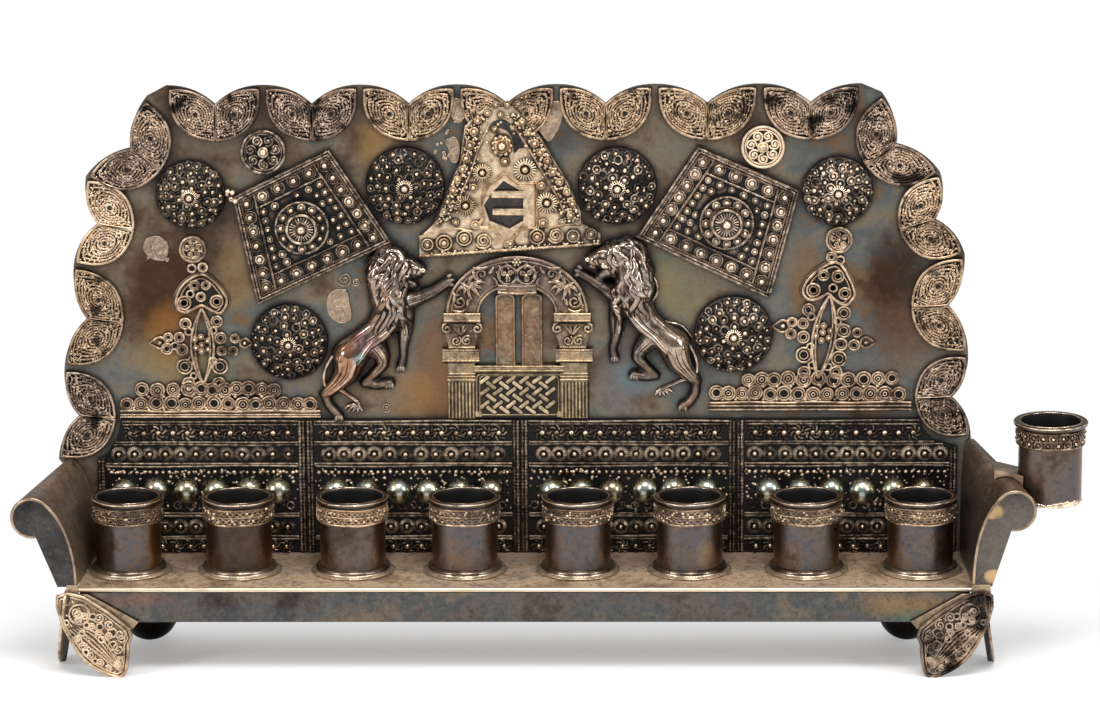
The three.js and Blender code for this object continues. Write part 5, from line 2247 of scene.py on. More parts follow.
    def _boss(self, work: Filigree, centre: Pair) -> None:
        """Lays the boss: a ring of eyes, a raised drum, a milled coil and a granule.

        Args:
            work: The filigree that it is laid in.
            centre: Its middle.
        """
        x, z = centre
        work.plate(circle(x, z, 6.1, 44), self.ground, 2.5, 0.3, 0.2, 0.6)
        work.wire(circle(x, z, 5.95, 44), 0.4, 2.55, Draw.TWISTED, True, 0.7)
        work.wire(circle(x, z, 3.75, 36), 0.25, 2.6, Draw.TWISTED, True, 0.6)
        for i in range(12):
            angle = TAU * i / 12
            work.eye(x + 4.75 * math.cos(angle), z + 4.75 * math.sin(angle), 1.1, 2.5)
        work.plate(circle(x, z, 3.45, 36), 2.5, 4.1, 0.25, 0.5)
        work.wire(circle(x, z, 3.3, 36), 0.36, 4.15, closed=True, tone=0.75)
        work.pit(x, z, 3.0, 4.14)
        for i in range(24):
            angle = TAU * i / 24
            c, s = math.cos(angle), math.sin(angle)
            work.wire([(x + 1.5 * c, z + 1.5 * s, 0.3), (x + 2.7 * c, z + 2.7 * s, 0.1)], 0.16, 4.25, tone=1.0)
        work.wire(circle(x, z, 1.3, 20), 0.2, 4.6, closed=True, tone=0.6)
        work.stamp(Stamp.BALL, x, z, 1.0, 4.9, 1.0)


# Panels


class Kind(Enum):
    """What a row of a panel is made of."""

    ROPE = "rope"
    PINWHEEL = "pinwheel"
    DAISY = "daisy"
    GRAIN = "grain"
    SEAT = "seat"
    RING = "ring"


@dataclass(frozen=True)
class Row:
    """One row of a panel: what it is made of, its height, and its pitch and size."""

    kind: Kind
    z: float
    pitch: float = 0.0
    size: float = 0.0


@dataclass
class Panels:
    """The four filigree panels behind the cups.

    Attributes:
        edges: The x of their edges from left to right.
        bottom: The z of their lower edge.
        ground: The height of their plates.
        ball_radius: The radius of the large balls.
        ball_pitch: The distance between them.
        ball_z: Their z.
        cut_left: The cut corner at the far left.
        cut_right: The cut corner at the far right.
        rows: Their rows from the top down.
        balls: The number of large balls on each.
        grains: The number of loose granules on each.
        seed: The seed of their random numbers.
        ball_seed: The seed of the balls' random numbers.
    """

    edges: tuple[float, ...] = (-99.1, -50.8, -1.4, 48.3, 99.1)
    bottom: float = 20.8
    ground: float = 0.5
    ball_radius: float = 3.15
    ball_pitch: float = 7.1
    ball_z: float = 35.8
    cut_left: tuple[Pair, ...] = ((-93.2, 52.4), (-94.6, 47.4), (-97, 44.2), (-99.1, 42.6))
    cut_right: tuple[Pair, ...] = ((99.1, 45.8), (93.4, 47.2), (90.6, 50.6), (89.8, 52.4))
    rows: tuple[Row, ...] = (
        Row(Kind.ROPE, 51.95), Row(Kind.ROPE, 51.2), Row(Kind.PINWHEEL, 49.2, 3.3, 1.8), Row(Kind.ROPE, 47.0),
        Row(Kind.ROPE, 46.4), Row(Kind.DAISY, 44.2, 3.55, 1.8), Row(Kind.ROPE, 41.9), Row(Kind.ROPE, 41.3),
        Row(Kind.GRAIN, 39.9, 1.5, 0.5), Row(Kind.SEAT, 35.8, 7.1, 2.2), Row(Kind.RING, 32.0, 2.9, 1.1),
        Row(Kind.ROPE, 30.0), Row(Kind.ROPE, 29.4), Row(Kind.DAISY, 26.9, 3.55, 1.8), Row(Kind.ROPE, 24.5),
        Row(Kind.ROPE, 23.9), Row(Kind.PINWHEEL, 22.1, 3.2, 1.6),
    )
    balls: int = 6
    grains: int = 230
    seed: int = 400
    ball_seed: int = 450

    def build(self, shop: Workshop) -> None:
        """Makes the panels and their balls.

        Args:
            shop: What makes and dresses the pieces.
        """
        for index in range(4):
            left, right = self.edges[index], self.edges[index + 1]
            work = Filigree(shop.stock, self.seed + index)
            work.plate(self._outline(index), -GAP, self.ground, 0.0, 0.15)
            for x in (left + 0.55, left + 1.35, right - 1.35, right - 0.55):
                top = min(PANEL_TOP, self._ceiling(index, x)) - 0.3
                work.wire([(x, self.bottom + 0.2), (x, top)], 0.42, self.ground + 0.25, Draw.BEADED, tone=0.75)
            for row in self.rows:
                self._row(work, row, index, left + 2.0, right - 2.0)
            for _ in range(self.grains):
                x, z = work.chance.uniform(left + 2, right - 2), work.chance.uniform(30.6, 40.6)
                if z < self._ceiling(index, x) - 1:
                    work.stamp(Stamp.GRANULE, x, z, work.chance.uniform(0.25, 0.5), self.ground + 0.3, 0.7)
            shop.laid(work, f"panel_work_{index + 1}", Finish.DARK_FILIGREE, f"panel_{index + 1}")
            self._balls(shop, index, (left + right) / 2)

    def _outline(self, index: int) -> list[Pair]:
        """The panel's outline, with the outer corners cut away.

        Args:
            index: The panel's number from the left, from 0.

        Returns:
            The outline's points.
        """
        left = self.edges[index] + (0.0 if index == 0 else 0.15)
        right = self.edges[index + 1] - (0.0 if index == 3 else 0.15)
        upper_right = list(self.cut_right) if index == 3 else [(right, PANEL_TOP)]
        upper_left = list(self.cut_left) if index == 0 else [(left, PANEL_TOP)]
        return [(left, self.bottom), (right, self.bottom), *upper_right, *upper_left]

    def _ceiling(self, index: int, x: float) -> float:
        """How high the panel reaches at this x.

        Args:
            index: The panel's number from the left, from 0.
            x: The place across.

        Returns:
            The z of its upper edge.
        """
        if index == 0 and x < self.cut_left[0][0]:
            cut = sorted(self.cut_left)
        elif index == 3 and x > self.cut_right[-1][0]:
            cut = sorted(self.cut_right)
        else:
            return PANEL_TOP
        return float(np.interp(x, [c[0] for c in cut], [c[1] for c in cut]))

    def _row(self, work: Filigree, row: Row, index: int, left: float, right: float) -> None:
        """Lays one row between two ends.

        Args:
            work: The filigree that it is laid in.
            row: The row.
            index: The panel's number from the left, from 0.
            left: Where it may start.
            right: Where it has to end.
        """
        room = 0.3 if row.kind is Kind.ROPE else 0.8
        fits = [x for x in np.arange(left, right, 0.5) if self._ceiling(index, float(x)) > row.z + room]
        left, right = float(min(fits)), float(max(fits)) + 0.45
        if row.kind is Kind.ROPE:
            sag = 0.15 * math.sin(row.z * 3)
            path = [(x, row.z + sag * math.sin((x - left) / 7)) for x in np.linspace(left, right, 14)]
            work.wire(path, 0.36, self.ground + 0.28, Draw.TWISTED, tone=0.8, hand=1 if row.z % 1 < 0.5 else -1)
            return
        count = max(1, int((right - left - 2 * row.size) / row.pitch) + 1)
        if row.kind is Kind.SEAT:
            count = self.balls
        first = (left + right) / 2 - (count - 1) * row.pitch / 2
        for i in range(count):
            x = first + i * row.pitch + work.chance.uniform(-0.1, 0.1)
            z = row.z + work.chance.uniform(-0.08, 0.08)
            self._item(work, row, x, z)

    def _item(self, work: Filigree, row: Row, x: float, z: float) -> None:
        """Sets one ornament of a row.

        Args:
            work: The filigree that it is laid in.
            row: The row that it belongs to.
            x: Its place across.
            z: Its place up.
        """
        ground = self.ground
        if row.kind is Kind.PINWHEEL:
            work.stamp(Stamp.PINWHEEL, x, z, row.size, ground + 0.3, 0.38)
            work.stamp(Stamp.GRANULE, x, z, row.size * 0.4, ground + 0.45, 0.85)
        elif row.kind is Kind.DAISY:
            work.daisy(x, z, row.size, ground, 0.65)
        elif row.kind is Kind.GRAIN:
            work.stamp(Stamp.GRANULE, x, z, row.size, ground + 0.4, 0.8)
        elif row.kind is Kind.SEAT:
            work.stamp(Stamp.SPRING_RING, x, z, row.size, ground + 0.5, 0.5)
        else:
            work.stamp(Stamp.ROPE_RING, x, z, row.size * 0.75, ground + 0.35, 0.5)

    def _balls(self, shop: Workshop, index: int, middle: float) -> None:
        """Makes one panel's row of large balls, each a little different.

        Args:
            shop: What makes and dresses the pieces.
            index: The panel's number from the left, from 0.
            middle: The x of the panel's middle.
        """
        work = Filigree(shop.stock, self.ball_seed + index)
        for i in range(self.balls):
            x = middle + (i - (self.balls - 1) / 2) * self.ball_pitch + work.chance.uniform(-0.25, 0.25)
            z = self.ball_z + work.chance.uniform(-0.2, 0.2)
            radius = self.ball_radius * work.chance.uniform(0.93, 1.0)
            work.stamp(Stamp.BALL, x, z, radius, self.ground + 1.55, 0.5, 0.95)
        shop.laid(work, f"panel_balls_{index + 1}", Finish.BALL)


# Trees


@dataclass(frozen=True)
class TreePlan:
    """Where one tree's wires, rings and band lie."""

    disc: Round
    neck: tuple[Round, ...]
    lobe: tuple[Pair, ...]
    lobe_rings: tuple[Round, ...]
    slit: tuple[Pair, Pair]
    grains: tuple[Pair, ...]
    rings: tuple[Round, ...]
    drops: tuple[tuple[float, float, float, float], ...]
    band_ends: Pair
    rows: tuple[tuple[float, ...], ...]
    row_z: Pair
    lines: tuple[float, float, float]


LEFT_TREE = TreePlan(
    disc=(-75.8, 92.4, 3.14),
    neck=((-73.6, 88.2, 1.0), (-76.1, 88, 0.9)),
    lobe=(
        (-74.2, 86.6), (-77.4, 84.9), (-79.1, 82.9), (-80, 80.3), (-79.5, 78.5), (-77.9, 77.6), (-75.9, 78.5),
        (-74.1, 79.3), (-72.3, 78.4), (-70.4, 77.4), (-69.1, 78.2), (-68.2, 80.4), (-69.1, 82.3), (-71.3, 85.1),
    ),
    lobe_rings=(
        (-75.6, 84, 1.09), (-73, 84, 0.96), (-78.1, 79.9, 1.5), (-74.2, 81.3, 1.0), (-70.6, 80.2, 1.4),
        (-76.6, 82, 0.8),
    ),
    slit=((-74.1, 78.6), (-74.1, 60.8)),
    grains=((-74.4, 71.9), (-75.9, 71.3), (-72.9, 71), (-74.2, 70), (-75.6, 69.3), (-72.8, 69), (-74.3, 68.5)),
    rings=(
        (-77.9, 75, 1.23), (-79.4, 71.8, 1.09), (-81.9, 71.8, 0.96), (-82.3, 69.1, 1.23), (-78.8, 68.9, 1.23),
        (-80.4, 69.8, 0.82), (-70.7, 75.5, 1.23), (-69.9, 71.6, 1.23), (-66.6, 71.5, 0.96), (-69.7, 68.6, 1.04),
        (-67.1, 68.5, 1.04), (-78.3, 64.9, 1.69), (-70.2, 64.9, 1.69), (-77.5, 60.9, 1.36), (-70.5, 60.9, 1.36),
        (-77.2, 73.1, 0.8), (-71.6, 73.4, 0.8), (-76.6, 66.4, 0.8), (-71.8, 66.2, 0.8), (-76.3, 62.7, 0.7),
    ),
    drops=((-83.9, 70.5, 1.36, -1), (-64.4, 70.4, 1.09, 1)),
    band_ends=(-93.4, -47.3),
    rows=(
        (-88.2, -84.8, -81.1, -77.5, -74.6, -72, -69.2, -66.6, -63.7, -60.8, -57.8),
        (-91.9, -88.6, -85.1, -81.6, -78.4, -75.2, -71.8, -68.4, -65.3, -62.3, -59.2, -55.8, -52.5, -49.7),
    ),
    row_z=(59.5, 56.1),
    lines=(54.3, 53.5, 52.95),
)
RIGHT_TREE = TreePlan(
    disc=(71.6, 94.3, 3.09),
    neck=((69.9, 90.3, 1.1), (71.9, 89.6, 0.88)),
    lobe=(
        (70.9, 89.2), (66.1, 86.7), (63.5, 83.1), (64.1, 80.9), (65.9, 80.3), (67.7, 81.1), (69.3, 81.8),
        (70.7, 80.3), (73, 79.1), (74.5, 80.2), (75.2, 82.1), (73.6, 86.1),
    ),
    lobe_rings=((68.1, 86.1, 1.18), (71.4, 85.8, 1.32), (65.8, 82.6, 1.5), (73, 81.8, 1.32), (70.3, 83.1, 0.88)),
    slit=((69.6, 81.4), (67, 62)),
    grains=((66.7, 74.2), (68.2, 74.3), (69.8, 73.1), (68, 72.7), (66.4, 71.9), (69.4, 71.4), (67.7, 70.8)),
    rings=(
        (64.7, 78, 1.32), (63.5, 74.8, 1.18), (61, 75.1, 1.03), (60.7, 72.4, 1.12), (63.6, 71.6, 1.32),
        (72.8, 77.2, 1.47), (72.8, 73.1, 1.47), (75.9, 72.6, 1.03), (75.2, 69.7, 1.18), (72.2, 69.9, 1.32),
        (63.7, 67.4, 1.71), (71.7, 66.5, 1.71), (63.8, 63.3, 1.32), (71.1, 63.3, 1.32), (65.4, 76.4, 0.8),
        (71.4, 75.3, 0.8), (65.2, 69.3, 0.8), (65.6, 65, 0.8), (69.2, 64.6, 0.8),
    ),
    drops=((58.9, 74.2, 1.41, -1), (77.9, 70.3, 1.24, 1)),
    band_ends=(42, 88.4),
    rows=(
        (51, 54, 57, 60.2, 63.6, 67, 70.6, 74, 77.4, 80.7, 83.8),
        (43.6, 46.6, 49.7, 52.8, 56, 59.2, 62.4, 65.8, 69.2, 72.6, 75.8, 79, 82.2, 85.4),
    ),
    row_z=(61.7, 58.3),
    lines=(56.2, 55.4, 54.5),
)


@dataclass
class Trees:
    """The two filigree trees and the bands that they stand on."""

    plans: dict[str, TreePlan] = field(default_factory=lambda: {"left": LEFT_TREE, "right": RIGHT_TREE})
    wire: float = 0.3
    lift: float = 0.45
    seed: int = 500
    band_seed: int = 520

    def build(self, shop: Workshop) -> None:
        """Makes both trees and both bands.

        Args:
            shop: What makes and dresses the pieces.
        """
        for side, plan in self.plans.items():
            work = Filigree(shop.stock, self.seed + len(side))
            self._disc(work, plan.disc)
            self._stem(work, plan)
            for x, z, radius, way in plan.drops:
                work.wire(self._drop(x, z, radius, way), self.wire, self.lift, closed=True, tone=0.6)
                work.stamp(Stamp.GRANULE, x, z, radius * 0.4, self.lift, 0.8)
            shop.laid(work, f"tree_work_{side}", Finish.TREE, f"tree_{side}")
            band = Filigree(shop.stock, self.band_seed + len(side))
            self._band(band, plan)
            shop.laid(band, f"band_work_{side}", Finish.TREE, f"band_{side}")

    @staticmethod
    def _drop(x: float, z: float, radius: float, way: float) -> list[Pair]:
        """A teardrop whose tip points left for -1 and right for 1."""
        path = arc(x, z, radius, radius, 55, 305, 12) if way > 0 else arc(x, z, radius, radius, 235, 485, 12)
        return [*path, (x + way * radius * 1.8, z)]

    def _disc(self, work: Filigree, disc: Round) -> None:
        """Lays the disc at the tree's top: a rim, small scrolls and an eye.

        Args:
            work: The filigree that it is laid in.
            disc: Its middle and its radius.
        """
        x, z, radius = disc
        work.pit(x, z, radius - 0.2, 0.1)
        for _ in range(12):
            angle, reach = work.chance.uniform(0, TAU), work.chance.uniform(1.2, 2.4)
            size = (work.chance.uniform(0.3, 0.7), 0.3, 0.25)
            place = (x + reach * math.cos(angle), z + reach * math.sin(angle), 0.3)
            work.shaped(Stamp.BALL, place, size, work.chance.uniform(0, 180), 0.9)
        work.wire(circle(x, z, radius - 0.25, 28), 0.36, self.lift, closed=True, tone=0.65)
        work.wire(circle(x, z, radius - 0.85, 26), 0.24, self.lift, Draw.TWISTED, True, 0.7)
        for i in range(5):
            angle = TAU * i / 5 + 0.4
            cx, cz = x + 1.35 * math.cos(angle), z + 1.35 * math.sin(angle)
            work.wire(scroll(cx, cz, 0.75, math.degrees(angle), 1.4, 14), 0.18, self.lift, tone=0.7)
        work.eye(x, z, 0.75, 0.2)

    def _stem(self, work: Filigree, plan: TreePlan) -> None:
        """Lays the lobe, the slits between double wires, the grains and the rings beside them.

        Args:
            work: The filigree that it is laid in.
            plan: Where the tree's parts lie.
        """
        work.plate(rounded(plan.lobe, steps=3), -GAP, 0.12)
        # The lobe's ground takes the colour of the hollows: tarnish with painted shade.
        work.plates[-1].height[:] = 0
        centre = np.array(plan.lobe).mean(axis=0)
        for grow, radius, draw in ((1.0, 0.36, Draw.PLAIN), (0.84, 0.24, Draw.TWISTED), (1.1, 0.2, Draw.PLAIN)):
            line = [tuple(centre + (np.array(p) - centre) * grow) for p in plan.lobe]
            work.wire(rounded(line, steps=3), radius, self.lift if grow < 1.05 else 0.2, draw, True, 0.7)
        for x, z, radius in (*plan.neck, *plan.lobe_rings, *plan.rings):
            self._coil(work, x, z, radius)
        top, bottom = plan.slit
        for bulge, radius, draw in ((1.75, 0.3, Draw.TWISTED), (2.6, 0.34, Draw.PLAIN)):
            for side in (-1, 1):
                work.wire(bent(top, bottom, side * bulge, 16), radius, self.lift, draw, tone=0.8)
        for x, z in plan.grains:
            work.eye(x, z, 0.86, 0.25)

    def _coil(self, work: Filigree, x: float, z: float, radius: float) -> None:
        """Lays one ring: a small scroll in a wire ring, or an eye.

        Args:
            work: The filigree that it is laid in.
            x: Its place across.
            z: Its place up.
            radius: Its radius.
        """
        work.pit(x, z, radius * 1.1, 0.12)
        work.wire(circle(x, z, radius, 20), 0.27, self.lift, closed=True, tone=work.tone(0.8))
        if radius > 0.95:
            work.wire(circle(x, z, radius * 0.58, 16), 0.22, self.lift - 0.05, Draw.BEADED, True, work.tone(0.6))

    def _band(self, work: Filigree, plan: TreePlan) -> None:
        """Lays the two rows of coils and the wires under them.

        Args:
            work: The filigree that it is laid in.
            plan: Where the tree's parts lie.
        """
        for row, z in zip(plan.rows, plan.row_z):
            for x in row:
                spot = (x + work.chance.uniform(-0.15, 0.15), z + work.chance.uniform(-0.25, 0.25))
                radius = 1.7 * work.chance.uniform(0.88, 1.06)
                work.pit(*spot, radius, 0.1)
                work.wire(circle(*spot, radius * 0.93, 22), 0.27, self.lift, closed=True, tone=0.7)
                work.wire(circle(*spot, radius * 0.6, 18), 0.24, self.lift + 0.1, Draw.TWISTED, True, work.tone(0.7))
                if work.chance.random() < 0.6:
                    work.stamp(Stamp.RING, *spot, radius * 0.24, self.lift + 0.1, 0.8)
        low, high = plan.row_z[1], plan.row_z[0]
        for a, b in zip(plan.rows[1], plan.rows[1][1:]):
            middle = (a + b) / 2
            for z in (low - 1.45, (low + high) / 2):
                if z < low or plan.rows[0][0] < middle < plan.rows[0][-1]:
                    work.pit(middle, z, 0.8, 0.08)
                    work.stamp(Stamp.GRANULE, middle, z, 0.42, self.lift, 0.7)
                    work.stamp(Stamp.GRANULE, middle + work.chance.uniform(-0.6, 0.6), z + 0.5, 0.3, self.lift, 0.8)
        start, end = plan.band_ends
        plain, first, second = plan.lines
        bend = [(x, plain + 0.12 * math.sin(x * 0.4)) for x in np.linspace(start, end, 18)]
        work.wire(bend, 0.34, self.lift, tone=0.7)
        for z, hand in ((first, 1), (second, -1)):
            work.wire([(start, z), (end, z)], 0.36, self.lift, Draw.TWISTED, tone=0.65, hand=hand)
        work.cutout([[(start, second - 0.4), (end, second - 0.4), (end, plain), (start, plain)]], -GAP, 0.35, 0.1, 0.2)


# Gable, and the solder beside it


@dataclass
class Gable:
    """The stepped gable with its shield-shaped window."""

    outline: tuple[Pair, ...] = (
        (-24, 90.8), (17.3, 93.6), (17.3, 96.2), (13, 98.4), (12.8, 101.2), (11.7, 104), (9.9, 108), (6.8, 113.3),
        (3.8, 118.4), (0.5, 122.3), (-2.5, 125.6), (-8.9, 125.2), (-13.3, 121), (-13.8, 117.8), (-14.5, 112.2),
        (-16.4, 108.8), (-18.2, 103.9), (-20.4, 98.6), (-23.9, 95.2),
    )
    window: tuple[Pair, ...] = (
        (-4.6, 108.4), (-7.5, 105.4), (-9.1, 102.8), (-7.9, 99.2), (-3.4, 97.3), (-0.2, 99.2), (-0.2, 105.7),
    )
    ground: float = 1.5
    ladder: tuple[Round, ...] = (
        (-15.1, 108.9, 1), (-16.1, 106.4, 1), (-17.4, 103.7, 1), (-18.2, 101.3, 0.9), (-19.7, 98.7, 0.75),
        (-13.9, 111.2, 1), (-13.1, 113.7, 1.2), (-12.2, 116.7, 1.2), (-11.2, 119.9, 1.2), (-10.3, 122.4, 1),
        (-8.1, 124.1, 0.85), (-0.3, 122, 1), (1.1, 119.6, 0.9), (2.5, 117.1, 1.2), (3.7, 115, 1), (5.4, 113, 1.1),
        (6.6, 110.5, 1.1), (8.1, 108.2, 1), (9.7, 105.9, 1), (11, 103.1, 1), (10.6, 100.5, 1), (-6.2, 126.1, 0.75),
        (-3.6, 126.1, 0.85), (-5.2, 123.7, 0.7),
    )
    base: tuple[Round, ...] = (
        (-22.1, 93.7, 1.2), (-18.3, 94.1, 1.7), (-13.7, 95.2, 1.6), (-9.3, 94.6, 1.9), (2.9, 95.5, 1.6),
        (7.2, 95.8, 1.85), (11.1, 95.6, 1.3), (15.2, 96.1, 1.1),
    )
    daisies: tuple[Round, ...] = ((-9.4, 110.4, 2.1), (0.3, 111.1, 2.5), (-13.3, 102.8, 2.25), (5.2, 103.4, 2.35))
    eyes: tuple[Round, ...] = (
        (-11.5, 106.9, 1.1), (-11.1, 98.3, 1.15), (4, 107.3, 1.05), (4.3, 98.7, 1.2), (-4.2, 113, 1.1),
        (-3.2, 93.9, 0.95), (-15.6, 98.9, 0.9), (8.6, 98.9, 0.8), (-6.5, 120.4, 0.8), (-2.4, 120.6, 0.7),
    )
    shield: tuple[Pair, ...] = (
        (-4.3, 110.3), (-1.2, 107.7), (3, 107.9), (2.9, 97.7), (-0.5, 97.6), (-4.2, 93.4), (-7, 97.3), (-10.7, 97.7),
        (-9.4, 99.7), (-10, 102.9), (-8.6, 106.9),
    )
    boss: Pair = (-4.9, 116.7)
    tear: tuple[Pair, ...] = (
        (-7.1, 121.9), (-4.9, 122.7), (-3.2, 121.9), (-1.9, 120.2), (-0.5, 118.1), (0.3, 116.1), (-0.9, 115.9),
        (-2.2, 114.8), (-2.4, 117.4), (-3.4, 119.6), (-5.4, 120.6), (-6.9, 120.6),
    )
    grains: int = 460
    rope_grains: int = 60
    seed: int = 540
    window_seed: int = 542

    def build(self, shop: Workshop) -> None:
        """Makes the gable.

        Args:
            shop: What makes and dresses the pieces.
        """
        work = Filigree(shop.stock, self.seed)
        # Wider and darker painted shade and dirt beside the gable's ornaments.
        work.soil_and_shade_reach, work.soil_and_shade = 0.6, 2.3
        work.cutout([self.outline, self.window], -GAP, self.ground, 0.15, 0.75, 0.55)
        behind = Filigree(shop.stock, self.window_seed)
        window = [(self.window[0][0] + (x + 4.4) * 1.1, 103 + (z - 103) * 1.06) for x, z in self.window]
        behind.plate(window, -0.1, 0.15)
        # A dark sheet of painted shade in the opening beside the boss.
        behind.plate(rounded(self.tear, steps=3), self.ground - 0.3, self.ground + 0.06)
        shop.laid(behind, "gable_window", Finish.DARK_SHEET)
        for x, z, radius in self.ladder:
            work.eye(x, z, radius, self.ground)
        for x, z, radius in self.base:
            if radius > 1.8:
                work.pit(x, z, radius, self.ground + 0.04)
                work.wire(scroll(x, z, radius, 200, 2.6, 40), 0.27, self.ground + 0.25, tone=0.9)
            else:
                work.eye(x, z, radius * 0.8, self.ground)
                work.wire(circle(x, z, radius * 1.02, 22), 0.24, self.ground + 0.2, Draw.BEADED, True, 0.9)
        for x, z, radius in self.daisies:
            work.daisy(x, z, radius, self.ground, 0.8)
        for x, z, radius in self.eyes:
            work.eye(x, z, radius, self.ground)
        self._shield(work)
        self._boss(work)
        self._edges(work)
        shop.laid(work, "gable_work", Finish.GILT, "gable")

    def _shield(self, work: Filigree) -> None:
        """Lays the raised frame round the window and the two plain bars across it.

        Args:
            work: The filigree that it is laid in.
        """
        lift = self.ground + 0.15
        work.wire(self._stitched(self.shield), 0.24, lift, closed=True, tone=0.7)
        centre = np.array(self.shield).mean(axis=0)
        for grow, radius in ((0.93, 0.2), (1.06, 0.2)):
            line = [tuple(centre + (np.array(p) - centre) * grow) for p in self.shield]
            work.wire(self._stitched(line), radius, lift, closed=True, tone=0.6)
        for left, right, low, high in ((-7.4, 0.2, 104.5, 106.1), (-7.2, 0.4, 100.5, 102.0)):
            bar = [(left, low), (right, low - 0.1), (right, high), (left, high - 0.1)]
            work.cutout([bar], self.ground - 1.4, self.ground + 0.1, 0.25, 0.9)
            work.wire([(left + 0.2, low + 0.2), (right, low + 0.1)], 0.3, self.ground + 0.1, Draw.BEADED, tone=1.0)
            work.wire([(left + 0.2, high - 0.3), (right, high - 0.2)], 0.22, self.ground + 0.1, Draw.TWISTED, tone=0.9)

    @staticmethod
    def _stitched(corners: Sequence[Pair]) -> list[Pair]:
        """The outline with extra points on each side, so that its corners stay crisp.

        Args:
            corners: The outline's corners.

        Returns:
            The points on its sides.
        """
        path = []
        for i, here in enumerate(corners):
            after = corners[(i + 1) % len(corners)]
            path += [tuple(np.array(here) + (np.array(after) - np.array(here)) * t) for t in (0.06, 0.5, 0.94)]
        return path

    def _boss(self, work: Filigree) -> None:
        """Lays the boss under the peak: a granule in a wreath of granules.

        Args:
            work: The filigree that it is laid in.
        """
        x, z = self.boss
        work.stamp(Stamp.BALL, x, z, 2.3, self.ground, 0.5, 0.5)
        for i in range(11):
            angle = TAU * i / 11
            radius = work.chance.uniform(0.38, 0.55)
            work.stamp(Stamp.GRANULE, x + 2.05 * math.cos(angle), z + 2.05 * math.sin(angle), radius, 2.2, 0.9)
        work.stamp(Stamp.ROPE_RING, x, z, 1.35, 2.8, 0.6)
        work.stamp(Stamp.BALL, x, z, 0.95, 3.0, 1.0)

    def _edges(self, work: Filigree) -> None:
        """Lays the granulated rope under the base bar and fine wires up the slopes.

        Args:
            work: The filigree that it is laid in.
        """
        bottom = [(-23.6, 91.0), (-10.8, 91.9), (2.3, 92.8), (14.1, 93.5), (17, 93.8)]
        work.wire(bottom, 0.5, self.ground, Draw.TWISTED, tone=0.9)
        for _ in range(self.rope_grains):
            share = work.chance.random()
            x = -23.6 + 40.6 * share
            z = 91.3 + 2.8 * share + work.chance.uniform(-0.35, 0.45)
            work.stamp(Stamp.GRANULE, x, z, work.chance.uniform(0.2, 0.42), self.ground + 0.2, 1.0)
        work.wire([(-24, 95.5), (-19, 96.9), (-15, 97.4), (-11.5, 96.6)], 0.25, self.ground + 0.1, tone=0.7)
        work.wire([(5, 97.3), (9, 98.3), (13, 98.1)], 0.25, self.ground + 0.1, tone=0.7)
        inner_left = [(-7.6, 121.8), (-10.2, 116), (-12, 110.5), (-15.9, 102)]
        inner_right = [(-2, 120.8), (0.8, 116.4), (3.6, 111.6), (7.4, 105), (9.2, 101)]
        work.wire(inner_left, 0.22, self.ground + 0.08, Draw.BEADED, tone=0.8)
        work.wire(inner_right, 0.22, self.ground + 0.08, Draw.BEADED, tone=0.8)
        slopes = {-1: [p for p in self.outline if p[0] < -8.8], 1: [p for p in self.outline if p[0] > -3 and p[1] > 98]}
        rising = {side: sorted((z, x) for x, z in line) for side, line in slopes.items()}
        for _ in range(self.grains):
            side = int(work.chance.choice([-1, 1]))
            z = work.chance.uniform(99, 124)
            edge = rising[side]
            x = float(np.interp(z, [p[0] for p in edge], [p[1] for p in edge]))
            x -= side * (0.5 + abs(work.chance.normal(0, 1.9)))
            work.stamp(Stamp.GRANULE, x, z, work.chance.uniform(0.16, 0.4), self.ground + 0.05, 1.0)


@dataclass
class Solder:
    """Small patches of solder left on the backplate and between the gable and the leaves."""

    pools: tuple[tuple[Pair, ...], ...] = (
        ((-15.6, 127.2), (-12.2, 125.2), (-13.4, 122.9), (-15.0, 121.6), (-16.8, 124.6)),
        ((-17.6, 117.4), (-15.6, 118.2), (-14.6, 116), (-15.2, 112.6), (-16.6, 112.9), (-16.9, 115.2)),
        (
            (1.6, 125.2), (5.2, 126.0), (8.6, 126.2), (8.8, 123.4), (7.6, 119.8), (5.8, 117.4), (4.4, 118.6),
            (2.2, 122.4),
        ),
        (
            (-45.2, 80.5), (-44.9, 77.2), (-43, 75.3), (-41, 75.2), (-39.9, 76.6), (-40.2, 79.2), (-40.8, 82.3),
            (-42.5, 82.9), (-44, 82.4),
        ),
        ((-86.9, 92.2), (-86.2, 94.8), (-83.6, 95.3), (-81.6, 93.6), (-81.8, 91.2), (-82.4, 89.9), (-84.8, 90.1)),
    )
    coils: tuple[Round, ...] = ((-41.2, 85.3, 1.8), (-32.2, 55.0, 1.2), (-38.6, 84.6, 1.0))
    lumps: int = 26
    seed: int = 541

    def build(self, shop: Workshop) -> None:
        """Spreads the pools and lays the thin coils that the solder holds.

        Args:
            shop: What makes and dresses the pieces.
        """
        work = Filigree(shop.stock, self.seed)
        for corners in self.pools:
            work.plate(rounded(corners, steps=4), -GAP, 0.1, 0.12, 0.5, 0.6)
            work.wire(rounded(corners, steps=4), 0.2, 0.02, closed=True, tone=0.8)
            middle = np.array(corners).mean(axis=0)
            for _ in range(self.lumps):
                x, z = middle + work.chance.normal(0, 1.3, 2)
                work.shaped(Stamp.GRANULE, (x, z, 0.0), (work.chance.uniform(0.3, 0.9), 0.45, 0.2), 60, 0.7)
        for x, z, radius in self.coils:
            work.wire(scroll(x, z, radius, 200, 1.8, 30), 0.2, 0.0, tone=0.5)
        shop.laid(work, "backplate_solder", Finish.SOLDER)


# Ark


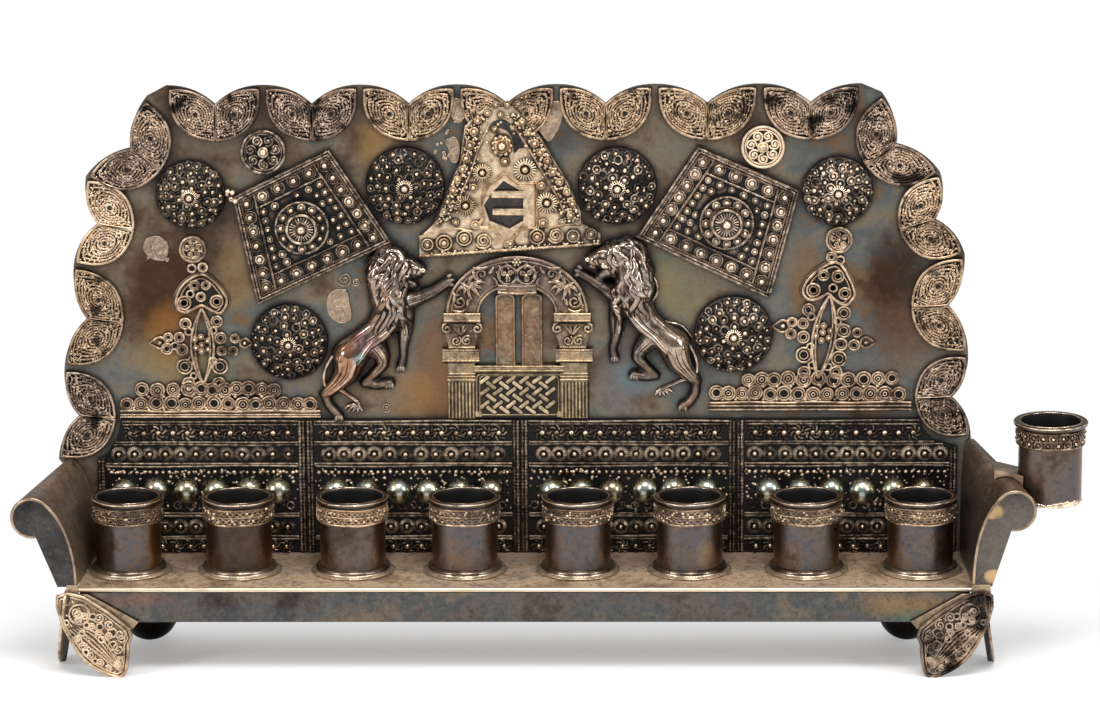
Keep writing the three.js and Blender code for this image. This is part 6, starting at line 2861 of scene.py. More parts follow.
@dataclass
class Ark:
    """The ark's front: arch, crown, columns, tablets and gate."""

    middle: float = -1.8
    bottom: float = 52.7
    spring: float = 77.5
    outer: Pair = (16.3, 13.4)
    inner: Pair = (8.7, 6.4)
    crown_z: float = 86.5
    knob_z: float = 89.5
    seed: int = 560

    def build(self, shop: Workshop) -> None:
        """Makes the ark's front as one piece of relief.

        Args:
            shop: What makes and dresses the pieces.
        """
        work = Filigree(shop.stock, self.seed)
        self._arch(work)
        self._gate(work)
        for side in (-1, 1):
            self._column(work, side)
            self._scrollwork(work, side)
        self._tablets(work)
        self._crown(work)
        shop.laid(work, "ark_work", Finish.RELIEF, "ark_front")

    def _at(self, side: int, away: float) -> float:
        """The x at this distance from the ark's middle, to the left for -1."""
        return self.middle + side * away

    def _arch(self, work: Filigree) -> None:
        """Lays the arch and the mouldings along its edges.

        Args:
            work: The filigree that it is laid in.
        """
        x, z = self.middle, self.spring
        band = arc(x, z, *self.outer, 0, 180, 36) + arc(x, z, *self.inner, 180, 0, 28)
        # Slightly less painted shade and dirt on the arch beside its ornaments.
        work.soil_and_shade = 1.7
        work.plate(band, -GAP, 1.1, 0.2, 0.45, 0.5)
        for grow, radius, lift in ((-0.35, 0.42, 1.1), (-1.25, 0.22, 1.1)):
            path = arc(x, z, self.outer[0] + grow, self.outer[1] + grow, 0, 180, 36)
            work.wire(path, radius, lift, tone=0.6)
        for grow, radius in ((0.3, 0.34), (1.05, 0.2)):
            path = arc(x, z, self.inner[0] + grow, self.inner[1] + grow, 0, 180, 28)
            work.wire(path, radius, 1.1, tone=0.6)

    def _scrollwork(self, work: Filigree, side: int) -> None:
        """Lays the acanthus scrolls on one half of the arch.

        Args:
            work: The filigree that it is laid in.
            side: -1 on the left, 1 on the right.
        """
        def at(away: float, z: float) -> Pair:
            """The point at this distance from the middle and at this height."""
            return (self._at(side, away), z)

        x, z = at(13.1, 80.2)
        work.wire(scroll(x, z, 1.75, 90, -side * 1.6, 24), 0.3, 1.2, tone=0.6)
        x, z = at(8.0, 86.6)
        work.wire(scroll(x, z, 1.35, 270, side * 1.4, 20), 0.27, 1.2, tone=0.6)
        star = (11.0, 84.0)
        for end, bulge, radius in (
            ((8.6, 81.4), 0.3, 0.42), ((7.6, 83.0), 0.4, 0.42), ((7.0, 84.7), 0.5, 0.4), ((9.6, 86.6), 0.4, 0.36),
            ((13.9, 82.4), -0.5, 0.42), ((12.0, 81.6), -0.4, 0.4), ((10.2, 80.6), -0.4, 0.4), ((13.2, 84.9), 0.2, 0.3),
        ):
            work.wire(bent(at(*star), at(*end), -side * bulge, 8), radius * 1.5, 1.2, Draw.TAPERED, tone=0.7)
        for start, end, bulge in (
            ((14.8, 78.4), (11.6, 78.6), 0.7), ((14.6, 82.6), (15.2, 79.2), -0.6), ((11.3, 79), (10.2, 81.2), -0.5),
            ((10, 88.3), (6.6, 88.6), 0.5), ((9.8, 87.7), (8.4, 84.9), 0.6), ((6.6, 86.8), (5.4, 88.4), 0.3),
        ):
            work.wire(bent(at(*start), at(*end), side * bulge, 8), 0.5, 1.2, Draw.TAPERED, tone=0.7)

    def _crown(self, work: Filigree) -> None:
        """Lays the crown over the arch's top.

        Args:
            work: The filigree that it is laid in.
        """
        x = self.middle
        work.plate([(x - 4.5, 82.2), (x + 4.6, 82), (x + 4.2, 84.4), (x - 4.2, 84.4)], 1.0, 1.75, 0.25, 0.5)
        for z, radius in ((82.5, 0.36), (83.3, 0.2), (84.1, 0.34)):
            work.wire(bent((x - 4.3, z), (x + 4.3, z), -0.25, 8), radius, 1.85, tone=0.6)
        for side in (-1, 1):
            cx = x + side * 2.15
            work.wire(circle(cx, self.crown_z, 2.15, 20), 0.34, 1.3, closed=True, tone=0.8)
            # A ring of painted shade inside each ring of the crown.
            work.wire(circle(cx, self.crown_z, 1.65, 18), 0.3, 1.3, closed=True, dark=True)
            for turn in (0, 120, 240):
                angle = math.radians(turn + 30)
                curl = (cx + 0.85 * math.cos(angle), self.crown_z + 0.85 * math.sin(angle))
                work.wire(scroll(*curl, 0.7, turn, 1.2, 12), 0.26, 1.35, tone=0.8)
            work.stamp(Stamp.GRANULE, cx, self.crown_z, 0.42, 1.7, 0.9)
            for away, z in ((4.3, 86.8), (4.9, 85.4), (3.7, 88.2), (2.3, 89.2)):
                leaf = bent((x + side * (away - 0.4), z - 1.6), (x + side * (away + 0.5), z + 0.5), side * 0.3, 6)
                work.wire(leaf, 0.42, 1.3, Draw.TAPERED, tone=0.6)
        for i in range(6):
            angle = TAU * i / 6
            spot = (x + 0.75 * math.cos(angle), self.knob_z + 0.75 * math.sin(angle))
            work.stamp(Stamp.GRANULE, *spot, 0.36, 1.6, 0.8)
        work.stamp(Stamp.GRANULE, x, self.knob_z, 0.4, 1.85, 1.0)

    def _column(self, work: Filigree, side: int) -> None:
        """Lays one column: abacus, bell, slab, neck and fluted shaft.

        Args:
            work: The filigree that it is laid in.
            side: -1 on the left, 1 on the right.
        """
        def box(near: float, far: float, low: float, high: float, thick: float, soften: float = 0.15) -> None:
            """Lays one block."""
            left, right = sorted((self._at(side, near), self._at(side, far)))
            work.plate([(left, low), (right, low), (right, high), (left, high)], -GAP, thick, soften, 0.5)

        def line(near: float, far: float, z: float, radius: float, lift: float) -> None:
            """Lays one level wire."""
            work.wire([(self._at(side, near), z), (self._at(side, far), z)], radius, lift, tone=0.65)

        box(8.4, 16.8, 75.5, 77.7, 1.9)
        line(8.4, 16.8, 77.4, 0.36, 1.85)
        line(8.5, 16.7, 75.8, 0.28, 1.85)
        bell = [(9.8, 69.2), (15.6, 69.2), (16.4, 72.3), (16.8, 75.5), (8.5, 75.5), (9.0, 72.3)]
        work.plate([(self._at(side, a), z) for a, z in bell], -GAP, 1.3, 0.3, 0.4, 0.5)
        # A line of painted shade under the abacus.
        work.wire([(self._at(side, 8.8), 75.2), (self._at(side, 16.4), 75.2)], 0.3, 1.2, dark=True)
        # Strokes of painted shade in the bell's creases.
        for near, far in ((9.6, 10.4), (15.6, 14.8)):
            work.wire([(self._at(side, near), 73.0), (self._at(side, far), 69.8)], 0.3, 1.2, Draw.TAPERED, dark=True)
        for away, z, start, turns in ((16.1, 74.0, 90, -1.3), (9.2, 74.0, 90, 1.3)):
            work.pit(self._at(side, away), z, 0.8, 1.36)
            work.wire(scroll(self._at(side, away), z, 1.25, start, side * turns, 18), 0.32, 1.5, tone=0.8)
        for away, turns in ((14.0, 1.5), (11.6, -1.5)):
            work.pit(self._at(side, away), 71.1, 1.0, 1.34)
            work.wire(scroll(self._at(side, away), 71.1, 1.25, 60, side * turns, 18), 0.3, 1.45, tone=0.8)
        for away, z in ((11, 74.6), (12, 74.9), (13.6, 74.9), (14.6, 74.6)):
            start = (self._at(side, 12.8), 72.4)
            work.wire(bent(start, (self._at(side, away), z), 0.15, 6), 0.32, 1.45, Draw.TAPERED, tone=0.65)
        line(9.7, 15.7, 69.5, 0.3, 1.3)
        # A line of painted shade under the slab.
        work.wire([(self._at(side, 9.0), 66.0), (self._at(side, 17.0), 66.0)], 0.3, 1.15, dark=True)
        box(8.8, 17.2, 66.2, 69.1, 1.8)
        for z, radius in ((68.9, 0.3), (66.4, 0.3)):
            line(8.8, 17.2, z, radius, 1.75)
        for away in np.arange(9.4, 16.9, 0.42):
            x = self._at(side, float(away))
            work.wire([(x, 67.1), (x, 68.3)], 0.13, 1.8, tone=0.6)
        box(9.8, 16, self.bottom, 66.4, 1.2, 0.1)
        for z in (63.3, 62.6, 61.8):
            line(9.7, 16.1, z, 0.26, 1.25)
        for i in range(8):
            x = self._at(side, 10.2 + i * 0.8)
            work.wire([(x, self.bottom + 0.2), (x, 61.3)], 0.26, 1.25, tone=0.7)
            # A fine line of painted shade beside each flute.
            work.wire([(x + 0.4, self.bottom + 0.2), (x + 0.4, 61.3)], 0.11, 1.17, dark=True)

    def _gate(self, work: Filigree) -> None:
        """Lays the gate with its rail, frame and woven bars.

        Args:
            work: The filigree that it is laid in.
        """
        left, right = -11.8, 8.8
        work.plate([(left, self.bottom), (right, self.bottom), (right, 64.2), (left, 64.2)], -GAP, 0.7, 0.1, 0.3)
        work.plate([(left, 63.6), (right, 63.6), (right, 65.3), (left, 65.3)], -GAP, 1.5, 0.15, 0.5)
        for z in (64.0, 65.0):
            work.wire([(left, z), (right, z)], 0.3, 1.5, tone=0.65)
        for inset, radius in ((0.5, 0.3), (1.25, 0.22)):
            top = 63.4 - inset * 0.5
            near, far = left + inset, right - inset
            bends = [*arc(near + 1.2, top - 1.2, 1.2, 1.2, 180, 90, 5), *arc(far - 1.2, top - 1.2, 1.2, 1.2, 90, 0, 5)]
            work.wire([(near, self.bottom + 0.4), *bends, (far, self.bottom + 0.4)], radius, 0.9, tone=0.65)
        work.wire([(left + 1.2, 53.5), (right - 1.2, 53.5)], 0.24, 0.9, tone=0.65)
        for x in (left + 0.9, right - 0.9):
            work.plate([(x - 0.7, 53), (x + 0.7, 53), (x + 0.7, 54.4), (x - 0.7, 54.4)], 0.5, 1.3, 0.15, 0.6)
        for row, z in enumerate((61.8, 60.45, 59, 57.5, 55.9, 54.6)):
            leaning = row % 2 == 0
            for k in range(6 if leaning else 5):
                x = left + 2.35 + 3.02 * k + (0 if leaning else 1.51)
                work.shaped(Stamp.BAR, (x, z, 0.95), (1.36, 1.25, 0.95), 38 if leaning else -38, 0.8)

    def _tablets(self, work: Filigree) -> None:
        """Lays the two plain tablets with raised borders.

        Args:
            work: The filigree that it is laid in.
        """
        for left, right in ((-6.9, -2.2), (-0.9, 4)):
            half = (right - left) / 2
            top = arc(left + half, 80.9, half, 1.4, 180, 0, 12)
            work.plate([(right, 65.2), (left, 65.2), *top], -GAP, 1.05, 0.15, 0.5, 0.6)
            rim = arc(left + half, 80.9, half - 0.35, 1.05, 180, 0, 12)
            work.wire([(left + 0.35, 65.3), *rim, (right - 0.35, 65.3)], 0.3, 1.05, tone=0.75)


# Lions


@dataclass(frozen=True)
class LionPlan:
    """One lion: its limbs as runs of x, z, height and radius, and where its hair and features lie.

    The locks are its largest curls, laid as painted highlights, and the ridge is a painted highlight along its back.
    """

    limbs: tuple[tuple[tuple[float, float, float, float], ...], ...]
    tail: tuple[Pair, ...]
    claws: tuple[tuple[Pair, Pair], ...]
    eye: Pair
    nose: Pair
    way: int
    locks: tuple[tuple[Pair, ...], ...] = ()
    ridge: tuple[Pair, ...] = ()


LEFT_LION = LionPlan(
    limbs=(
        ((-29.8, 90.0, 1.2, 3.3), (-27.8, 88.9, 1.5, 2.6), (-26.0, 88.2, 1.7, 2.2), (-24.5, 87.8, 1.8, 1.9)),
        ((-28.6, 87.8, 1.4, 2.5),),
        ((-28.3, 85.8, 0.9, 2.0), (-26.6, 84.6, 1.0, 1.45), (-25.4, 84.2, 1.0, 1.15)),
        ((-31.4, 90.6, 0.6, 3.4), (-32.0, 86.0, 0.8, 4.4), (-31.2, 81.5, 1.0, 4.5), (-30.0, 77, 0.9, 3.9)),
        ((-28.4, 80.0, 0.9, 2.6), (-24.8, 81.0, 0.9, 1.9), (-21.2, 82.4, 0.8, 1.5), (-17.4, 84.9, 0.7, 1.3)),
        ((-27.6, 77.2, 0.9, 2.3), (-27.5, 73.4, 0.9, 1.75), (-27.9, 70.2, 0.8, 1.1), (-28.0, 67.0, 0.6, 0.85)),
        ((-28.0, 67.0, 0.6, 0.85), (-28.6, 64.9, 0.7, 1.05)),
        ((-31.2, 77.0, 0.6, 4.0), (-33.4, 73.8, 0.8, 3.1), (-36.6, 71.4, 0.8, 3.0), (-40.2, 67.6, 1.1, 4.3)),
        ((-40.2, 67.6, 1.1, 4.3), (-41.0, 63.8, 1.0, 3.1), (-43.4, 60.8, 0.9, 2.0), (-46.2, 58.4, 0.7, 1.3)),
        ((-46.2, 58.4, 0.6, 1.15), (-45.4, 55.9, 0.6, 1.05), (-44.0, 54.2, 0.7, 1.2), (-43.0, 53.3, 0.7, 1.0)),
        ((-35.2, 70.8, 0.7, 3.0), (-33.0, 67.6, 0.7, 2.0), (-32.7, 65.4, 0.7, 1.35), (-35.0, 62.9, 0.7, 1.2)),
        ((-35.0, 62.9, 0.7, 1.2), (-37.0, 61.0, 0.7, 1.15), (-34.4, 60.4, 0.7, 1.1), (-31.2, 61.0, 0.7, 1.25)),
    ),
    tail=(
        (-44.1, 67.4), (-45.9, 64.5), (-46.3, 61.4), (-45.4, 59.7), (-43.2, 59.6), (-41.0, 58.2), (-38.9, 56.6),
        (-38.1, 54.9),
    ),
    claws=(((-17.2, 86.3), (-15.4, 87.2)), ((-16.7, 85.3), (-14.8, 85.6)), ((-16.8, 84.2), (-15.3, 83.9))),
    eye=(-26.7, 89.4),
    nose=(-23.2, 87.9),
    way=1,
    locks=(
        ((-30.9, 92.6), (-29.0, 92.4), (-27.9, 90.9), (-28.9, 89.2), (-29.9, 87.4), (-29.7, 85.2), (-30.7, 83.2)),
        ((-31.2, 89.9), (-33.9, 90.8), (-35.6, 89.0)), ((-31.2, 88.7), (-33.9, 88.7), (-35.6, 87.0)),
        ((-31.3, 87.5), (-33.9, 86.7), (-35.3, 84.7)), ((-31.4, 86.3), (-33.2, 85.0), (-34.8, 82.7)),
        ((-29.2, 85.2), (-30.2, 83.2), (-29.7, 81.2), (-28.5, 79.7), (-28.2, 77.6), (-27.8, 75.1), (-27.5, 72.6)),
        ((-26.9, 84.0), (-27.7, 82.7), (-28.2, 81.2), (-27.2, 79.2)),
    ),
)
RIGHT_LION = LionPlan(
    limbs=(
        ((21.2, 91.4, 1.2, 3.5), (18.8, 91.0, 1.5, 2.7), (17.0, 90.4, 1.7, 2.3), (15.8, 90.0, 1.8, 1.95)),
        ((20.4, 89.2, 1.4, 2.6),),
        ((20.0, 88.0, 0.9, 2.2), (18.4, 86.8, 0.9, 1.45), (17.4, 86.3, 0.9, 1.1)),
        ((23.3, 92.2, 0.6, 3.4), (25.0, 88.0, 0.8, 4.4), (25.2, 83.4, 1.0, 4.6), (24.8, 80.2, 0.9, 4.0)),
        ((20.6, 81.6, 0.9, 2.3), (18.0, 83.4, 0.8, 1.55), (15.0, 85.4, 0.7, 1.25), (12.2, 87.0, 0.6, 1.1)),
        ((21.4, 78.6, 0.9, 2.2), (20.6, 75.4, 0.8, 1.5), (20.8, 72.0, 0.7, 1.15), (19.9, 69.0, 0.6, 0.9)),
        ((19.9, 69.0, 0.6, 0.9), (20.4, 67.0, 0.7, 1.0)),
        ((25.2, 79.6, 0.6, 4.1), (27.6, 75.8, 0.8, 3.2), (30.6, 73.1, 0.8, 3.0), (34.0, 70.1, 1.1, 4.0)),
        ((34.0, 70.1, 1.1, 4.0), (35.0, 66.4, 1.0, 3.1), (36.9, 63.7, 0.9, 2.1), (39.0, 61.4, 0.7, 1.4)),
        ((39.0, 61.4, 0.6, 1.3), (38.9, 58.4, 0.6, 1.1), (37.4, 56.2, 0.7, 1.2), (36.0, 55.6, 0.7, 1.1)),
        ((28.8, 71.6, 0.7, 2.8), (26.4, 69.0, 0.7, 1.8), (25.6, 67.0, 0.7, 1.35), (27.8, 64.5, 0.7, 1.15)),
        ((27.8, 64.5, 0.7, 1.15), (29.8, 62.6, 0.7, 1.1), (27.4, 62.3, 0.7, 1.05), (24.8, 62.9, 0.7, 1.15)),
    ),
    tail=(
        (37.2, 70.2), (38.8, 67.4), (39.3, 64.4), (38.4, 62.0), (36.3, 61.6), (33.9, 60.6), (31.6, 59.6),
        (30.2, 58.6),
    ),
    claws=(((12.6, 88.2), (10.9, 89.2)), ((12.0, 87.4), (10.0, 87.9)), ((11.9, 86.4), (10.4, 86.2))),
    eye=(17.9, 91.5),
    nose=(14.4, 90.3),
    way=-1,
    locks=(
        ((21.3, 92.6), (22.4, 91.2), (21.6, 89.6), (20.3, 90.2), (20.5, 91.5)),
        ((22.6, 93.6), (24.6, 93.2), (26.4, 91.2), (26.8, 88.6), (27.9, 86.4)),
        ((22.8, 90.6), (24.0, 88.6), (23.2, 86.6), (24.4, 84.4), (24.0, 82.2)),
        ((24.4, 91.6), (25.4, 89.2), (24.8, 87.0), (26.2, 84.6), (25.8, 82.0), (26.8, 80.0)),
        ((21.8, 88.0), (22.4, 85.8), (21.6, 83.6), (22.8, 81.2), (22.6, 78.6)),
        ((19.8, 80.6), (20.9, 78.6), (21.6, 76.0), (21.4, 72.6)),
    ),
    ridge=(
        (28.4, 86.6), (29.9, 84.7), (30.2, 82.2), (29.0, 79.7), (29.4, 76.8), (32.3, 75.2), (35.6, 74.4), (38.2, 71.6),
    ),
)


@dataclass
class Lions:
    """The two rampant lions, modelled in relief on the backplate.

    Attributes:
        plans: Where each lion's parts lie.
        voxel: The size of the voxels that join the limbs.
        limb_step: The distance between the balls along a limb.
        height_share: How much of the planned height the balls get.
        smoothing: How strongly the joined body is smoothed.
        smooth_times: How often.
        sink: How far its back is sunk into the plate.
        slim: How much the raised balls are smaller than planned.
        flange: How much the flat ones under them are larger.
        flange_rise: How high those rise.
        spine: The limb that the mane hangs from.
        mane_rows: The number of rows of locks.
        mane_columns: The number of locks in a row.
        mane_pitch: The distance between them.
        lock_points: The number of points along a lock.
        paws: The limbs that end in toes.
        muscles: The limb of each muscle, and how far it lies off the limb's middle.
        seed: The seed of their random numbers.
    """

    plans: dict[str, LionPlan] = field(default_factory=lambda: {"left": LEFT_LION, "right": RIGHT_LION})
    voxel: float = 0.34
    limb_step: float = 0.55
    height_share: float = 0.9
    smoothing: float = 0.6
    smooth_times: int = 7
    sink: float = 0.25
    slim: float = 0.25
    flange: float = 0.3
    flange_rise: float = 0.6
    spine: int = 3
    mane_rows: int = 7
    mane_columns: int = 5
    mane_pitch: float = 1.85
    lock_points: int = 15
    paws: tuple[int, ...] = (6, 9, 11)
    muscles: tuple[tuple[int, float], ...] = (
        (3, -0.5), (3, 0.55), (7, -0.6), (7, 0.55), (8, -0.5), (8, 0.35), (4, 0.3), (5, -0.3), (10, 0.3),
    )
    seed: int = 600

    def build(self, shop: Workshop) -> None:
        """Makes both lions.

        Args:
            shop: What makes and dresses the pieces.
        """
        for side, plan in self.plans.items():
            body = self._body(plan)
            ground = BVHTree.FromBMesh(body)
            work = Filigree(shop.stock, self.seed + len(side))
            work.plates.append(Patch.of_mesh(mesh_of(body), 0.5))
            self._mane(work, plan, ground)
            self._curls(work, plan, ground)
            self._face(work, plan, ground)
            self._tail(work, plan)
            self._paws(work, plan)
            self._muscles(work, plan, ground)
            shop.laid(work, f"lion_work_{side}", Finish.LION, f"lion_{side}")

    def _body(self, plan: LionPlan) -> bmesh.types.BMesh:
        """Joins the limbs into one smooth body with a flat back.

        Args:
            plan: Where the lion's parts lie.

        Returns:
            The body, which lies flat in x and z with its relief upwards.
        """
        bm = bmesh.new()
        for limb in plan.limbs:
            for x, z, w, radius in evenly(limb, self.limb_step, False) if len(limb) > 1 else limb:
                high = Matrix.Translation((x, z, w * self.height_share + self.slim))
                bmesh.ops.create_icosphere(bm, subdivisions=2, radius=radius - self.slim, matrix=high)
                low = Matrix.Translation((x, z, 0)) @ Matrix.Diagonal((1, 1, self.flange_rise / radius, 1))
                bmesh.ops.create_icosphere(bm, subdivisions=2, radius=radius + self.flange, matrix=low)
        holder = bpy.data.objects.new("lion_raw", mesh_of(bm))
        remesh = holder.modifiers.new("skin", "REMESH")
        remesh.mode = "VOXEL"
        remesh.voxel_size = self.voxel
        smooth = holder.modifiers.new("soft", "SMOOTH")
        smooth.factor = self.smoothing
        smooth.iterations = self.smooth_times
        body = bmesh.new()
        body.from_mesh(baked(holder))
        bpy.data.objects.remove(holder)
        cut_level(body, -self.sink, 1)
        bmesh.ops.recalc_face_normals(body, faces=body.faces)
        return body

    @staticmethod
    def _surface(ground: BVHTree, x: float, z: float) -> float:
        """The height of the body's surface over this place."""
        hit = ground.ray_cast(Vector((x, z, 30)), Vector((0, 0, -1)))[0]
        return max(0.0, hit.z) if hit else 0.1

    def _draped(self, ground: BVHTree, path: Sequence[Pair]) -> list[tuple[float, float, float]]:
        """A path laid on the body's surface."""
        return [(x, z, self._surface(ground, x, z)) for x, z in path]

    def _stroke(
        self, work: Filigree, ground: BVHTree, path: Sequence[Pair], radius: float, lift: float, **looks: float | bool
    ) -> None:
        """Lays one tapered wire on the body's surface.

        Args:
            work: The filigree that it is laid in.
            ground: The body's surface.
            path: The wire's points as x and z.
            radius: Its greatest radius.
            lift: How high its axis lies over the surface.
            looks: Its tone, or whether it is painted dark as shade or bright as a highlight.
        """
        work.wire(self._draped(ground, path), radius, lift, Draw.TAPERED, **looks)

    def _mane(self, work: Filigree, plan: LionPlan, ground: BVHTree) -> None:
        """Lays the mane's locks: wavy tapered strokes that fall back from the face and down the chest.

        Args:
            work: The filigree that it is laid in.
            plan: Where the lion's parts lie.
            ground: The body's surface.
        """
        spine = np.array(plan.limbs[self.spine])[:, :2]
        way = plan.way
        for row in range(self.mane_rows):
            share = row / (self.mane_rows - 1)
            point = np.array([np.interp(share * 3, range(4), spine[:, k]) for k in range(2)])
            for column in range(self.mane_columns):
                offset = (column - self.mane_columns // 2) * self.mane_pitch + work.chance.uniform(-0.35, 0.35)
                x0 = point[0] + offset + way * 0.9 * (1 - share)
                z0 = point[1] + 3.2 - 0.09 * offset**2 + work.chance.uniform(-0.6, 0.6)
                length = work.chance.uniform(4.6, 6.8)
                lean = -way * (0.9 - 0.9 * share) + offset * 0.12 + work.chance.uniform(-0.2, 0.2)
                path = []
                wave = work.chance.choice([-1, 1]) * work.chance.uniform(0.45, 0.85)
                for i in range(self.lock_points):
                    t = i / (self.lock_points - 1)
                    path.append((
                        x0 + lean * length * t * 0.6 + wave * math.sin(t * TAU * 0.9),
                        z0 - length * t + 0.4 * wave * math.sin(t * 5),
                    ))
                if any(self._surface(ground, *p) < 0.4 for p in path[2:-2]):
                    continue
                radius = work.chance.uniform(0.62, 0.98)
                lift = work.chance.uniform(0.0, 0.45)
                self._stroke(work, ground, path, radius, lift, tone=0.35 + 1.1 * lift)
                # A line of painted shade beside each lock.
                beside = [(x + radius * 0.95, z) for x, z in path]
                self._stroke(work, ground, beside, 0.3, 0.28, dark=True)

    def _curls(self, work: Filigree, plan: LionPlan, ground: BVHTree) -> None:
        """Lays the largest curls as painted highlights with a line of painted shade on both sides, and a painted
        highlight along the back.

        Args:
            work: The filigree that it is laid in.
            plan: Where the lion's parts lie.
            ground: The body's surface.
        """
        for lock in plan.locks:
            path = rounded(lock, False, 6)
            self._stroke(work, ground, path, 0.95 if len(lock) > 4 else 0.75, 0.2, lit=True)
            for shift in (-1.0, 1.0):
                beside = [(x + shift, z - 0.1) for x, z in path]
                self._stroke(work, ground, beside, 0.42, 0.1, dark=True)
        if plan.ridge:
            work.wire([(x, z, 0.3) for x, z in rounded(plan.ridge, False, 6)], 0.5, 0.0, Draw.TAPERED, lit=True)

    def _face(self, work: Filigree, plan: LionPlan, ground: BVHTree) -> None:
        """Lays the eye, brow, nose, bridge, cheek, lips, creases and ear.

        Args:
            work: The filigree that it is laid in.
            plan: Where the lion's parts lie.
            ground: The body's surface.
        """
        way = plan.way
        ex, ez = plan.eye
        height = self._surface(ground, ex, ez)
        # A ring of painted shade round the eye.
        socket = arc(ex, ez, 1.15, 0.8, 0, 360, 12)
        work.wire(self._draped(ground, socket), 0.2, 0.0, closed=True, dark=True)
        work.shaped(Stamp.BALL, (ex, ez, height), (0.6, 0.45, 0.5), 0, 0.9)
        brow = [
            (ex - way * 2.1, ez + 0.2), (ex - way * 1.0, ez + 0.95), (ex + way * 0.7, ez + 0.8), (ex + way * 1.6, ez),
        ]
        self._stroke(work, ground, rounded(brow, False), 0.42, 0.1, tone=0.8)
        nx, nz = plan.nose
        work.shaped(Stamp.BALL, (nx, nz, self._surface(ground, nx, nz) + 0.1), (0.7, 0.6, 0.45), 0, 1.0)
        # The bridge of the nose is a painted highlight.
        bridge = [(ex + way * 0.9, ez + 0.2), (nx - way * 1.8, nz + 0.9), (nx - way * 0.6, nz + 0.6)]
        self._stroke(work, ground, rounded(bridge, False), 0.55, 0.05, lit=True)
        cheek = (ex - way * 0.9, ez - 2.2)
        work.shaped(Stamp.BALL, (*cheek, self._surface(ground, *cheek) - 0.1), (1.5, 0.95, 0.5), -20 * way, 1.0)
        # The upper lip, and under it a line of painted shade.
        for drop, radius, dark in ((0.0, 0.4, False), (-0.7, 0.26, True)):
            lip = [(nx - way * along, nz - down + drop) for along, down in ((0.2, 1.3), (2, 1.9), (4.2, 1.5))]
            self._stroke(work, ground, rounded(lip, False), radius, 0.1, tone=0.7, dark=dark)
        # Creases of painted shade beside the nose.
        for dx, dz in ((1.6, 0.7), (2.7, 0.6)):
            crease = bent((nx - way * dx, nz + dz), (nx - way * (dx + 0.3), nz + dz - 1.6), way * 0.5, 6)
            self._stroke(work, ground, crease, 0.2, 0.02, dark=True)
        ear = (ex - way * 3.4, ez + 1.6)
        work.shaped(Stamp.BALL, (*ear, self._surface(ground, *ear)), (1.1, 0.75, 0.6), 60 * way, 0.7)
        fold = bent((ear[0] - 0.8, ear[1]), (ear[0] + 0.8, ear[1] + 0.4), 0.5, 6)
        work.wire(self._draped(ground, fold), 0.24, 0.45, tone=0.8)

    @staticmethod
    def _tail(work: Filigree, plan: LionPlan) -> None:
        """Lays the tail and the five strokes of its tuft, all as painted highlights.

        Args:
            work: The filigree that it is laid in.
            plan: Where the lion's parts lie.
        """
        way = plan.way
        work.wire([(x, z, 0.35) for x, z in rounded(plan.tail, False)], 0.5, 0.0, lit=True)
        tx, tz = plan.tail[-1]
        for i in range(5):
            angle = math.radians(-90 - way * 20 + 22 * (i - 2))
            start = (tx - way * 0.8, tz + 1.0)
            end = (start[0] + 3.2 * math.cos(angle), start[1] + 3.0 * math.sin(angle) * 0.8)
            work.wire(bent(start, end, 0.3 * (i - 2) * 0.5, 6), 0.42, 0.4, Draw.TAPERED, lit=True)

    def _paws(self, work: Filigree, plan: LionPlan) -> None:
        """Lays the claws of the raised paw and the toes of the other three.

        Args:
            work: The filigree that it is laid in.
            plan: Where the lion's parts lie.
        """
        for start, end in plan.claws:
            turn = math.degrees(math.atan2(end[1] - start[1], end[0] - start[0]))
            work.shaped(Stamp.BALL, (*start, 1.0), (0.75, 0.5, 0.6), turn, 0.8)
        for limb in self.paws:
            x, z = plan.limbs[limb][-1][:2]
            for k in (-1, 0, 1):
                cx, cz = x + k * 0.62, z - 0.4 - 0.15 * abs(k)
                work.shaped(Stamp.BALL, (cx, cz, 1.0), (0.44, 0.85, 0.7), 10 * k, 0.8)

    def _muscles(self, work: Filigree, plan: LionPlan, ground: BVHTree) -> None:
        """Lays a low stroke and a fine line of painted shade beside it along each muscle.

        Args:
            work: The filigree that it is laid in.
            plan: Where the lion's parts lie.
            ground: The body's surface.
        """
        for number, share in self.muscles:
            limb = np.array(plan.limbs[number])
            run = np.gradient(limb[:, :2], axis=0)
            run /= np.linalg.norm(run, axis=1, keepdims=True)
            side = np.column_stack([-run[:, 1], run[:, 0]]) * plan.way
            line = rounded([tuple(p) for p in limb[:, :2] + side * limb[:, 3:] * share], False, 5)
            self._stroke(work, ground, line, float(limb[:, 3].mean()) * 0.3, -0.25, tone=0.75)
            line = rounded([tuple(p) for p in limb[:, :2] + side * limb[:, 3:] * (share - 0.4)], False, 5)
            self._stroke(work, ground, line, 0.17, -0.06, dark=True)


# Cups


@dataclass(frozen=True)
class CupPlan:
    """One cup: its place, its radii, its height and how brown its sides are."""

    name: str
    node: str
    x: float
    y: float
    z: float
    bore: float
    tube: float
    lip: float
    flange: float
    height: float
    brown: float = 0.7


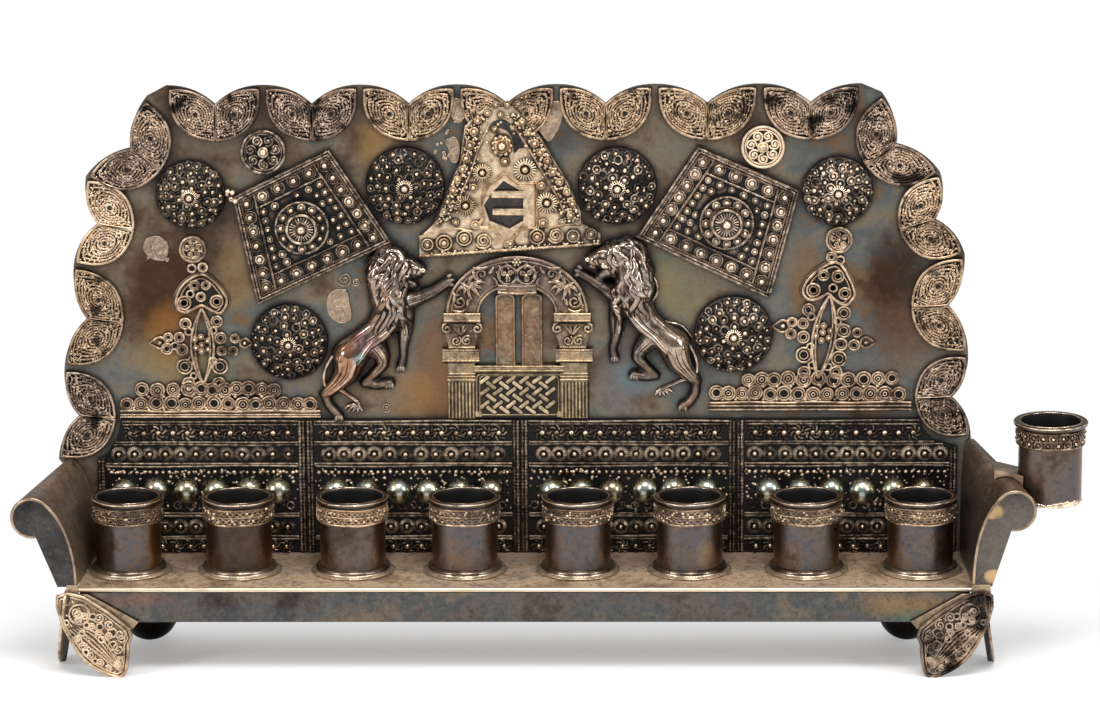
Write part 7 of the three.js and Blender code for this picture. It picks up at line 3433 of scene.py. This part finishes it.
@dataclass
class Cups:
    """The eight cups in a row and the servant cup on the right arm.

    Attributes:
        row_x: The x of the eight cups.
        brown: How brown the sides of each are.
        row_y: Their y.
        foot: The z of their bottoms.
        floor: How high their floors lie inside.
        crease: The angle in degrees above which their edges stay sharp.
        collar_out: How far the collars' ground lies off the tube.
        grains: The number of grains on a collar.
        seed: The seed of the first cup's random numbers.
        servant_seed: The seed of the servant cup's random numbers.
    """

    row_x: tuple[float, ...] = (-90.7, -65.4, -39.4, -13.8, 12, 37.5, 64.1, 90)
    brown: tuple[float, ...] = (1.0, 0.7, 0.6, 0.7, 0.6, 0.5, 0.6, 0.8)
    row_y: float = 15.0
    foot: float = 20.8
    floor: float = 1.2
    crease: float = 38.0
    collar_out: float = 0.15
    grains: int = 150
    seed: int = 700
    servant_seed: int = 720

    def build(self, shop: Workshop) -> None:
        """Makes all nine cups.

        Args:
            shop: What makes and dresses the pieces.
        """
        for number, (x, brown) in enumerate(zip(self.row_x, self.brown), 1):
            plan = CupPlan(
                f"cup_{number}", f"oil_cup_{number}", x, self.row_y, self.foot,
                bore=6.8, tube=7.5, lip=8.2, flange=9.2, height=17.4, brown=brown,
            )
            self._cup(shop, plan, self.seed + number)
        servant = CupPlan(
            "cup_servant", "servant_cup", 118.9, 12.0, 37.9,
            bore=6.6, tube=7.2, lip=8.4, flange=7.2, height=18.6, brown=0.4,
        )
        self._cup(shop, servant, self.servant_seed)

    def _profile(self, plan: CupPlan) -> list[Pair]:
        """The cup's section from the middle of its bottom round to the middle of its floor.

        Args:
            plan: The cup's place and sizes.

        Returns:
            Radii and heights.
        """
        top, tube, lip = plan.height, plan.tube, plan.lip
        rim = [
            (tube, top - 5.5), (tube, top - 5.4), (tube + 0.15, top - 5.3), (tube + 0.15, top - 1.6),
            (tube + 0.05, top - 1.5), (tube + 0.05, top - 1.35), (lip - 0.35, top - 1.2), (lip - 0.06, top - 0.9),
            (lip, top - 0.6), (lip - 0.06, top - 0.3), (lip - 0.3, top - 0.06), (lip - 0.6, top),
            (lip - 0.95, top - 0.1), (plan.bore + 0.1, top - 0.45), (plan.bore, top - 0.9), (plan.bore, top - 2.5),
        ]
        walls = [(tube, z) for z in (0.5, 1.2, 3.0, 6.0, 9.0)]
        floor = [(plan.bore, self.floor + 0.5), (plan.bore - 0.5, self.floor), (0, self.floor)]
        return [(0, 0), (tube - 0.1, 0), (tube, 0.15), *walls, *rim, *floor]

    def _cup(self, shop: Workshop, plan: CupPlan, seed: int) -> None:
        """Makes one cup's body, its collar, its foot ring and the pale edges of its lip, wear with a painted highlight.

        Args:
            shop: What makes and dresses the pieces.
            plan: The cup's place and sizes.
            seed: The seed of its random numbers.
        """
        place = Matrix.Translation((plan.x, plan.y, plan.z))
        body = Patch.of_mesh(turned(self._profile(plan)), 0.0)
        reach = np.hypot(body.points[:, 0], body.points[:, 1])
        # The inside of the bore gets the colour of the hollows, as painted shade.
        inside = (reach < plan.bore + 0.15) & (body.points[:, 2] > self.floor - 0.1)
        body.height = np.where(inside, 0.0, 1.0)
        # Painted shade: the body turns browner towards its left and right edges as seen from the front.
        side = np.abs(body.points[:, 0]) / plan.tube
        body.tone = np.clip(0.35 + plan.brown * np.clip((side - 0.62) / 0.3, 0, 1), 0, 1)
        shop.piece(body.moved(place), f"{plan.name}_body", Finish.CUP, plan.node, crease=self.crease)
        work = Filigree(shop.stock, seed)
        self._collar(work, plan)
        collar = work.patch().wrapped(plan.x, plan.y, plan.tube + self.collar_out)
        shop.piece(collar, f"{plan.name}_collar", Finish.COLLAR)
        foot = self._foot_ring(plan) if plan.flange > plan.tube else self._bead(shop, plan, seed)
        shop.piece(foot.moved(place), f"{plan.name}_foot", Finish.FLANGE)
        # The pale edges of the lip stand for wear and painted highlights.
        shop.piece(self._lip_wear_and_highlights(plan).moved(place), f"{plan.name}_lip", Finish.FLANGE)

    @staticmethod
    def _lip_wear_and_highlights(plan: CupPlan) -> Patch:
        """Turns the two thin pale edges of the lip, worn and painted pale as highlights, a little sunk in places.

        Args:
            plan: The cup's place and sizes.

        Returns:
            Both edges, round the origin.
        """
        outer = (plan.lip - 0.13, plan.height - 0.32, 0.17)
        inner = (plan.bore + 0.4, plan.height - 0.12, 0.14)
        rings = []
        for reach, z, thick in (outer, inner):
            section = circle(reach, z, thick, 8)
            ring = Patch.of_mesh(turned([*section, section[0]]), 0.75)
            angle = np.arctan2(ring.points[:, 1], ring.points[:, 0])
            ring.points[:, 2] -= 0.07 * (1 + np.sin(2 * angle + plan.x + reach) * np.cos(5 * angle + plan.x))
            rings.append(ring)
        return Patch.joined(rings)

    def _foot_ring(self, plan: CupPlan) -> Patch:
        """Turns the domed ring at the foot and the thin solder ring under it, a little uneven.

        Args:
            plan: The cup's place and sizes.

        Returns:
            The ring, round the origin.
        """
        inner, edge = plan.tube - 0.2, plan.flange
        profile = [
            (inner, 0.02), (edge + 0.5, 0.02), (edge + 0.4, 0.1), (edge, 0.2), (edge - 0.1, 0.3), (edge - 0.45, 0.38),
            (edge - 0.62, 0.44), (edge - 0.6, 0.7), (edge - 0.66, 1.0), (edge - 0.85, 1.28), (edge - 1.15, 1.42),
            (plan.tube + 0.1, 1.5), (inner, 1.7), (inner, 0.02),
        ]
        ring = Patch.of_mesh(turned(profile), 0.3)
        angle = np.arctan2(ring.points[:, 0], -ring.points[:, 1])
        wave = 0.06 * np.sin(3 * angle + plan.x) + 0.03 * np.sin(7 * angle + 2 * plan.x)
        outer = np.clip((np.hypot(ring.points[:, 0], ring.points[:, 1]) - plan.tube) / (edge - plan.tube), 0, 1)
        low = ring.points[:, 2] < 0.5
        ring.tone[low] = 1.0
        ring.points[:, :2] *= (1 + np.where(low, wave * outer / edge - 0.003 * outer, 0.0))[:, None]
        return ring

    @staticmethod
    def _bead(shop: Workshop, plan: CupPlan, seed: int) -> Patch:
        """Lumpy solder along the front of a foot without a flange.

        Args:
            shop: What makes and dresses the pieces.
            plan: The cup's place and sizes.
            seed: The seed of its random numbers.

        Returns:
            The solder, round the origin.
        """
        work = Filigree(shop.stock, seed + 5)
        for angle in np.linspace(-75, 75, 34):
            turn = math.radians(float(angle))
            tall = 0.55 + 0.5 * max(0.0, math.sin(2.2 * turn + 0.4)) + work.chance.uniform(-0.15, 0.2)
            place = (plan.tube * math.sin(turn), -plan.tube * math.cos(turn), 0.35 * tall)
            work.shaped(Stamp.GRANULE, place, (0.62, 0.25, tall * 0.7), angle, 0.9)
        return work.patch()

    def _collar(self, work: Filigree, plan: CupPlan) -> None:
        """Lays the collar's wires on a length of strip.

        Args:
            work: The filigree that it is laid in.
            plan: The cup's place and sizes.
        """
        round_length = TAU * (plan.tube + self.collar_out)
        top = plan.z + plan.height
        worn = 1.45 - 0.85 * plan.brown
        count = 60
        marks = [round_length * (i / count - 0.5) for i in range(count)]
        phase = work.chance.uniform(0, TAU)

        def line(z: float, radius: float, draw: Draw, tone: float, hand: int = 1) -> None:
            """Lays one nearly level wire.

            Args:
                z: Its height.
                radius: Its radius.
                draw: How it is worked.
                tone: How rubbed it is.
                hand: Which way it is twisted.
            """
            path = [(s, z + 0.06 * math.sin(5 * TAU * s / round_length + phase)) for s in marks]
            self._ring(work, path, radius, draw, tone * worn, hand, round_length)

        def wave(z: float, swing: float, waves: int, lag: float, tone: float) -> None:
            """Lays one waving wire.

            Args:
                z: The height of its middle line.
                swing: How far it swings to each side.
                waves: How many waves it has.
                lag: Where in a wave it starts.
                tone: How rubbed it is.
            """
            steps = waves * 8
            path = []
            for i in range(steps):
                uneven = 0.9 * math.sin(i / 9 + phase)
                path.append((round_length * (i / steps - 0.5), z + swing * math.sin(TAU * i / 8 + lag + uneven)))
            self._ring(work, path, 0.26, Draw.TWISTED, tone * worn, 1, round_length)

        line(top - 5.2, 0.3, Draw.PLAIN, 0.75)
        if plan.flange > plan.tube:
            for _ in range(self.grains):
                s, z = work.chance.uniform(-0.5, 0.5) * round_length, top - work.chance.uniform(2.0, 4.9)
                tone = work.chance.choice([0.25, 0.6, 1.0]) * worn
                work.stamp(Stamp.GRANULE, s, z, work.chance.uniform(0.2, 0.36), 0.32, tone)
            for lag in (0.0, 3.1):
                wave(top - 4.3, 0.52, 17, phase + lag, 0.7)
            line(top - 3.4, 0.32, Draw.TWISTED, 0.8)
            for lag in (0.0, 3.1):
                wave(top - 2.5, 0.5, 19, phase + lag, 0.5)
        else:
            for row, z in enumerate((top - 4.3, top - 2.7)):
                for i in range(21):
                    s = round_length * ((i + 0.5 * row) / 21 - 0.5)
                    work.stamp(Stamp.ROPE_RING, s, z, 0.85, 0.25, 0.4)
                    work.stamp(Stamp.GRANULE, s, z, 0.4, 0.35, 0.6)
            line(top - 3.5, 0.22, Draw.TWISTED, 0.5)
        line(top - 1.75, 0.24, Draw.PLAIN, 0.4)

    @staticmethod
    def _ring(
        work: Filigree, path: list[Pair], radius: float, draw: Draw, tone: float, hand: int, length: float
    ) -> None:
        """Lays a wire that goes once round the cup, meeting itself at the back.

        Args:
            work: The filigree that it is laid in.
            path: Its points but the last.
            radius: Its radius.
            draw: How it is worked.
            tone: How rubbed it is.
            hand: Which way it is twisted.
            length: The way once round the cup.
        """
        full = [*path, (path[0][0] + length, path[0][1])]
        work.wire(full, radius, 0.2, draw, False, tone, hand)


# Bench and arms


@dataclass
class Bench:
    """The bench's top sheet and the polished roll along its front edge."""

    depth: float = ORNAMENT_Y
    sheet: float = 1.0
    soften: float = 0.08

    def build(self, shop: Workshop) -> None:
        """Makes the sheet and its front edge.

        Args:
            shop: What makes and dresses the pieces.
        """
        middle = (0, (self.depth + self.sheet / 2) / 2, BENCH_TOP - self.sheet / 2)
        size = (2 * BENCH_HALF, self.depth - self.sheet / 2, self.sheet, 1)
        bm = bmesh.new()
        bmesh.ops.create_cube(bm, size=1, matrix=Matrix.Translation(middle) @ Matrix.Diagonal(size))
        bmesh.ops.bevel(
            bm, geom=list(bm.edges), offset=self.soften, segments=2, profile=0.5, affect="EDGES", material=-1
        )
        shop.piece(Patch.of_mesh(mesh_of(bm)), "bench_sheet", Finish.BENCH, "bench_top", crease=SHEET_CREASE)
        nose = self.sheet / 2
        bm = bmesh.new()
        turn = Matrix.Translation((0, nose, BENCH_TOP - nose)) @ Matrix.Rotation(math.pi / 2, 4, "Y")
        bmesh.ops.create_cone(
            bm, segments=20, radius1=nose + 0.02, radius2=nose + 0.02, depth=2 * BENCH_HALF, cap_ends=True, matrix=turn
        )
        shop.piece(Patch.of_mesh(mesh_of(bm)), "bench_edge", Finish.NOSE, crease=SHEET_CREASE)


@dataclass(frozen=True)
class Roll:
    """One end of an arm: where its sheet leaves the bench and the circle it rolls round."""

    root: float
    x: float
    z: float
    radius: float


@dataclass
class Arms:
    """The two arms of rolled sheet, their front plates and the gilt wire round the plates."""

    ends: dict[str, tuple[Roll, Roll]] = field(
        default_factory=lambda: {
            "left": (Roll(101, 110.8, 36.9, 4.7), Roll(99.6, 105.3, 41.6, 1.5)),
            "right": (Roll(101, 110.4, 38.4, 4.7), Roll(99.9, 102.2, 46, 1.5)),
        }
    )
    foot: float = BENCH_TOP + GAP
    sheet: float = 1.0
    front_y: float = 1.3
    plate_foot: float = 4.4
    roll_from: float = 135.0
    roll_to: float = -100.0
    plate_seed: int = 780
    rim_seed: int = 790

    def build(self, shop: Workshop) -> None:
        """Makes both arms.

        Args:
            shop: What makes and dresses the pieces.
        """
        for side, (front, back) in self.ends.items():
            sign = -1 if side == "left" else 1
            self._sheet(shop, side, sign, front, back)
            self._plate(shop, side, sign, front)

    def _line(self, roll: Roll, inset: float) -> list[Pair]:
        """One face of the sheet's section, from the bench up and round the roll.

        Args:
            roll: The arm's end.
            inset: How far the face lies inside the sheet's outer one.

        Returns:
            The face's points.
        """
        start = (roll.root + inset, self.foot)
        reach = roll.radius - inset
        turned_in = math.radians(self.roll_from)
        end = (roll.x + reach * math.cos(turned_in), roll.z + reach * math.sin(turned_in))
        control = (start[0], max(end[1] - (end[0] - start[0]), start[1] + 2))
        rise = quadratic(start, control, end, 16)[:-1]
        return rise + arc(roll.x, roll.z, reach, reach, self.roll_from, self.roll_to, 30)

    def _sheet(self, shop: Workshop, side: str, sign: int, front: Roll, back: Roll) -> None:
        """Makes one rolled sheet, which narrows towards the backplate.

        Args:
            shop: What makes and dresses the pieces.
            side: left or right, for the names.
            sign: -1 on the left, 1 on the right.
            front: Its front end.
            back: Its back end.
        """
        sections = [[*self._line(roll, 0.0), *reversed(self._line(roll, self.sheet))] for roll in (front, back)]
        bm = bmesh.new()
        ring = [bm.verts.new((sign * x, self.front_y, z)) for x, z in sections[0]]
        face = bm.faces.new(ring)
        places = {tuple(round(c, 4) for c in vert.co): i for i, vert in enumerate(ring)}
        grown = bmesh.ops.extrude_face_region(bm, geom=[face])["geom"]
        for vert in [item for item in grown if isinstance(item, bmesh.types.BMVert)]:
            x, z = sections[1][places[tuple(round(c, 4) for c in vert.co)]]
            vert.co = (sign * x, ORNAMENT_Y, z)
        bmesh.ops.triangulate(bm, faces=[f for f in bm.faces if len(f.verts) > 4])
        bmesh.ops.recalc_face_normals(bm, faces=bm.faces)
        shop.piece(Patch.of_mesh(mesh_of(bm)), f"arm_sheet_{side}", Finish.ARM, f"arm_{side}", crease=SHEET_CREASE)

    def _plate(self, shop: Workshop, side: str, sign: int, front: Roll) -> None:
        """Makes the plate that closes the roll in front, and its rim.

        Args:
            shop: What makes and dresses the pieces.
            side: left or right, for the names.
            sign: -1 on the left, 1 on the right.
            front: The arm's front end.
        """
        work = Filigree(shop.stock, self.plate_seed + sign)
        outline = [*self._line(front, self.sheet / 2), (front.root + self.plate_foot, self.foot)]
        work.plate([(sign * x, z) for x, z in outline], GAP - self.front_y, 0, 0.15, 0.5)
        shop.laid(work, f"arm_front_{side}", Finish.DARK_SHEET, f"arm_plate_{side}", y=0, crease=SHEET_CREASE)
        rim = Filigree(shop.stock, self.rim_seed + sign)
        rim.wire([(sign * x, z) for x, z in self._line(front, 0.3)], 0.42, -0.4)
        shop.laid(rim, f"arm_rim_{side}", Finish.RIM, y=0)


# Feet


@dataclass
class Feet:
    """The folded leaf feet in front, their gilt strips and the ball feet behind.

    Attributes:
        fold_x: How far the folds lie from the middle at the table.
        fold_top: Their upper end.
        splay: How much they lean outwards.
        thick: The thickness of a leaf with its work.
        front_y: Where the front leaves' ground lies.
        outline: One leaf, from its fold.
        scrolls: Its scrolls.
        holes: Its holes, as discs of painted shade.
        gusset: The strip that fixes a foot to the apron.
        solder_end: How far the solder under each arm reaches.
        ball_x: How far the ball feet lie from the middle.
        ball_y: Their y.
        ball_radius: Their radius.
        apron_level: Where they meet the apron.
        grains: The number of granules on a leaf.
        front_seed: The seed of the front leaves.
        back_seed: The seed of the leaves turned back.
        strip_seed: The seed of the strips.
        solder_seed: The seed of the solder.
    """

    fold_x: float = 105.4
    fold_top: float = 19.2
    splay: float = 0.16
    thick: float = 1.5
    front_y: float = -0.4
    outline: tuple[Pair, ...] = (
        (0, 19.2), (5.9, 19.1), (16.3, 11.5), (16.1, 8), (15.9, 5.2), (15.5, 2.3), (14.9, 0.8), (14.1, 0), (12.5, 0),
        (9.2, 1.4), (6, 3.6), (3.9, 6.4), (2.2, 9.8), (1.2, 12), (0.6, 14),
    )
    scrolls: tuple[Round, ...] = (
        (4.2, 15.4, 1.15), (6.2, 14.3, 0.95), (4.6, 13.5, 0.85), (9.4, 14.0, 1.25), (11.7, 12.3, 1.25),
        (7.6, 11.9, 0.9), (14.1, 10.1, 1.3), (11.6, 9.7, 1.0), (13.6, 6.6, 1.3), (14.0, 4.1, 0.85), (9.3, 10.4, 0.9),
        (4.4, 9.0, 0.95), (5.5, 7.2, 1.1), (7.3, 5.1, 1.1), (9.3, 3.5, 1.0), (11.3, 2.1, 0.8), (2.3, 17.6, 0.7),
        (13.0, 3.0, 0.6),
    )
    holes: tuple[Round, ...] = (
        (4.8, 14.8, 0.6), (6.6, 12.3, 0.45), (12.3, 10.5, 0.8), (12.4, 7.4, 0.85), (6.2, 5.8, 0.5), (2.0, 12.9, 0.35),
        (8.0, 14.3, 0.5), (9.6, 11.9, 0.55), (9.8, 8.9, 0.5), (5.5, 10.4, 0.4), (13.4, 3.1, 0.45), (3.9, 9.0, 0.4),
        (8.2, 3.8, 0.4), (14.4, 9.0, 0.5),
    )
    gusset: tuple[Pair, ...] = (
        (-100.9, 19.1), (-98.6, 19.1), (-87.2, 12.6), (-88.6, 10.9), (-91, 10.9), (-100.9, 17.2),
    )
    solder_end: dict[str, float] = field(default_factory=lambda: {"left": 103.6, "right": 105.2})
    ball_x: float = 88.0
    ball_y: float = 29.5
    ball_radius: float = 6.7
    apron_level: float = 12.0
    grains: int = 260
    front_seed: int = 740
    back_seed: int = 750
    strip_seed: int = 760
    solder_seed: int = 770

    def build(self, shop: Workshop) -> None:
        """Makes all four feet and both strips.

        Args:
            shop: What makes and dresses the pieces.
        """
        for side, sign in (("left", -1), ("right", 1)):
            front = Filigree(shop.stock, self.front_seed + sign)
            self._leaf(front, -sign)
            patch = front.patch().moved(on_plate(self.front_y) @ Matrix.Translation((sign * self.fold_x, 0, 0)))
            back = Filigree(shop.stock, self.back_seed + sign)
            self._leaf(back, sign)
            turned_back = back.patch().moved(self._side_place(sign))
            finish = Finish.PALE_LEAF if side == "left" else Finish.DARK_LEAF
            shop.piece(Patch.joined([patch, turned_back]), f"front_foot_work_{side}", finish, f"front_foot_{side}")
            strip = Filigree(shop.stock, self.strip_seed + sign)
            outline = [(-sign * x, z) for x, z in self.gusset]
            strip.plate(outline, 0, 0.75, 0.22, 0.7)
            y = self.front_y + 0.3 + 0.7
            shop.laid(strip, f"foot_strip_{side}", Finish.GILT, f"foot_gusset_{side}", y=y, crease=SHEET_CREASE)
            self._ball(shop, side, sign)
            run = Filigree(shop.stock, self.solder_seed + sign)
            reach = self.solder_end[side]
            top = BENCH_TOP + GAP + 0.5
            corners = [(100.7, self.fold_top - 0.1), (reach, self.fold_top - 0.1), (reach - 0.3, top), (100.8, top)]
            run.plate([(sign * x, z) for x, z in corners], 0, 0.9, 0.2, 0.6)
            shop.laid(run, f"foot_solder_{side}", Finish.GILT, y=0.6, crease=SHEET_CREASE)

    def _side_place(self, sign: int) -> Matrix:
        """Where the leaf that is turned back lies, sheared outwards towards its toe.

        Args:
            sign: -1 on the left, 1 on the right.

        Returns:
            The place of work drawn as x, z and height.
        """
        y0 = self.front_y - self.thick
        x0 = sign * (self.fold_x + self.splay * self.fold_top - 2 * self.thick)
        return Matrix(((0, -sign * self.splay, sign, x0), (sign, 0, 0, y0), (0, 1, 0, 0), (0, 0, 0, 1)))

    def _leaf(self, work: Filigree, hand: int) -> None:
        """Lays one leaf of a foot; hand 1 has its toe to the right of the fold.

        Args:
            work: The filigree that it is laid in.
            hand: -1 for a toe to the left of the fold, 1 for one to the right.
        """
        outline = [(hand * u, v) for u, v in self.outline]
        work.plate(outline, 0, 0.75, 0.0, 0.25)
        ring = np.array(rounded(self.outline, steps=2))
        centre = ring.mean(axis=0)

        def inset(depth: float) -> list[Pair]:
            """The outline moved towards its centre by depth.

            Args:
                depth: How far.

            Returns:
                The new outline's points.
            """
            away = ring - centre
            length = np.linalg.norm(away, axis=1, keepdims=True)
            return [(hand * float(u), float(v)) for u, v in centre + away * (1 - depth / length)]

        work.wire(inset(0.25), 0.42, 1.1, closed=True, tone=0.6)
        work.wire(inset(1.1), 0.28, 1.05, closed=True, tone=0.75)
        work.wire([(hand * u, v) for u, v in circle(5.0, 14.8, 2.35, 20)], 0.3, 1.05, closed=True, tone=0.75)
        for k in range(6):
            start = (2.7 + 0.75 * k, 11.3 + 0.1 * k)
            middle = (6.6 + 0.75 * k, 7.4 + 0.55 * k)
            end = (14.3 + 0.03 * k, 1.2 + 0.12 * k)
            path = rounded([start, middle, end], False, 6)
            work.wire([(hand * u, v) for u, v in path], 0.25, 1.05, Draw.TWISTED if k % 2 else Draw.PLAIN, tone=0.75)
        for u, v, radius in self.scrolls:
            turns = work.chance.choice([-1.7, 1.7])
            work.wire(scroll(hand * u, v, radius, work.chance.uniform(0, 360), turns, 22), 0.26, 1.05, tone=0.9)
            # A disc of tarnish and painted shade beside each scroll.
            work.pit(hand * (u + 0.3 * radius), v - 0.3 * radius, 0.42 * radius, 0.82)
        for _ in range(self.grains):
            towards = ring[work.chance.integers(len(ring))] - centre
            u, v = centre + towards * work.chance.uniform(0.0, 0.9) ** 0.5 * 0.93
            work.stamp(Stamp.GRANULE, hand * u, v, work.chance.uniform(0.16, 0.3), 0.8, 0.7)
        for u, v, radius in self.holes:
            # Each hole is a disc of painted shade, ringed with wire.
            work.pit(hand * u, v, radius, 1.12)
            work.wire([(hand * x, z) for x, z in circle(u, v, radius + 0.22, 16)], 0.24, 1.1, closed=True, tone=0.9)

    def _ball(self, shop: Workshop, side: str, sign: int) -> None:
        """Makes one ball foot, flattened where it stands and where it meets the apron.

        Args:
            shop: What makes and dresses the pieces.
            side: left or right, for the names.
            sign: -1 on the left, 1 on the right.
        """
        bm = bmesh.new()
        bmesh.ops.create_uvsphere(
            bm, u_segments=40, v_segments=28, radius=self.ball_radius,
            matrix=Matrix.Translation((sign * self.ball_x, self.ball_y, self.ball_radius - 0.35)),
        )
        for height, upwards in ((0.0, 1), (self.apron_level, -1)):
            cut_level(bm, height, upwards)
        bmesh.ops.recalc_face_normals(bm, faces=bm.faces)
        patch = Patch.of_mesh(mesh_of(bm))
        shop.piece(patch, f"rear_foot_work_{side}", Finish.BLACK_BALL, f"rear_foot_{side}", crease=40)


# The scene


@dataclass
class Studio:
    """Camera, floor and lamps.

    Attributes:
        aim: The point that the camera looks at.
        azimuth: The camera's angle round the lamp in degrees.
        elevation: Its angle above the table in degrees.
        roll: Its own turn in degrees.
        distance: Its distance from the aim.
        focal_share: Its focal length as a share of the picture's width.
        sensor: The width of its sensor.
        clip_end: The farthest distance that it sees, in metres.
        floor_half: Half the floor's width in metres.
        veil: How much plain white covers the floor next to the lamp.
        eye_level: The world's strength at eye level.
        overhead: Its strength overhead.
        lamps: Name, place, size and power of each lamp.
    """

    aim: Vector = field(default_factory=lambda: Vector((0.04, -2.15, 70.72)))
    azimuth: float = 1.345
    elevation: float = 13.605
    roll: float = -0.413
    distance: float = 1050.0
    focal_share: float = 4646.67 / 1100
    sensor: float = 36.0
    clip_end: float = 20.0
    floor_half: float = 6.0
    veil: float = 0.25
    eye_level: float = 0.24
    overhead: float = 0.62
    lamps: tuple[tuple[str, Round, Pair, float], ...] = (
        ("lamp_above", (0.08, -0.42, 0.82), (0.42, 0.26), 5.8),
        ("lamp_left", (-0.75, -0.6, 0.5), (0.22, 0.45), 4.4),
        ("lamp_right", (0.8, -0.5, 0.55), (0.22, 0.45), 3.6),
    )

    def build(self) -> None:
        """Sets up everything that isn't the lamp itself."""
        self._camera()
        self._floor()
        self._lights()
        bpy.context.scene.view_settings.view_transform = "Standard"

    def _camera(self) -> None:
        """Places the camera at the photograph's viewing angle."""
        a, e = math.radians(self.azimuth), math.radians(self.elevation)
        back = Vector((math.sin(a) * math.cos(e), -math.cos(a) * math.cos(e), math.sin(e)))
        data = bpy.data.cameras.new("camera")
        data.sensor_fit = "HORIZONTAL"
        data.sensor_width = self.sensor
        data.lens = self.sensor * self.focal_share
        data.clip_end = self.clip_end
        camera = bpy.data.objects.new("camera", data)
        camera.location = (self.aim + back * self.distance) * MM
        turn = (-back).to_track_quat("-Z", "Y").to_matrix().to_4x4()
        camera.rotation_euler = (turn @ Matrix.Rotation(math.radians(self.roll), 4, "Z")).to_euler()
        bpy.context.scene.collection.objects.link(camera)
        bpy.context.scene.camera = camera

    def _floor(self) -> None:
        """A wide white floor; the camera sees it as plain white far from the lamp and keeps the shadow near it."""
        bm = bmesh.new()
        bmesh.ops.create_grid(bm, x_segments=1, y_segments=1, size=self.floor_half)
        data = mesh_of(bm)
        floor = bpy.data.objects.new("floor", data)
        bpy.context.scene.collection.objects.link(floor)
        surface = Surface("studio_floor")
        surface.feed(surface.shader.inputs["Base Color"], (0.92, 0.92, 0.92, 1))
        surface.feed(surface.shader.inputs["Roughness"], 0.6)
        across, deep = surface.axis(0), surface.axis(1)
        side = ((across * across) ** 0.5).over(85, 260)
        front = (((deep + 14) * (deep + 14)) ** 0.5).over(0, 80)
        away = (side * side + front * front).over(0, 1) ** 0.36
        seen = Value(surface.node("ShaderNodeLightPath").outputs["Is Camera Ray"])
        veil = seen * (away * (1 - self.veil) + self.veil)
        white = surface.node("ShaderNodeEmission", None, {"Color": (1, 1, 1, 1), "Strength": 1.0})
        sockets = {0: veil, 1: surface.shader.outputs[0], 2: white.outputs[0]}
        blend = surface.node("ShaderNodeMixShader", None, sockets)
        surface.feed(surface.tree.nodes["Material Output"].inputs["Surface"], blend.outputs[0])
        data.materials.append(surface.material)
        floor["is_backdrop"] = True

    def _lights(self) -> None:
        """Lamps above and at both sides, and a world that is brighter overhead than at eye level."""
        world = bpy.data.worlds.new("world")
        world.use_nodes = True
        tree = world.node_tree
        split = tree.nodes.new("ShaderNodeSeparateXYZ")
        tree.links.new(tree.nodes.new("ShaderNodeTexCoord").outputs["Generated"], split.inputs[0])
        level = Value(split.outputs[2]).over(0.05, 0.75) * (self.overhead - self.eye_level) + self.eye_level
        seen = Value(tree.nodes.new("ShaderNodeLightPath").outputs["Is Camera Ray"])
        strength = level * (1 - seen) + seen
        tree.links.new(strength.socket, tree.nodes["Background"].inputs["Strength"])
        tree.nodes["Background"].inputs["Color"].default_value = (1, 1, 1, 1)
        bpy.context.scene.world = world
        for name, place, size, power in self.lamps:
            data = bpy.data.lights.new(name, "AREA")
            data.shape = "RECTANGLE"
            data.size, data.size_y = size
            data.energy = power
            lamp = bpy.data.objects.new(name, data)
            lamp.location = place
            lamp.rotation_euler = (Vector((0, 0, 0.06)) - Vector(place)).to_track_quat("-Z", "Y").to_euler()
            bpy.context.scene.collection.objects.link(lamp)


@dataclass
class PlainNodes:
    """CAD nodes whose shape stays, and the finish that each gets.

    Attributes:
        finishes: The finishes of some nodes by name.
        others: The finish of all others.
    """

    finishes: dict[str, Finish] = field(default_factory=lambda: {"bench_apron": Finish.APRON})
    others: Finish = Finish.RIM

    def build(self, shop: Workshop) -> None:
        """Dresses every CAD node that is still shown.

        Args:
            shop: What makes and dresses the pieces.
        """
        for name, obj in shop.frame["nodes"].items():
            if not obj.hide_render:
                shop.wardrobe.dress(obj, self.finishes.get(name, self.others))


def plain_box(bounds: object) -> object:
    """Turns bounds into plain lists of numbers.

    Args:
        bounds: A number, or anything that lists numbers or vectors.

    Returns:
        The same as floats in lists.
    """
    if isinstance(bounds, (int, float)):
        return float(bounds)
    return [plain_box(item) for item in bounds]


def main() -> None:
    """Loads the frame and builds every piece."""
    logging.basicConfig(level=logging.INFO, format="%(name)s: %(message)s")
    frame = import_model()
    cad_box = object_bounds()
    corner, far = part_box("bench_top")
    shift = Vector((corner.x / MM + BENCH_HALF, corner.y / MM, far.z / MM - BENCH_TOP))
    LOG.info("drawn frame's origin in the packed frame: %s", tuple(round(v, 3) for v in shift))
    shop = Workshop(frame, Stock(), shift, Wardrobe(shift))
    parts = (
        LeafEdge(), Rosettes(), Plaques(), Panels(), Trees(), Gable(), Ark(), Lions(), Cups(), Bench(), Arms(), Feet(),
        Solder(), Backplate(), PlainNodes(),
    )
    for part in parts:
        part.build(shop)
    Studio().build()
    {"cad": plain_box(cad_box), "visual": plain_box(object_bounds())}


if __name__ == "__main__":
    main()
